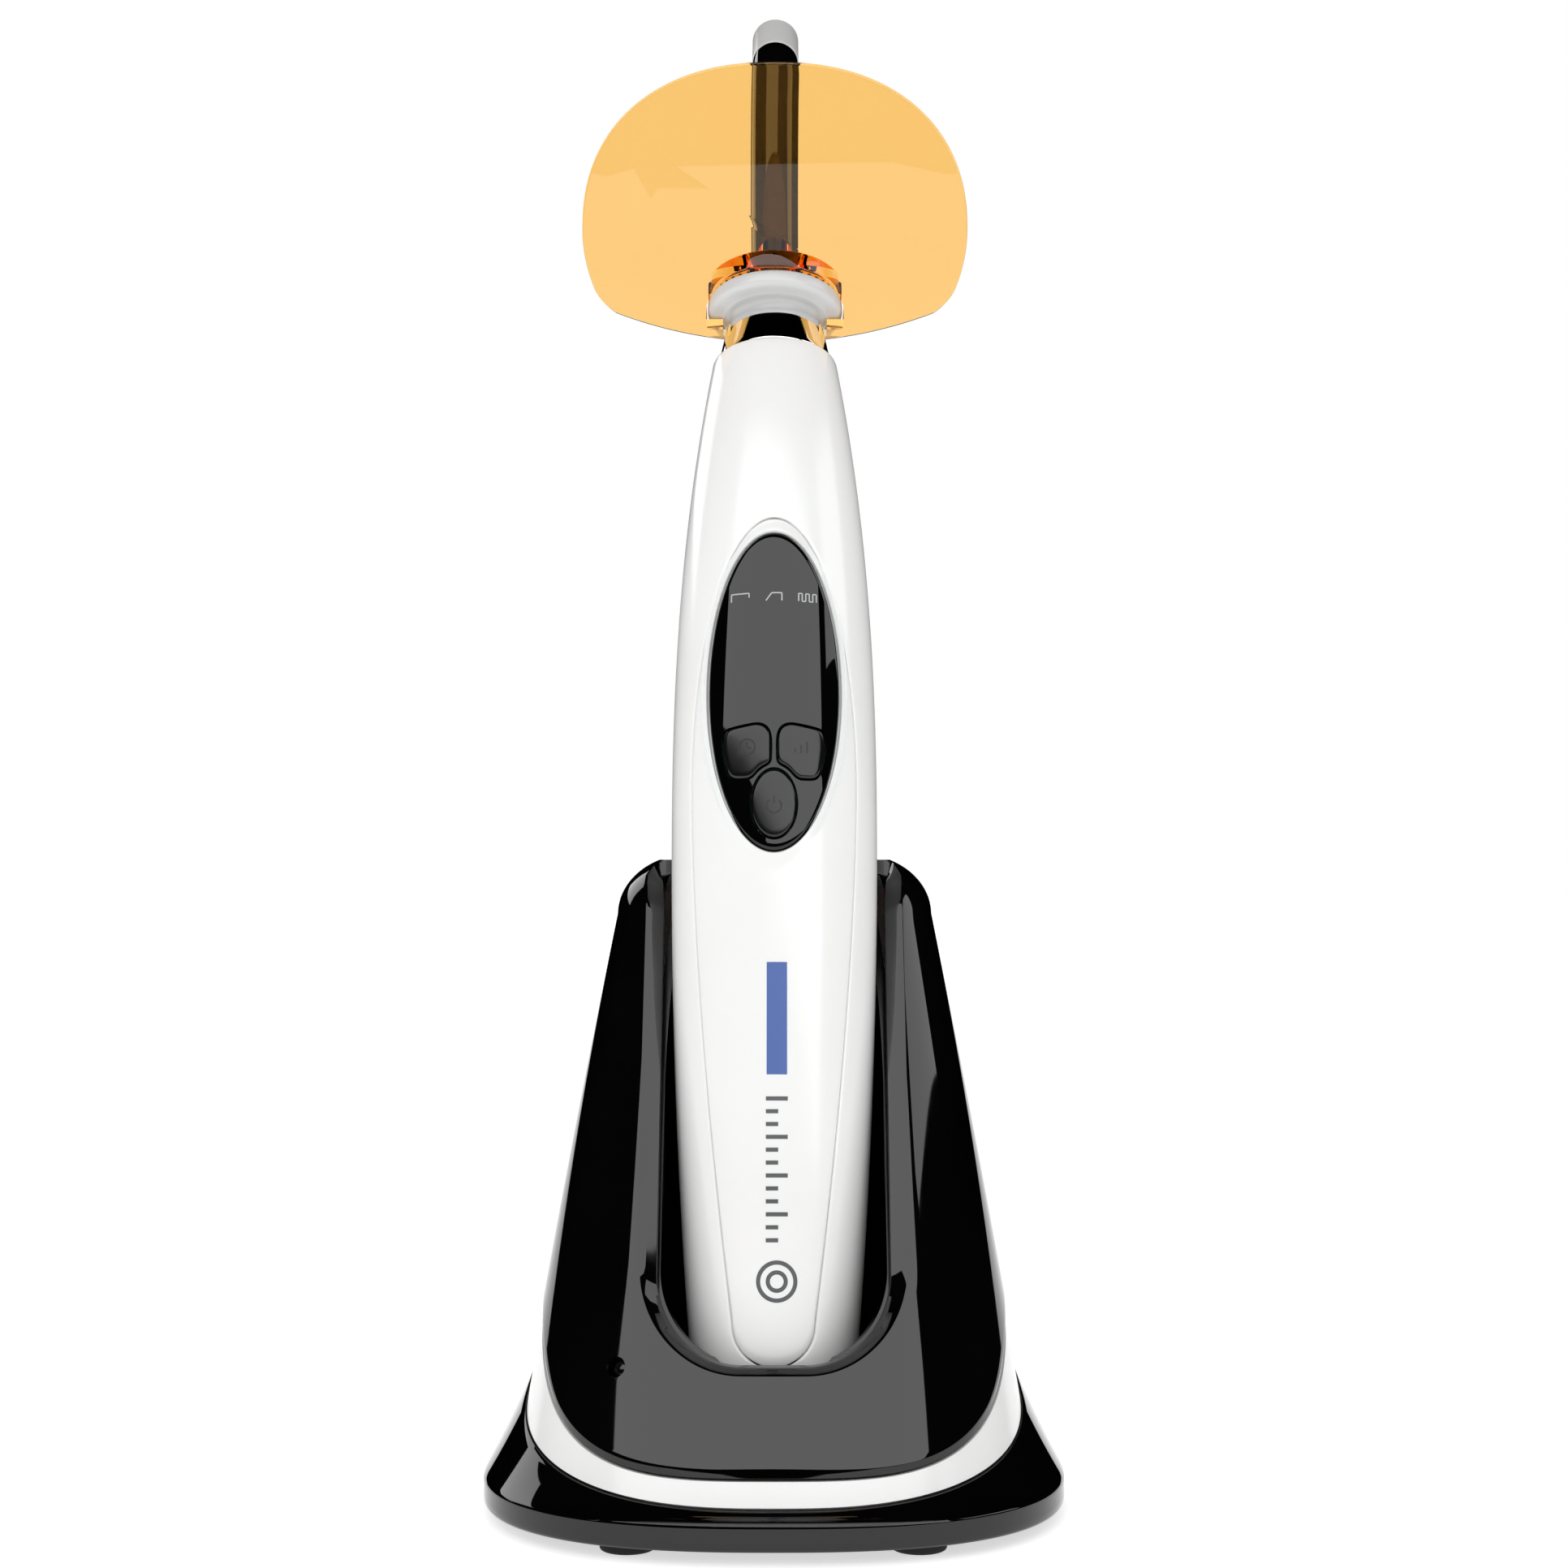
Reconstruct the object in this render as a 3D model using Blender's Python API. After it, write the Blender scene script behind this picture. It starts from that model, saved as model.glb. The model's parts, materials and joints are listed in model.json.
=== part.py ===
"""Dental curing light standing in its charging base.

Metres, +Z up, the front towards -Y. The handpiece leans back in an open cradle, its head bends
a little further back, and the light guide and the amber shield turn about the head's axis.
The whole model is moved at the end so that the origin is the bottom centre of its box.
"""

import math

import bmesh
import bpy
import numpy as np
from mathutils import Matrix, Vector

# Clearances and walls
GAP = 0.0003
SLIP = 0.0001
FASCIA_WALL = 0.0019
SHELL_WALL = 0.0022
LINER_WALL = 0.0014
BODY_WALL = 0.0017

# Foot of the base: a flared plinth with a level band round its edge
FOOT_HALF = 0.0437
FOOT_FRONT = 0.0320
FOOT_BACK = 0.0460
FOOT_POWER = 2.5
FOOT_UNDERSIDE = 0.0020
FOOT_BAND_TOP = 0.0056
FOOT_WALL = 0.0022
FOOT_STEP = 0.0004
PLATE_THICKNESS = 0.0016
PAD_RADIUS = 0.0040
PAD_FRONT_X = 0.0205
PAD_REAR_X = 0.0240
PAD_FRONT_Y = -0.0215
PAD_REAR_Y = 0.0330
BALLAST_THICKNESS = 0.0034
BALLAST_HALF = 0.0290
SCREW_HEAD = 0.0022
SCREW_SHAFT = 0.0012
SCREW_HEAD_HEIGHT = 0.0010
SCREW_SPREAD = 0.66
PAD_EDGE = 0.0006
PAD_DRAFT = 0.0005
FOOT_EDGE = 0.0006
BALLAST_REACH = 0.42
BALLAST_MIDDLE = 0.0020
BALLAST_POWER = 3.0
THROUGH = 0.0200

# Tower of the base, by height above the table
TOWER_HALF = 0.0400
TOWER_TAPER = 0.176
TOWER_BULGE = 0.0005
TOWER_POWER = 2.6
TOWER_SHOULDER = 0.0890
SHOULDER_RISE = 0.0090
SHOULDER_SIDE = 0.0110
SHOULDER_DEPTH = 0.0045
LIP_HEIGHT = 0.0250
LIP_FRONT = 0.0200
TOWER_LEAN = 0.385
TOWER_FOOT_CURVE = 4.3
TOWER_BACK = 0.0450
TOWER_BACK_TAPER = 0.09

# Sloping seam between the foot and the tower
SEAM_HEIGHT = 0.0147
SEAM_SLOPE = 0.275

# Black fascia on the tower's front
FASCIA_HALF = 0.0350
FASCIA_WIDEST = 0.0400
FASCIA_BOTTOM = 0.0107
FASCIA_POWER = 4.0
FASCIA_PROUD = 0.0005
FASCIA_SIDE = 0.0090
FASCIA_SIDE_LEAN = 0.145

# Handpiece: position of its tail, leans and outer shape
TAIL_Y = -0.0036
TAIL_Z = 0.0180
HANDPIECE_LEAN = math.radians(10.0)
HEAD_LEAN = math.radians(7.0)
BODY_LENGTH = 0.1635
BODY_WIDTH = 0.0320
BODY_DEPTH = 0.0330
BODY_POWER = 2.15
WIDEST_BELOW_RIM = 0.0755
WIDEST_AT = BODY_LENGTH - WIDEST_BELOW_RIM
TAIL_RADIUS = 0.0120
TAIL_ROUND = 0.0030
SOCKET_BORE = 0.0069
SOCKET_WALL = 0.0009
NECK_ROOM = 0.00055
NECK_RADIUS = SOCKET_BORE + SOCKET_WALL + BODY_WALL + NECK_ROOM
RIM_ROUND = 0.0009
NECK_POWER = 2.2
BEND_LENGTH = 0.0460

# Cradle, which takes its width and depth from the handpiece
CRADLE_SIDE_CLEARANCE = 0.0007
CRADLE_BACK_CLEARANCE = 0.0011
CRADLE_FRONT_CLEARANCE = 0.0018
TAIL_CLEARANCE = 0.0012
SLOT_HALF = BODY_WIDTH / 2 + CRADLE_SIDE_CLEARANCE
POCKET_BACK = BODY_DEPTH / 2 + CRADLE_BACK_CLEARANCE
POCKET_FRONT = TAIL_RADIUS * BODY_DEPTH / BODY_WIDTH + CRADLE_FRONT_CLEARANCE
SLOT_BOTTOM = 0.0248
SLOT_CORNER = 0.0120
SLOT_TOP = 0.1400
SLOT_CHAMFER = 0.0027
SLOT_LIP_CHAMFER = 0.0009
CHAMFER_DEPTH = 0.0030

# Front cover and display, measured from the body's top rim
COVER_TOP = 0.0320
COVER_WIDEST = 0.0735
COVER_HALF = 0.01245
COVER_TAIL_HALF = 0.0059
COVER_TAIL_END = 0.0040
DISPLAY_CENTRE = 0.0595
DISPLAY_LENGTH = 0.0500
DISPLAY_WIDTH = 0.0198

# Buttons, placed from the display's centre
BUTTON_TRAVEL = 0.0005
BUTTON_PROUD = 0.0003
BUTTON_WIDTH = 0.0071
BUTTON_HEIGHT = 0.0085
BUTTON_SPACING = 0.0082
BUTTON_DROP = 0.0098
POWER_WIDTH = 0.0067
POWER_HEIGHT = 0.0105
POWER_DROP = 0.0179
BUTTON_SEPARATION = 0.0010
STEM_RADIUS = 0.0012

# Parts inside the handpiece
BOARD_FRONT = 0.0095
BOARD_THICKNESS = 0.0014
BOARD_SIDE_ROOM = 0.0065
BOARD_WIDTH = BODY_WIDTH - 2 * BOARD_SIDE_ROOM
BOARD_BELOW_DISPLAY = 0.0140
BOARD_BELOW_SINK = 0.0055
BATTERY_EDGE = 0.0008
BATTERY_CAP_EDGE = 0.0002
BATTERY_FOOT_EDGE = 0.0004
BATTERY_BUTTON = 0.0030
BATTERY_BELOW_BOARD = 0.0030
CELL_CONTACT_HALF = 0.0060
CELL_CONTACT_THICKNESS = 0.0005
SPRING_WIDE = 0.0062
SPRING_TAPER = 0.0032
BOARD_SCREW_HEIGHT = 0.0010
BOARD_SCREW_IN = 0.0026
BOARD_SCREW_END = 0.0035
MODULE_SIDE_ROOM = 0.0030
MODULE_HALF = BOARD_WIDTH / 2 - MODULE_SIDE_ROOM
MODULE_DEPTH = 0.0032
MODULE_ABOVE_BUTTONS = 0.0020
CHASSIS_THICKNESS = 0.0014
BOARD_SCREW_HEAD = 0.0015
BOARD_SCREW_SHAFT = 0.0008
SWITCH_SIZE = 0.0050
SWITCH_HEIGHT = 0.0014
DISPLAY_MODULE_HEIGHT = 0.0120
BEEPER_RADIUS = 0.0036
BEEPER_HEIGHT = 0.0026
BATTERY_RADIUS = 0.0091
BATTERY_ABOVE_TAIL = 0.0135
PLUG_RADIUS = 0.0080
PLUG_THICKNESS = 0.0036
CONTACT_SPACING = 0.0080
CONTACT_RADIUS = 0.0020
CONTACT_THICKNESS = 0.0020
SPRING_WIRE = 0.0005
SPRING_TURNS = 3.5

# Charging contacts in the cradle's floor
PIN_RADIUS = 0.0010
PIN_TRAVEL = 0.0012
BLOCK_DEPTH = 0.0056
BLOCK_HALF_WIDTH = 0.0070
BLOCK_HALF_DEPTH = 0.0036

# Head, measured along the head's axis from the rim
RING_HEIGHT = 0.0065
RING_TOP_WALL = 0.0011
RING_FOOT = 0.0012
RING_DRAFT = 0.0001
RING_LIP = 0.0003
RING_LIP_IN = 0.0004
RING_TOP_RADIUS = SOCKET_BORE + RING_TOP_WALL
SOCKET_DEPTH = 0.0146
LENS_RADIUS = 0.0056
LENS_THICKNESS = 0.0024
LED_BOARD_RADIUS = 0.0078
LED_BOARD_THICKNESS = 0.0014
LED_SIZE = 0.0040
LED_HEIGHT = 0.0009
SINK_RADIUS = 0.0084
SINK_LENGTH = 0.0180
SINK_FIN_DEPTH = 0.0022
SINK_GROOVES = 4

# Light guide
ROD_RADIUS = 0.0039
ROD_WALL = 0.0008
ROD_BORE = ROD_RADIUS - ROD_WALL
CORE_RADIUS = ROD_BORE - GAP
TIP_STEP = 0.0001
TIP_RADIUS = ROD_RADIUS + TIP_STEP
ROD_STRAIGHT = 0.0545
ROD_BEND_RADIUS = 0.0120
ROD_BEND = math.radians(29.0)
TIP_LENGTH = 0.0090
PLUG_CLEARANCE = 0.0006
NECK_CLEARANCE = 0.0002
FERRULE_NECK = SOCKET_BORE - NECK_CLEARANCE
FLANGE_RADIUS = 0.0111
FLANGE_BOTTOM = 0.0089
FLANGE_TOP = 0.0120
RING_GROOVE = 0.0014
SEAL_DEPTH = 0.0080
PLUG_ABOVE_SOCKET = 0.0012
ROD_ABOVE_PLUG = 0.0010
FLANGE_ROUND = 0.0012
NECK_FILLET = 0.0008
NECK_FILLET_OUT = 0.0012
CORE_RECESS = 0.0002
SEAL_SQUEEZE = 0.96

# Amber shield
SHIELD_THICKNESS = 0.0030
SHIELD_TILT = math.radians(27.0)
SHIELD_CROSSING = 0.0105
SHIELD_HALF = 0.0317
SHIELD_WIDEST = 0.0130
SHIELD_RISE = 0.0270
SHIELD_POWER = 2.25
SHIELD_FLANK_END = 0.25
SHIELD_CORNER = 0.83
SHIELD_CORNER_DRAW = 0.0012
SHIELD_DROP = 0.0050
SHIELD_BOTTOM_RADIUS = 0.0750
SHIELD_FLANK = 21.5
HUB_STEP = 0.00005
HUB_RADIUS = FLANGE_RADIUS - HUB_STEP
HUB_HEIGHT = 0.0032

# Power inlet at the back, indicator on the fascia
INLET_WIDTH = 0.0094
INLET_HEIGHT = 0.0090
INLET_LENGTH = 0.0125
INLET_SOCKET_SHARE = 0.72
LENS_RECESS = 0.0012
LENS_BACK = 0.0060
CHARGER_BOARD_BACK = 0.0040
PIN_HEEL = 0.0012
PIN_NOSE = 0.0006
PIN_SEAT = 0.0008
INLET_BORE = 0.0031
INLET_PIN = 0.0009
INLET_CENTRE = 0.0156
INLET_RECESS = 0.0012
INDICATOR_X = -0.0223
INDICATOR_HEIGHT = 0.0244
INDICATOR_RADIUS = 0.0012
CHARGER_BOARD_HALF = 0.0140
CHARGER_BOARD_LENGTH = 0.0200

# Resolution of the faceted surfaces
FINE = 32
ROUND = 20
SMALL = 12
REACH = 0.1


def clear_scene():
    for item in list(bpy.data.objects):
        bpy.data.objects.remove(item, do_unlink=True)


def linear(channel):
    return channel / 12.92 if channel <= 0.04045 else ((channel + 0.055) / 1.055) ** 2.4


def material(name, hex_colour, roughness, metallic=0.0, alpha=1.0, transmission=0.0):
    """A Principled material from an sRGB colour written as rrggbb."""
    made = bpy.data.materials.new(name)
    made.use_nodes = True
    shader = made.node_tree.nodes["Principled BSDF"]
    colour = [linear(int(hex_colour[i : i + 2], 16) / 255) for i in (0, 2, 4)]
    shader.inputs["Base Color"].default_value = (*colour, 1.0)
    shader.inputs["Roughness"].default_value = roughness
    shader.inputs["Metallic"].default_value = metallic
    shader.inputs["Alpha"].default_value = alpha
    shader.inputs["Transmission Weight"].default_value = transmission
    made.diffuse_color = (*colour, alpha)
    return made


def frame(name, parent=None, location=(0.0, 0.0, 0.0), lean=0.0):
    """An empty whose +Z leans back by the angle, towards +Y."""
    empty = bpy.data.objects.new(name, None)
    bpy.context.scene.collection.objects.link(empty)
    empty.parent = parent
    empty.location = location
    empty.rotation_euler = (-lean, 0.0, 0.0)
    return empty


def piece(name, shape, finish, parent):
    """Turns a bmesh into a named object under a frame."""
    bmesh.ops.recalc_face_normals(shape, faces=shape.faces)
    mesh = bpy.data.meshes.new(name)
    shape.to_mesh(mesh)
    shape.free()
    mesh.shade_smooth()
    mesh.set_sharp_from_angle(angle=math.radians(35))
    if finish is not None:
        mesh.materials.append(finish)
    made = bpy.data.objects.new(name, mesh)
    bpy.context.scene.collection.objects.link(made)
    made.parent = parent
    return made


def helper(name, shape, parent):
    """A cutter: it shapes other pieces and isn't one itself."""
    made = piece(name, shape, None, parent)
    made.hide_render = True
    made.display_type = "WIRE"
    return made


def boolean(target, operation, *others):
    for other in others:
        modifier = target.modifiers.new(f"{operation.title()} {other.name}", "BOOLEAN")
        modifier.operation = operation
        modifier.solver = "EXACT"
        modifier.object = other
    return target


def cut(target, *cutters):
    return boolean(target, "DIFFERENCE", *cutters)


def keep(target, *regions):
    return boolean(target, "INTERSECT", *regions)


def loft(rings):
    """A closed skin through rings of equal count, with a flat cap on each end."""
    shape = bmesh.new()
    loops = [[shape.verts.new(point) for point in ring] for ring in rings]
    for lower, upper in zip(loops, loops[1:]):
        for i, corner in enumerate(lower):
            j = (i + 1) % len(lower)
            shape.faces.new((corner, lower[j], upper[j], upper[i]))
    shape.faces.new(loops[0])
    shape.faces.new(loops[-1])
    return shape


def prism(outline, low, high):
    """An outline of (x, z) points extruded along Y. Either end may be a number or a rule of z."""

    def end(rule, z):
        return rule(z) if callable(rule) else rule

    return loft([[(x, end(rule, z), z) for x, z in outline] for rule in (low, high)])


def plate(outline, low, high):
    """An outline of (x, y) points extruded along Z."""
    return loft([[(x, y, z) for x, y in outline] for z in (low, high)])


def box(x, y, z):
    """A box from three (low, high) pairs."""
    return plate([(x[0], y[0]), (x[1], y[0]), (x[1], y[1]), (x[0], y[1])], *z)


def turned(profile, count=ROUND):
    """Turns a profile of (radius, z) points about Z. It ends on the axis or closes on itself."""
    shape = bmesh.new()
    solid = profile[0][0] == 0 and profile[-1][0] == 0
    rows = profile if solid else [*profile, profile[0]]
    rings = []
    for radius, z in rows:
        if radius == 0:
            rings.append([shape.verts.new((0.0, 0.0, z))] * count)
            continue
        angles = [2 * math.pi * k / count for k in range(count)]
        rings.append([shape.verts.new((radius * math.cos(a), radius * math.sin(a), z)) for a in angles])
    for lower, upper in zip(rings, rings[1:]):
        for i in range(count):
            j = (i + 1) % count
            corners = dict.fromkeys((lower[i], lower[j], upper[j], upper[i]))
            shape.faces.new(list(corners))
    bmesh.ops.remove_doubles(shape, verts=shape.verts, dist=1e-7)
    return shape


def rod(radius, low, high, count=SMALL):
    return turned([(0, low), (radius, low), (radius, high), (0, high)], count)


def tube(inner, outer, low, high, count=ROUND):
    return turned([(inner, low), (outer, low), (outer, high), (inner, high)], count)


def moved(shape, matrix):
    bmesh.ops.transform(shape, matrix=matrix, verts=shape.verts)
    return shape


def facing_front(shape, x=0.0, z=0.0):
    """Turns a shape made along Z so that its +Z points to the front, then moves it."""
    return moved(shape, Matrix.Translation((x, 0.0, z)) @ Matrix.Rotation(math.pi / 2, 4, "X"))


def joined(*shapes):
    """One bmesh holding several separate solids."""
    whole = bmesh.new()
    for shape in shapes:
        mesh = bpy.data.meshes.new("joined")
        shape.to_mesh(mesh)
        shape.free()
        whole.from_mesh(mesh)
        bpy.data.meshes.remove(mesh)
    return whole


def bulged(value, power):
    """One coordinate of a superellipse, from the cosine or the sine of its angle."""
    return math.copysign(abs(value) ** (2 / power), value)


def oval(half_x, half_y, centre_y=0.0, power=2.0, count=FINE, start=0.0):
    """A superellipse's points, the first of them a share of a step past +X."""
    angles = [2 * math.pi * (k + start) / count for k in range(count)]
    return [
        (half_x * bulged(math.cos(a), power), centre_y + half_y * bulged(math.sin(a), power))
        for a in angles
    ]


def arc(centre, radius, first, last, steps):
    """Points on a circle, or an ellipse when the radius is a pair, in degrees."""
    across, up = radius if isinstance(radius, tuple) else (radius, radius)
    turns = [math.radians(first + (last - first) * k / steps) for k in range(steps + 1)]
    return [(centre[0] + across * math.cos(a), centre[1] + up * math.sin(a)) for a in turns]


def quadratic(start, control, end, steps):
    found = []
    for k in range(steps + 1):
        t = k / steps
        found.append(
            tuple(
                (1 - t) ** 2 * a + 2 * t * (1 - t) * b + t * t * c
                for a, b, c in zip(start, control, end)
            )
        )
    return found


def mirrored(half):
    """A right half, listed from top to bottom, with its mirror image added."""
    return half + [(-x, z) for x, z in reversed(half) if abs(x) > 1e-6]


# --- Base ---------------------------------------------------------------------------------


def tower_section(height, grow):
    """Half-width, front and back of the tower at a height, moved out by grow."""
    top = TOWER_SHOULDER + SHOULDER_RISE
    level = min(height, TOWER_SHOULDER)
    half = TOWER_HALF - TOWER_TAPER * level + TOWER_BULGE * math.sin(math.pi * level / top)
    below = max(0.0, LIP_HEIGHT - height)
    front = -LIP_FRONT + (height - LIP_HEIGHT) * TOWER_LEAN - TOWER_FOOT_CURVE * below**2
    back = TOWER_BACK - TOWER_BACK_TAPER * height
    over = max(0.0, height - TOWER_SHOULDER) / (SHOULDER_RISE + grow)
    inset = 1 - math.sqrt(max(0.0, 1 - over**2))
    depth_inset = inset * (SHOULDER_DEPTH + grow)
    half_now = half + grow - inset * (SHOULDER_SIDE + grow)
    return half_now, front - grow + depth_inset, back + grow - depth_inset


def tower_point(angle, height, grow=0.0):
    half, front, back = tower_section(height, grow)
    x = half * bulged(math.cos(angle), TOWER_POWER)
    y = (front + back) / 2 + (back - front) / 2 * bulged(math.sin(angle), TOWER_POWER)
    return Vector((x, y, height))


def tower(grow, bottom=-0.006):
    """The tower's solid, moved out by grow, from below the seam to its top."""
    steps = 7
    levels = [bottom + (TOWER_SHOULDER - bottom) * k / steps for k in range(steps + 1)]
    rise = SHOULDER_RISE + grow
    levels += [TOWER_SHOULDER + rise * math.sin(math.radians(a)) for a in (20, 42, 64, 80, 88)]
    angles = [2 * math.pi * (k + 0.5) / FINE for k in range(FINE)]
    return loft([[tower_point(angle, z, grow) for angle in angles] for z in levels])


def seam_height(y):
    return SEAM_HEIGHT + SEAM_SLOPE * y


def seam_ring(grow, lift=0.0):
    """The tower's outline where the sloping seam meets it."""
    ring = []
    for k in range(FINE):
        angle = 2 * math.pi * k / FINE
        height = SEAM_HEIGHT
        for _ in range(12):
            point = tower_point(angle, height, grow)
            height = seam_height(point.y)
        ring.append((point.x, point.y, height + lift))
    return ring


def foot_ring(grow, z):
    middle, reach = (FOOT_BACK - FOOT_FRONT) / 2, (FOOT_BACK + FOOT_FRONT) / 2
    outline = oval(FOOT_HALF + grow, reach + grow, middle, FOOT_POWER)
    return [(x, y, z) for x, y in outline]


def between(lower, upper, share):
    return [tuple(a + (b - a) * share for a, b in zip(p, q)) for p, q in zip(lower, upper)]


def foot_skin(grow, bottom, top_lift):
    """The flared foot from its underside to the seam."""
    band = foot_ring(grow, FOOT_BAND_TOP)
    seam = seam_ring(FOOT_STEP + grow, top_lift)
    edge = min(0.0, grow) - FOOT_EDGE if grow == 0 else grow
    return loft(
        [
            foot_ring(edge, bottom),
            foot_ring(grow, bottom + FOOT_EDGE),
            band,
            between(band, seam, 0.5),
            seam,
        ]
    )


def slot_half(half, bottom, corner, top):
    """Right half of the cradle's U in front view, from its top to its centre."""
    side = [(half, top)]
    turn = arc((half - corner, bottom + corner), corner, 0, -90, 8)
    return side + turn + [(0.0, bottom)]


def slot_outline(grow):
    corner = SLOT_CORNER + grow
    return mirrored(slot_half(SLOT_HALF + grow, SLOT_BOTTOM - grow, corner, SLOT_TOP - grow))


def slot_space(grow):
    """The open front of the cradle, from well before the base to the handpiece's axis."""
    return prism(slot_outline(grow), grow - REACH, axis_depth)


def fascia_outline(grow):
    """Front view of the fascia: it wraps the tower's sides, and its lower end is a broad oval."""
    half, rise = FASCIA_HALF + grow, FASCIA_WIDEST - FASCIA_BOTTOM + grow
    curve = []
    for k in range(17):
        angle = math.radians(90 * k / 16)
        x = half * bulged(math.cos(angle), FASCIA_POWER)
        curve.append((x, FASCIA_WIDEST - rise * bulged(math.sin(angle), FASCIA_POWER)))
    curve[-1] = (0.0, curve[-1][1])
    return mirrored([(REACH, 0.2), (REACH, FASCIA_WIDEST)] + curve)


def fascia_region(grow):
    return prism(
        fascia_outline(grow),
        -REACH / 2,
        lambda z: FASCIA_SIDE + grow + FASCIA_SIDE_LEAN * z,
    )


def pocket_outline(grow):
    """The cradle's section square to the handpiece: a deep half oval behind, a flatter one in front."""
    half = SLOT_HALF + grow
    return [
        (x, y * ((POCKET_BACK if y > 0 else POCKET_FRONT) + grow))
        for x, y in oval(half, 1.0, start=0.5)
    ]


def pocket_space(name, grow, floor, handpiece):
    """The hollow that takes the handpiece, with its open front joined on."""
    pocket = helper(name, plate(pocket_outline(grow), floor, BODY_LENGTH), handpiece)
    mouth = helper(f"{name}_mouth", slot_space(grow), handpiece.parent)
    return boolean(pocket, "UNION", mouth)


def axis_depth(z):
    """Depth of the handpiece's axis at a height above the table."""
    return TAIL_Y + (z - TAIL_Z) * math.tan(HANDPIECE_LEAN)


def below_seam(name, lift, parent):
    """Everything under the sloping seam."""
    corners = [(-REACH, -REACH), (REACH, -REACH), (REACH, REACH), (-REACH, REACH)]
    lower = [(x, y, -REACH) for x, y in corners]
    upper = [(x, y, seam_height(y) + lift) for x, y in corners]
    return helper(name, loft([lower, upper]), parent)


def chamfer_shape():
    """The slot's chamfered mouth, from the inner U out to the wider U on the fascia's face."""
    inner = slot_outline(0.0)
    wide = mirrored(
        slot_half(
            SLOT_HALF + SLOT_CHAMFER,
            SLOT_BOTTOM - SLOT_LIP_CHAMFER,
            SLOT_CORNER + SLOT_CHAMFER,
            SLOT_TOP,
        )
    )

    def face_depth(x, z):
        """Depth of the fascia's face beside the slot, at a place in front view."""
        half, front, back = tower_section(min(z, TOWER_SHOULDER), FASCIA_PROUD)
        share = min(abs(x) / half, 0.999)
        bow = (1 - share**TOWER_POWER) ** (1 / TOWER_POWER)
        lean = max(0.0, z - TOWER_SHOULDER) * TOWER_LEAN
        return (front + back) / 2 - (back - front) / 2 * bow + lean

    rings = [
        [(x, face_depth(x, z) + CHAMFER_DEPTH, z) for x, z in inner],
        [(x, face_depth(x, z) - SLIP, z) for x, z in wide],
        [(x, face_depth(x, z) - THROUGH, z) for x, z in wide],
    ]
    return loft(rings)


def indicator_frame():
    """A matrix at the indicator, with +Z pointing out of the fascia."""
    half, front, back = tower_section(INDICATOR_HEIGHT, 0.0)
    share = abs(INDICATOR_X) / half
    angle = -math.acos(share ** (TOWER_POWER / 2))
    angle = -math.pi - angle if INDICATOR_X < 0 else angle
    point = tower_point(angle, INDICATOR_HEIGHT, FASCIA_PROUD)
    step = 1e-3
    along = tower_point(angle + step, INDICATOR_HEIGHT) - tower_point(angle - step, INDICATOR_HEIGHT)
    up = tower_point(angle, INDICATOR_HEIGHT + step) - tower_point(angle, INDICATOR_HEIGHT - step)
    normal = along.cross(up).normalized()
    if normal.y > 0:
        normal = -normal
    return Matrix.Translation(point) @ normal.to_track_quat("Z", "Y").to_matrix().to_4x4()


def build_base(root, handpiece, finish):
    """The charging base: foot, tower, fascia, cradle and what they hold."""
    seam_below = below_seam("below_seam", GAP, root)
    fascia_space = cut(
        helper("fascia_space", fascia_region(GAP), root),
        helper("fascia_space_core", tower(-FASCIA_WALL - GAP), root),
    )
    liner_floor = -TAIL_CLEARANCE - LINER_WALL
    liner_space = pocket_space("liner_space", LINER_WALL + GAP, liner_floor - GAP, handpiece)
    pocket = pocket_space("pocket", 0.0, -TAIL_CLEARANCE, handpiece)
    indicator = indicator_frame()

    shell = piece("base_shell", tower(0.0), finish["white"], root)
    cut(shell, helper("shell_core", tower(-SHELL_WALL - FASCIA_WALL, -THROUGH), root))
    cut(shell, seam_below, fascia_space, liner_space)
    indicator_hole = moved(rod(INDICATOR_RADIUS + GAP, -2 * LENS_BACK, LENS_BACK), indicator)
    indicator_hole = helper("indicator_hole", indicator_hole, root)
    cut(shell, indicator_hole)

    fascia = piece("front_fascia", fascia_region(0.0), finish["black_gloss"], root)
    keep(fascia, helper("fascia_outside", tower(FASCIA_PROUD), root))
    cut(fascia, helper("fascia_inside", tower(-FASCIA_WALL), root))
    slot = helper("slot", prism(slot_outline(0.0), -REACH, REACH), root)
    cut(fascia, slot, helper("slot_chamfer", chamfer_shape(), root), indicator_hole)

    lens = moved(rod(INDICATOR_RADIUS, -LENS_BACK, -LENS_RECESS), indicator)
    piece("indicator_lens", lens, finish["lens"], root)

    liner = plate(pocket_outline(LINER_WALL), liner_floor, BODY_LENGTH)
    liner = piece("cradle_liner", liner, finish["dark"], handpiece)
    boolean(liner, "UNION", helper("liner_mouth", slot_space(LINER_WALL), root))
    cut(liner, pocket, fascia_space)
    keep(liner, helper("liner_reach", tower(-SLIP), root))

    foot = piece("base_foot", foot_skin(0.0, FOOT_UNDERSIDE, 0.0), finish["black_gloss"], root)
    cut(foot, helper("foot_core", foot_skin(-FOOT_WALL, -0.004, 0.004), root))
    build_floor(root, finish)
    build_inlet(root, foot, finish)
    build_charging_pins(handpiece, liner, liner_floor, finish)


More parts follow.
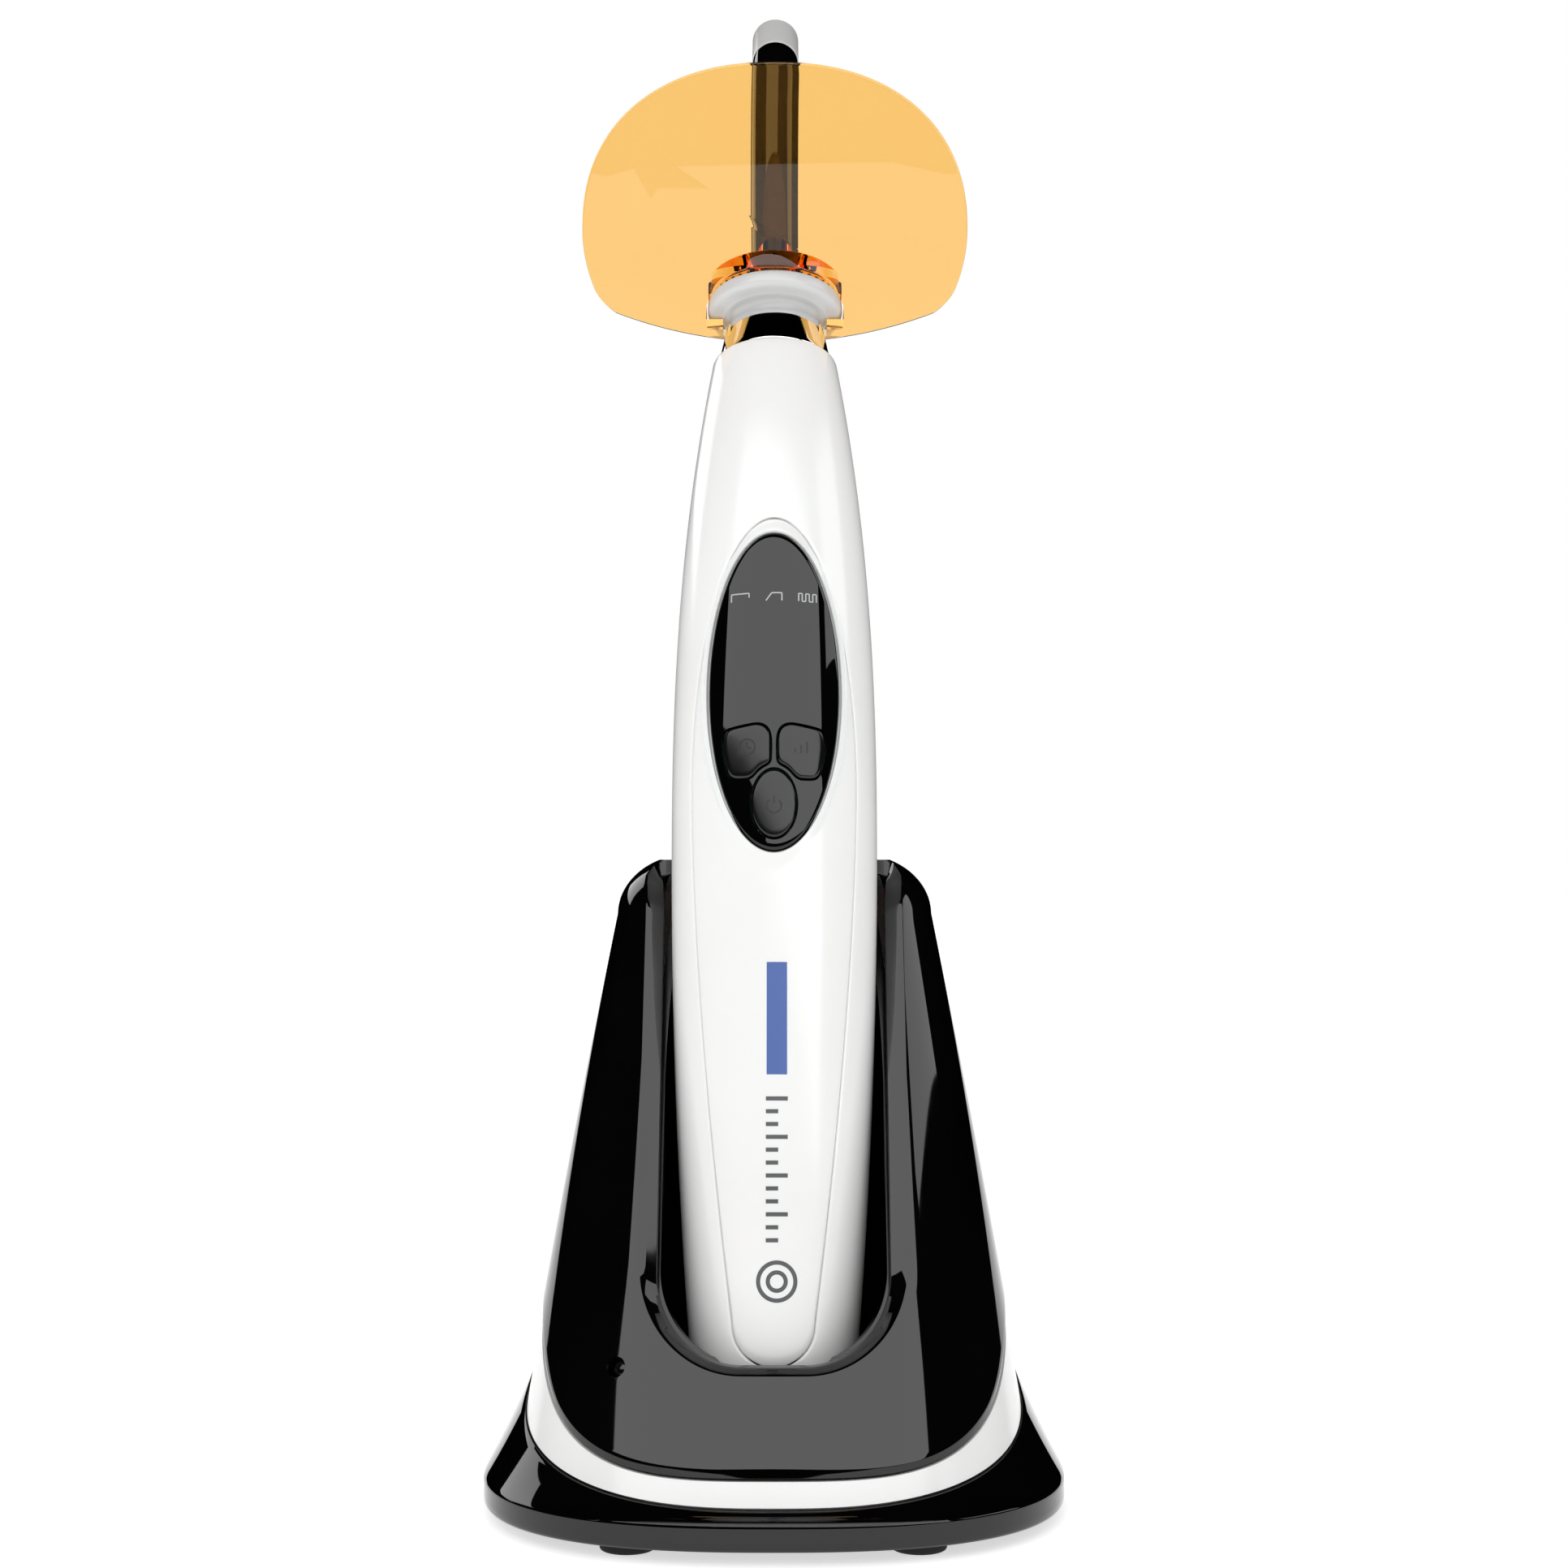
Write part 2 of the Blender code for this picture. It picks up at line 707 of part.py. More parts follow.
def build_floor(root, finish):
    """The plate that closes the foot, its ballast, pads and screws."""
    plate_low = FOOT_UNDERSIDE + GAP
    plate_high = plate_low + PLATE_THICKNESS
    middle, reach = (FOOT_BACK - FOOT_FRONT) / 2, (FOOT_BACK + FOOT_FRONT) / 2
    inset = FOOT_WALL + GAP
    outline = oval(FOOT_HALF - inset, reach - inset, middle, FOOT_POWER)
    floor = piece("foot_plate", plate(outline, plate_low, plate_high), finish["dark"], root)

    ballast_low = plate_high + GAP
    ballast_high = ballast_low + BALLAST_THICKNESS
    ballast_reach = (PAD_REAR_Y - PAD_FRONT_Y) * BALLAST_REACH
    outline = oval(BALLAST_HALF, ballast_reach, BALLAST_MIDDLE, BALLAST_POWER, ROUND)
    ballast = piece("ballast_weight", plate(outline, ballast_low, ballast_high), finish["steel"], root)

    corners = [(side * PAD_FRONT_X, PAD_FRONT_Y) for side in (-1, 1)]
    corners += [(side * PAD_REAR_X, PAD_REAR_Y) for side in (-1, 1)]
    names = ("front_left", "front_right", "rear_left", "rear_right")
    for name, (x, y) in zip(names, corners):
        profile = [(0, 0), (PAD_RADIUS - PAD_DRAFT, 0), (PAD_RADIUS, PAD_EDGE), (PAD_RADIUS, FOOT_UNDERSIDE)]
        pad = turned([*profile, (0, FOOT_UNDERSIDE)], SMALL)
        moved(pad, Matrix.Translation((x, y, 0.0)))
        piece(f"rubber_foot_{name}", pad, finish["rubber"], root)

    head, shaft = SCREW_HEAD, SCREW_SHAFT
    low, high = plate_low, ballast_high - GAP
    wide, narrow = head + GAP, shaft + GAP
    holes = []
    spots = [(side, y) for side in (-1, 1) for y in (-0.5 * ballast_reach, 0.6 * ballast_reach)]
    for number, (side, y) in enumerate(spots, 1):
        place = Matrix.Translation((side * SCREW_SPREAD * BALLAST_HALF, y, 0.0))
        profile = [(0, low), (head, low), (shaft, low + SCREW_HEAD_HEIGHT), (shaft, high), (0, high)]
        piece(f"base_screw_{number}", moved(turned(profile, SMALL), place), finish["steel"], root)
        sink = [(0, low - GAP), (wide, low - GAP), (wide, low), (narrow, low + SCREW_HEAD_HEIGHT)]
        holes.append(moved(turned([*sink, (narrow, THROUGH), (0, THROUGH)], SMALL), place))
    screw_space = helper("screw_space", joined(*holes), root)
    cut(floor, screw_space)
    cut(ballast, screw_space)


def build_inlet(root, foot, finish):
    """The power inlet in the back of the foot, and the charging board that carries it."""
    surface = max(y for _, y, _ in between(foot_ring(0.0, FOOT_BAND_TOP), seam_ring(FOOT_STEP), 0.5))
    back = surface - INLET_RECESS
    half = INLET_WIDTH / 2
    low, high = INLET_CENTRE - INLET_HEIGHT / 2, INLET_CENTRE + INLET_HEIGHT / 2
    window = box((-half - GAP, half + GAP), (back - 0.008, back + 0.01), (low - GAP, high + GAP))
    cut(foot, helper("inlet_window", window, root))

    inlet = piece("dc_inlet", box((-half, half), (back - INLET_LENGTH, back), (low, high)), finish["dark"], root)
    depth = INLET_LENGTH * INLET_SOCKET_SHARE
    bore = facing_front(tube(INLET_PIN, INLET_BORE, -back - 0.002, -back + depth, SMALL))
    moved(bore, Matrix.Translation((0.0, 0.0, INLET_CENTRE)))
    cut(inlet, helper("inlet_bore", bore, root))

    board_high = low - GAP
    board_back = back - CHARGER_BOARD_BACK
    outline = [(-CHARGER_BOARD_HALF, CHARGER_BOARD_HALF), (board_back - CHARGER_BOARD_LENGTH, board_back)]
    board = box(*outline, (board_high - BOARD_THICKNESS, board_high))
    piece("charging_board", board, finish["board"], root)


def build_charging_pins(handpiece, liner, liner_floor, finish):
    """Two sprung pins that come up through the cradle's floor, and the block that holds them."""
    top = -GAP
    block_high = liner_floor - GAP
    block_low = block_high - BLOCK_DEPTH
    across, along = (-BLOCK_HALF_WIDTH, BLOCK_HALF_WIDTH), (-BLOCK_HALF_DEPTH, BLOCK_HALF_DEPTH)
    block = piece("contact_block", box(across, along, (block_low, block_high)), finish["dark"], handpiece)
    bottom = block_low + PIN_TRAVEL + PIN_HEEL
    holes = []
    for name, side in (("left", -1), ("right", 1)):
        place = Matrix.Translation((side * CONTACT_SPACING / 2, 0.0, 0.0))
        holes.append(moved(rod(PIN_RADIUS + GAP, block_low + PIN_SEAT, THROUGH), place))
        axis = frame(f"charge_pin_{name}_axis", handpiece, place.translation)
        profile = [(0, bottom), (PIN_RADIUS, bottom), (PIN_RADIUS, top - PIN_NOSE), (PIN_RADIUS / 2, top), (0, top)]
        piece(f"charge_pin_{name}", turned(profile, SMALL), finish["gold"], axis)
    both = helper("pin_holes", joined(*holes), handpiece)
    cut(block, both)
    cut(liner, both)


# --- Handpiece ----------------------------------------------------------------------------


def body_radius(height):
    """Half the body's width at a distance from the tail."""
    middle = BODY_WIDTH / 2
    if height < WIDEST_AT:
        return middle - (middle - TAIL_RADIUS) * (1 - max(height, 0.0) / WIDEST_AT) ** 2
    share = (height - WIDEST_AT) / (BODY_LENGTH - WIDEST_AT)
    return middle - (middle - NECK_RADIUS) * share**NECK_POWER


def body_centre(height):
    """Offset and lean of the body's centre line, which bends back into the head."""
    start = BODY_LENGTH - BEND_LENGTH
    share = min(1.0, max(0.0, (height - start) / BEND_LENGTH))
    slope = math.tan(HEAD_LEAN)
    return slope * BEND_LENGTH * share**2 / 2, slope * share


def body_ring(height, grow, inset=0.0):
    radius = body_radius(height) + grow - inset
    deep = body_radius(height) * BODY_DEPTH / BODY_WIDTH + grow - inset
    offset, slope = body_centre(height)
    lean = math.atan(slope)
    return [
        (x, offset + y * math.cos(lean), height - y * math.sin(lean))
        for x, y in oval(radius, deep, power=BODY_POWER)
    ]


def body(grow, low=0.0, high=None):
    """The body's outer solid moved out by grow. Its own ends are rounded, others are plain."""
    high = BODY_LENGTH if high is None else high
    first = low + (TAIL_ROUND if low == 0.0 else 0.0)
    last = high - (RIM_ROUND if high == BODY_LENGTH else 0.0)
    rings = []
    if low == 0.0:
        for angle in (0, 22, 45, 68):
            drop = 1 - math.sin(math.radians(angle)), 1 - math.cos(math.radians(angle))
            rings.append(body_ring(TAIL_ROUND * drop[1], grow, TAIL_ROUND * drop[0]))
    steps = 10
    rings += [body_ring(first + (last - first) * k / steps, grow) for k in range(steps + 1)]
    if high == BODY_LENGTH:
        rings.append(body_ring(high - RIM_ROUND * 0.3, grow, RIM_ROUND * 0.3))
        rings.append(body_ring(high, grow, RIM_ROUND))
    return loft(rings)


def from_rim(distance):
    """Distance from the tail of a place measured down from the rim."""
    return BODY_LENGTH - distance


def cover_outline(grow):
    """Front view of the cover: a long tongue with an arched top and a narrow rounded tail."""
    widest, top = from_rim(COVER_WIDEST), from_rim(COVER_TOP)
    half, rise = COVER_HALF + grow, top - widest + grow
    upper = arc((0.0, widest), (half, rise), 90, 0, 14)
    end = COVER_TAIL_END - grow
    flank = []
    for k in range(1, 9):
        share = k / 8
        z = widest + (end + COVER_TAIL_HALF - widest) * share
        flank.append((half - (COVER_HALF - COVER_TAIL_HALF) * share**1.6, z))
    tail = COVER_TAIL_HALF + grow
    lower = arc((0.0, end + tail), tail, 0, -90, 6)
    return mirrored([(0.0, upper[0][1])] + upper[1:] + flank[:-1] + lower)


def front_region(outline, back=0.0):
    return prism(outline, -REACH, back)


def display_outline(grow):
    return oval(DISPLAY_WIDTH / 2 + grow, DISPLAY_LENGTH / 2 + grow, from_rim(DISPLAY_CENTRE))


def power_outline(grow):
    centre = from_rim(DISPLAY_CENTRE) - POWER_DROP
    return oval(POWER_WIDTH / 2 + grow, POWER_HEIGHT / 2 + grow, centre, count=ROUND)


def side_button_outline(side, grow):
    centre = from_rim(DISPLAY_CENTRE) - BUTTON_DROP
    half, rise = BUTTON_WIDTH / 2 + grow, BUTTON_HEIGHT / 2 + grow
    outline = oval(half, rise, centre, 4.0, ROUND)
    return [(x + side * BUTTON_SPACING / 2, z) for x, z in outline]


def build_shells(handpiece, finish):
    """The rear shell, the front cover, the display window and the three buttons."""
    inside = helper("body_inside", body(-BODY_WALL, BODY_WALL, BODY_LENGTH + 0.004), handpiece)
    cover_space = helper("cover_space", front_region(cover_outline(GAP)), handpiece)
    rear = piece("rear_shell", body(0.0), finish["white"], handpiece)
    plug_hole = helper("plug_hole", rod(PLUG_RADIUS + GAP, -THROUGH / 2, THROUGH / 2, ROUND), handpiece)
    cut(rear, inside, cover_space, plug_hole)

    cover = piece("front_cover", front_region(cover_outline(0.0)), finish["white"], handpiece)
    outside = helper("body_outside", body(0.0), handpiece)
    keep(cover, outside)
    cut(cover, inside)
    cut(cover, helper("display_space", front_region(display_outline(GAP)), handpiece))

    window = piece("display_window", front_region(display_outline(0.0)), finish["black_gloss"], handpiece)
    keep(window, outside)
    cut(window, inside)
    build_buttons(handpiece, window, inside, finish)


def build_buttons(handpiece, window, inside, finish):
    """Three buttons that press in towards the switches behind them."""
    proud = helper("body_proud", body(BUTTON_PROUD), handpiece)
    centre = from_rim(DISPLAY_CENTRE)
    outlines = {
        "left_button": lambda grow: side_button_outline(-1, grow),
        "right_button": lambda grow: side_button_outline(1, grow),
        "power_button": power_outline,
    }
    places = {
        "left_button": (-BUTTON_SPACING / 2, centre - BUTTON_DROP),
        "right_button": (BUTTON_SPACING / 2, centre - BUTTON_DROP),
        "power_button": (0.0, centre - POWER_DROP - POWER_HEIGHT / 8),
    }
    around_power = prism(power_outline(BUTTON_SEPARATION), -REACH, REACH)
    around_power = helper("around_power", around_power, handpiece)
    switch_top = -BOARD_FRONT - GAP - SWITCH_HEIGHT
    for name, outline in outlines.items():
        x, z = places[name]
        axis = frame(f"{name}_axis", handpiece, (x, 0.0, z))
        cap = prism([(px - x, pz - z) for px, pz in outline(0.0)], -REACH, 0.0)
        button = piece(name, cap, finish["black_gloss"], axis)
        keep(button, proud)
        cut(button, inside)
        length = BODY_DEPTH / 2 - BODY_WALL / 2
        stem = facing_front(rod(STEM_RADIUS, -switch_top + BUTTON_TRAVEL + SLIP, length, SMALL))
        space = helper(f"{name}_space", prism(outline(GAP), -REACH, REACH), handpiece)
        if name != "power_button":
            cut(button, around_power)
            trim = prism(power_outline(BUTTON_SEPARATION - GAP), -REACH, REACH)
            cut(space, helper(f"{name}_trim", trim, handpiece))
        boolean(button, "UNION", helper(f"{name}_stem", stem, axis))
        cut(window, space)
        switch = facing_front(
            box(
                (-SWITCH_SIZE / 2, SWITCH_SIZE / 2),
                (-SWITCH_SIZE / 2, SWITCH_SIZE / 2),
                (BOARD_FRONT + GAP, BOARD_FRONT + GAP + SWITCH_HEIGHT),
            ),
            x,
            z,
        )
        piece(name.replace("button", "switch"), switch, finish["steel"], handpiece)


def build_electronics(handpiece, finish):
    """Board, display, beeper, battery and its contacts."""
    centre = from_rim(DISPLAY_CENTRE)
    bottom = centre - DISPLAY_LENGTH / 2 - BOARD_BELOW_DISPLAY
    top = from_rim(socket_bottom() + SINK_LENGTH) - BOARD_BELOW_SINK
    half = BOARD_WIDTH / 2
    back = -BOARD_FRONT + BOARD_THICKNESS
    board = piece("main_board", box((-half, half), (-BOARD_FRONT, back), (bottom, top)), finish["board"], handpiece)
    behind = back + GAP
    chassis_depth = (behind, behind + CHASSIS_THICKNESS)
    chassis = piece("inner_chassis", box((-half, half), chassis_depth, (bottom, top)), finish["dark"], handpiece)

    holes = []
    shaft, head, front = BOARD_SCREW_SHAFT, BOARD_SCREW_HEAD, BOARD_FRONT + GAP
    depth = front - BOARD_THICKNESS - CHASSIS_THICKNESS
    for number, (side, z) in enumerate(((-1, top - BOARD_SCREW_END), (1, bottom + BOARD_SCREW_END)), 1):
        place = (side * (half - BOARD_SCREW_IN), z)
        profile = [(0, depth), (shaft, depth), (shaft, front), (head, front)]
        screw = turned([*profile, (head, front + BOARD_SCREW_HEIGHT), (0, front + BOARD_SCREW_HEIGHT)], 12)
        piece(f"board_screw_{number}", facing_front(screw, *place), finish["steel"], handpiece)
        holes.append(facing_front(rod(shaft + GAP, 0.0, THROUGH, 12), *place))
    screw_space = helper("board_screw_space", joined(*holes), handpiece)
    cut(board, screw_space)
    cut(chassis, screw_space)

    module_low = centre - BUTTON_DROP + BUTTON_HEIGHT / 2 + MODULE_ABOVE_BUTTONS
    module = box(
        (-MODULE_HALF, MODULE_HALF),
        (-BOARD_FRONT - MODULE_DEPTH, -BOARD_FRONT - GAP),
        (module_low, module_low + DISPLAY_MODULE_HEIGHT),
    )
    piece("display_module", module, finish["dark"], handpiece)

    beeper_z = (bottom + centre - POWER_DROP - POWER_HEIGHT / 2) / 2
    low = BOARD_FRONT + GAP
    beeper = facing_front(rod(BEEPER_RADIUS, low, low + BEEPER_HEIGHT), 0.0, beeper_z)
    piece("beeper", beeper, finish["dark"], handpiece)

    cell_high = bottom - BATTERY_BELOW_BOARD
    profile = [(0, BATTERY_ABOVE_TAIL), (BATTERY_RADIUS - BATTERY_FOOT_EDGE, BATTERY_ABOVE_TAIL)]
    profile.append((BATTERY_RADIUS, BATTERY_ABOVE_TAIL + BATTERY_FOOT_EDGE))
    profile.append((BATTERY_RADIUS, cell_high - BATTERY_EDGE - BATTERY_CAP_EDGE))
    profile.append((BATTERY_RADIUS - BATTERY_EDGE, cell_high - BATTERY_CAP_EDGE))
    profile += [(BATTERY_BUTTON, cell_high), (0, cell_high)]
    piece("battery", turned(profile, ROUND), finish["blue"], handpiece)
    reach = (-CELL_CONTACT_HALF, CELL_CONTACT_HALF)
    contact_low = cell_high + GAP
    contact = box(reach, reach, (contact_low, contact_low + CELL_CONTACT_THICKNESS))
    piece("battery_contact", contact, finish["gold"], handpiece)
    build_battery_spring(handpiece, finish)


def build_battery_spring(handpiece, finish):
    """A conical coil between the tail plug and the battery."""
    low = PLUG_THICKNESS + SPRING_WIRE + 2 * GAP
    high = BATTERY_ABOVE_TAIL - SPRING_WIRE - GAP
    count = round(SPRING_TURNS * 14)
    curve = bpy.data.curves.new("battery_spring", "CURVE")
    curve.dimensions = "3D"
    curve.bevel_depth = SPRING_WIRE
    curve.bevel_resolution = 1
    curve.use_fill_caps = True
    spline = curve.splines.new("POLY")
    spline.points.add(count)
    for k, point in enumerate(spline.points):
        share = k / count
        angle = 2 * math.pi * SPRING_TURNS * share
        radius = SPRING_WIDE - SPRING_TAPER * share
        point.co = (radius * math.cos(angle), radius * math.sin(angle), low + (high - low) * share, 1.0)
    curve.materials.append(finish["steel"])
    made = bpy.data.objects.new("battery_spring", curve)
    bpy.context.scene.collection.objects.link(made)
    made.parent = handpiece


def build_tail(handpiece, finish):
    """The tail plug and the two contacts that meet the cradle's pins."""
    plug = piece("tail_plug", rod(PLUG_RADIUS, GAP / 2, PLUG_THICKNESS, ROUND), finish["dark"], handpiece)
    holes = []
    for name, side in (("left", -1), ("right", 1)):
        place = Matrix.Translation((side * CONTACT_SPACING / 2, 0.0, 0.0))
        holes.append(moved(rod(CONTACT_RADIUS + GAP, -THROUGH / 2, CONTACT_THICKNESS + 2 * GAP), place))
        contact = moved(rod(CONTACT_RADIUS, GAP, CONTACT_THICKNESS + GAP), place)
        piece(f"charge_contact_{name}", contact, finish["gold"], handpiece)
    cut(plug, helper("contact_holes", joined(*holes), handpiece))


# --- Head ---------------------------------------------------------------------------------


def socket_bottom():
    """Depth below the rim at which the LED's board starts."""
    return SOCKET_DEPTH + LENS_THICKNESS + LED_HEIGHT + 4 * GAP + LED_BOARD_THICKNESS


def build_head(head, finish):
    """Chrome ring, socket, lens, LED and heat sink on the head's axis."""
    rim = NECK_RADIUS - RIM_ROUND
    ring = [(SOCKET_BORE, GAP), (rim, GAP), (rim - RING_DRAFT, RING_FOOT), (RING_TOP_RADIUS, RING_HEIGHT)]
    ring_top = RING_HEIGHT + RING_LIP
    ring += [(RING_TOP_RADIUS - RING_LIP_IN, ring_top), (SOCKET_BORE, ring_top)]
    piece("chrome_ring", turned(ring, FINE), finish["chrome"], head)

    socket = tube(SOCKET_BORE, SOCKET_BORE + SOCKET_WALL, -SOCKET_DEPTH, 0.0, ROUND)
    piece("guide_socket", socket, finish["steel"], head)

    lens_high = -SOCKET_DEPTH - GAP
    lens_low = lens_high - LENS_THICKNESS
    profile = [(0, lens_low), (LENS_RADIUS, lens_low), (LENS_RADIUS, lens_low + 0.0008)]
    profile += [(LENS_RADIUS * 0.7, lens_high - 0.0004), (0, lens_high)]
    piece("led_lens", turned(profile, ROUND), finish["lens"], head)

    led_high = lens_low - GAP
    half = LED_SIZE / 2
    piece("led_emitter", box((-half, half), (-half, half), (led_high - LED_HEIGHT, led_high)), finish["led"], head)
    board_high = led_high - LED_HEIGHT - GAP
    board_low = board_high - LED_BOARD_THICKNESS
    piece("led_board", rod(LED_BOARD_RADIUS, board_low, board_high, ROUND), finish["ceramic"], head)

    high = board_low - GAP
    low = high - SINK_LENGTH
    pitch = SINK_LENGTH / (SINK_GROOVES + 0.5)
    inner = SINK_RADIUS - SINK_FIN_DEPTH
    profile = [(0, low)]
    for k in range(SINK_GROOVES):
        start = low + k * pitch
        profile += [(SINK_RADIUS, start), (SINK_RADIUS, start + pitch / 2)]
        profile += [(inner, start + pitch / 2), (inner, start + pitch)]
    profile += [(SINK_RADIUS, high - pitch / 2), (SINK_RADIUS, high), (0, high)]
    piece("heat_sink", turned(profile, 20), finish["aluminium"], head)


def rod_path(start, end):
    """Points along the rod's centre line, each with its lean, between two distances along it."""
    bend_length = ROD_BEND_RADIUS * ROD_BEND
    marks = [start, end]
    marks += [ROD_STRAIGHT + bend_length * k / 6 for k in range(7)]
    path = []
    for mark in sorted(m for m in set(marks) if start <= m <= end):
        lean = min(ROD_BEND, max(0.0, (mark - ROD_STRAIGHT) / ROD_BEND_RADIUS))
        along = max(0.0, mark - ROD_STRAIGHT - bend_length)
        y = ROD_BEND_RADIUS * (1 - math.cos(lean)) + along * math.sin(lean)
        z = min(mark, ROD_STRAIGHT) + ROD_BEND_RADIUS * math.sin(lean) + along * math.cos(lean)
        path.append((y, z, lean))
    return path


def swept(radius, start, end, count=24):
    rings = []
    for y, z, lean in rod_path(start, end):
        circle = oval(radius, radius, count=count)
        rings.append([(a, y + b * math.cos(lean), z - b * math.sin(lean)) for a, b in circle])
    return loft(rings)


def build_light_guide(guide, seal, finish):
    """Ferrule, rod, fibre core and tip, which turn together in the socket."""
    plug = SOCKET_BORE - PLUG_CLEARANCE
    bore = ROD_RADIUS + GAP
    low = -SOCKET_DEPTH + PLUG_ABOVE_SOCKET
    groove = plug - RING_GROOVE / 2
    rounding = FLANGE_ROUND
    profile = [(bore, low), (plug, low)]
    profile += [(plug, -SEAL_DEPTH - RING_GROOVE / 2), (groove, -SEAL_DEPTH - RING_GROOVE / 2)]
    profile += [(groove, -SEAL_DEPTH + RING_GROOVE / 2), (plug, -SEAL_DEPTH + RING_GROOVE / 2)]
    profile += [(plug, RING_HEIGHT + 2 * GAP), (FERRULE_NECK, RING_HEIGHT + 2 * GAP)]
    profile += [(FERRULE_NECK, FLANGE_BOTTOM - NECK_FILLET), (FERRULE_NECK + NECK_FILLET_OUT, FLANGE_BOTTOM)]
    profile += arc((FLANGE_RADIUS - rounding, FLANGE_BOTTOM + rounding), rounding, -60, 0, 3)
    profile += arc((FLANGE_RADIUS - rounding, FLANGE_TOP - rounding), rounding, 0, 90, 4)
    profile += [(bore, FLANGE_TOP)]
    piece("guide_ferrule", turned(profile, FINE), finish["white"], guide)

    bend_length = ROD_BEND_RADIUS * ROD_BEND
    rod_end = ROD_STRAIGHT + bend_length
    start = low + ROD_ABOVE_PLUG
    rod_piece = piece("light_rod", swept(ROD_RADIUS, start, rod_end), finish["black_gloss"], guide)
    core_space = helper("core_space", swept(ROD_BORE, start - 0.003, rod_end + TIP_LENGTH + 0.004, 16), guide)
    cut(rod_piece, core_space)
    tip = swept(TIP_RADIUS, rod_end + GAP, rod_end + GAP + TIP_LENGTH)
    cut(piece("tip_sleeve", tip, finish["white"], guide), core_space)
    core = swept(CORE_RADIUS, start, rod_end + TIP_LENGTH + GAP - CORE_RECESS, 16)
    piece("fibre_core", core, finish["lens"], guide)

    wire = RING_GROOVE / 2 - SLIP
    centre = (groove + SLIP + wire, -SEAL_DEPTH)
    ring = arc(centre, wire * SEAL_SQUEEZE, 0, 315, 7)
    piece("guide_seal", turned(ring, ROUND), finish["rubber"], seal)


def shield_outline():
    """Plate outline: a full half oval above, slightly drawn-in flanks, round corners, a bowed foot."""
    upper = [(0.0, SHIELD_WIDEST + SHIELD_RISE)]
    for k in range(1, 17):
        turn = math.pi / 2 * (1 - k / 16)
        x = SHIELD_HALF * bulged(math.cos(turn), SHIELD_POWER)
        upper.append((x, SHIELD_WIDEST + SHIELD_RISE * bulged(math.sin(turn), SHIELD_POWER)))
    flank_low = SHIELD_WIDEST * SHIELD_FLANK_END
    flank = []
    for k in range(1, 4):
        z = SHIELD_WIDEST + (flank_low - SHIELD_WIDEST) * k / 3
        flank.append((SHIELD_HALF - SHIELD_FLANK * (SHIELD_WIDEST - z) ** 2, z))
    corner_x = SHIELD_HALF * SHIELD_CORNER

    def foot(x):
        bow = SHIELD_BOTTOM_RADIUS - math.sqrt(SHIELD_BOTTOM_RADIUS**2 - x**2)
        return bow - SHIELD_DROP

    last = flank[-1]
    corner = quadratic(last, (last[0] - SHIELD_CORNER_DRAW, foot(last[0])), (corner_x, foot(corner_x)), 5)
    bottom = [(corner_x * (1 - k / 8), foot(corner_x * (1 - k / 8))) for k in range(1, 9)]
    return mirrored(upper + flank + corner[1:] + bottom)


def build_shield(shield, finish):
    """The flat amber plate and the round hub that sits on the ferrule's flange."""
    tilt = Matrix.Translation((0.0, 0.0, SHIELD_CROSSING)) @ Matrix.Rotation(SHIELD_TILT, 4, "X")
    half = SHIELD_THICKNESS / 2
    sheet = moved(prism(shield_outline(), -half, half), tilt)
    plate_piece = piece("light_shield", sheet, finish["amber"], shield)
    hub_low = FLANGE_TOP + GAP
    hub = rod(HUB_RADIUS, hub_low, hub_low + HUB_HEIGHT, FINE)
    flange_room = rod(FLANGE_RADIUS + GAP, FLANGE_BOTTOM - GAP, hub_low - 1e-5, FINE)
    cut(plate_piece, helper("flange_space", flange_room, shield))
    neck_room = rod(RING_TOP_RADIUS + 2 * GAP, -THROUGH, FLANGE_BOTTOM, FINE)
    cut(plate_piece, helper("neck_space", neck_room, shield))
    boolean(plate_piece, "UNION", helper("shield_hub", hub, shield))
    bore = rod(ROD_RADIUS + GAP, -THROUGH, 2 * THROUGH, ROUND)
    cut(plate_piece, helper("hub_bore", bore, shield))


# --- Assembly -----------------------------------------------------------------------------


def finishes():
    return {
        "white": material("White gloss ABS", "eeeeec", 0.18),
        "black_gloss": material("Black gloss ABS", "0b0b0c", 0.08),
        "dark": material("Dark grey ABS", "1c1c1e", 0.4),
        "steel": material("Plated steel", "b9bcc0", 0.3, 1.0),
        "chrome": material("Chrome", "dfe2e4", 0.08, 1.0),
        "aluminium": material("Aluminium", "c6c9cc", 0.35, 1.0),
        "gold": material("Gold plated contact", "d8b25a", 0.25, 1.0),
        "rubber": material("Rubber", "17171a", 0.75),
        "board": material("Circuit board", "1d5a38", 0.5),
        "ceramic": material("White ceramic", "e8e6df", 0.5),
        "led": material("LED phosphor", "d8c24a", 0.4),
        "blue": material("Battery sleeve", "2c4f9e", 0.35),
        "lens": material("Clear acrylic", "e9f0f2", 0.05, alpha=0.5, transmission=1.0),
        "amber": material("Amber acrylic", "f0932b", 0.05, alpha=0.6, transmission=1.0),
    }


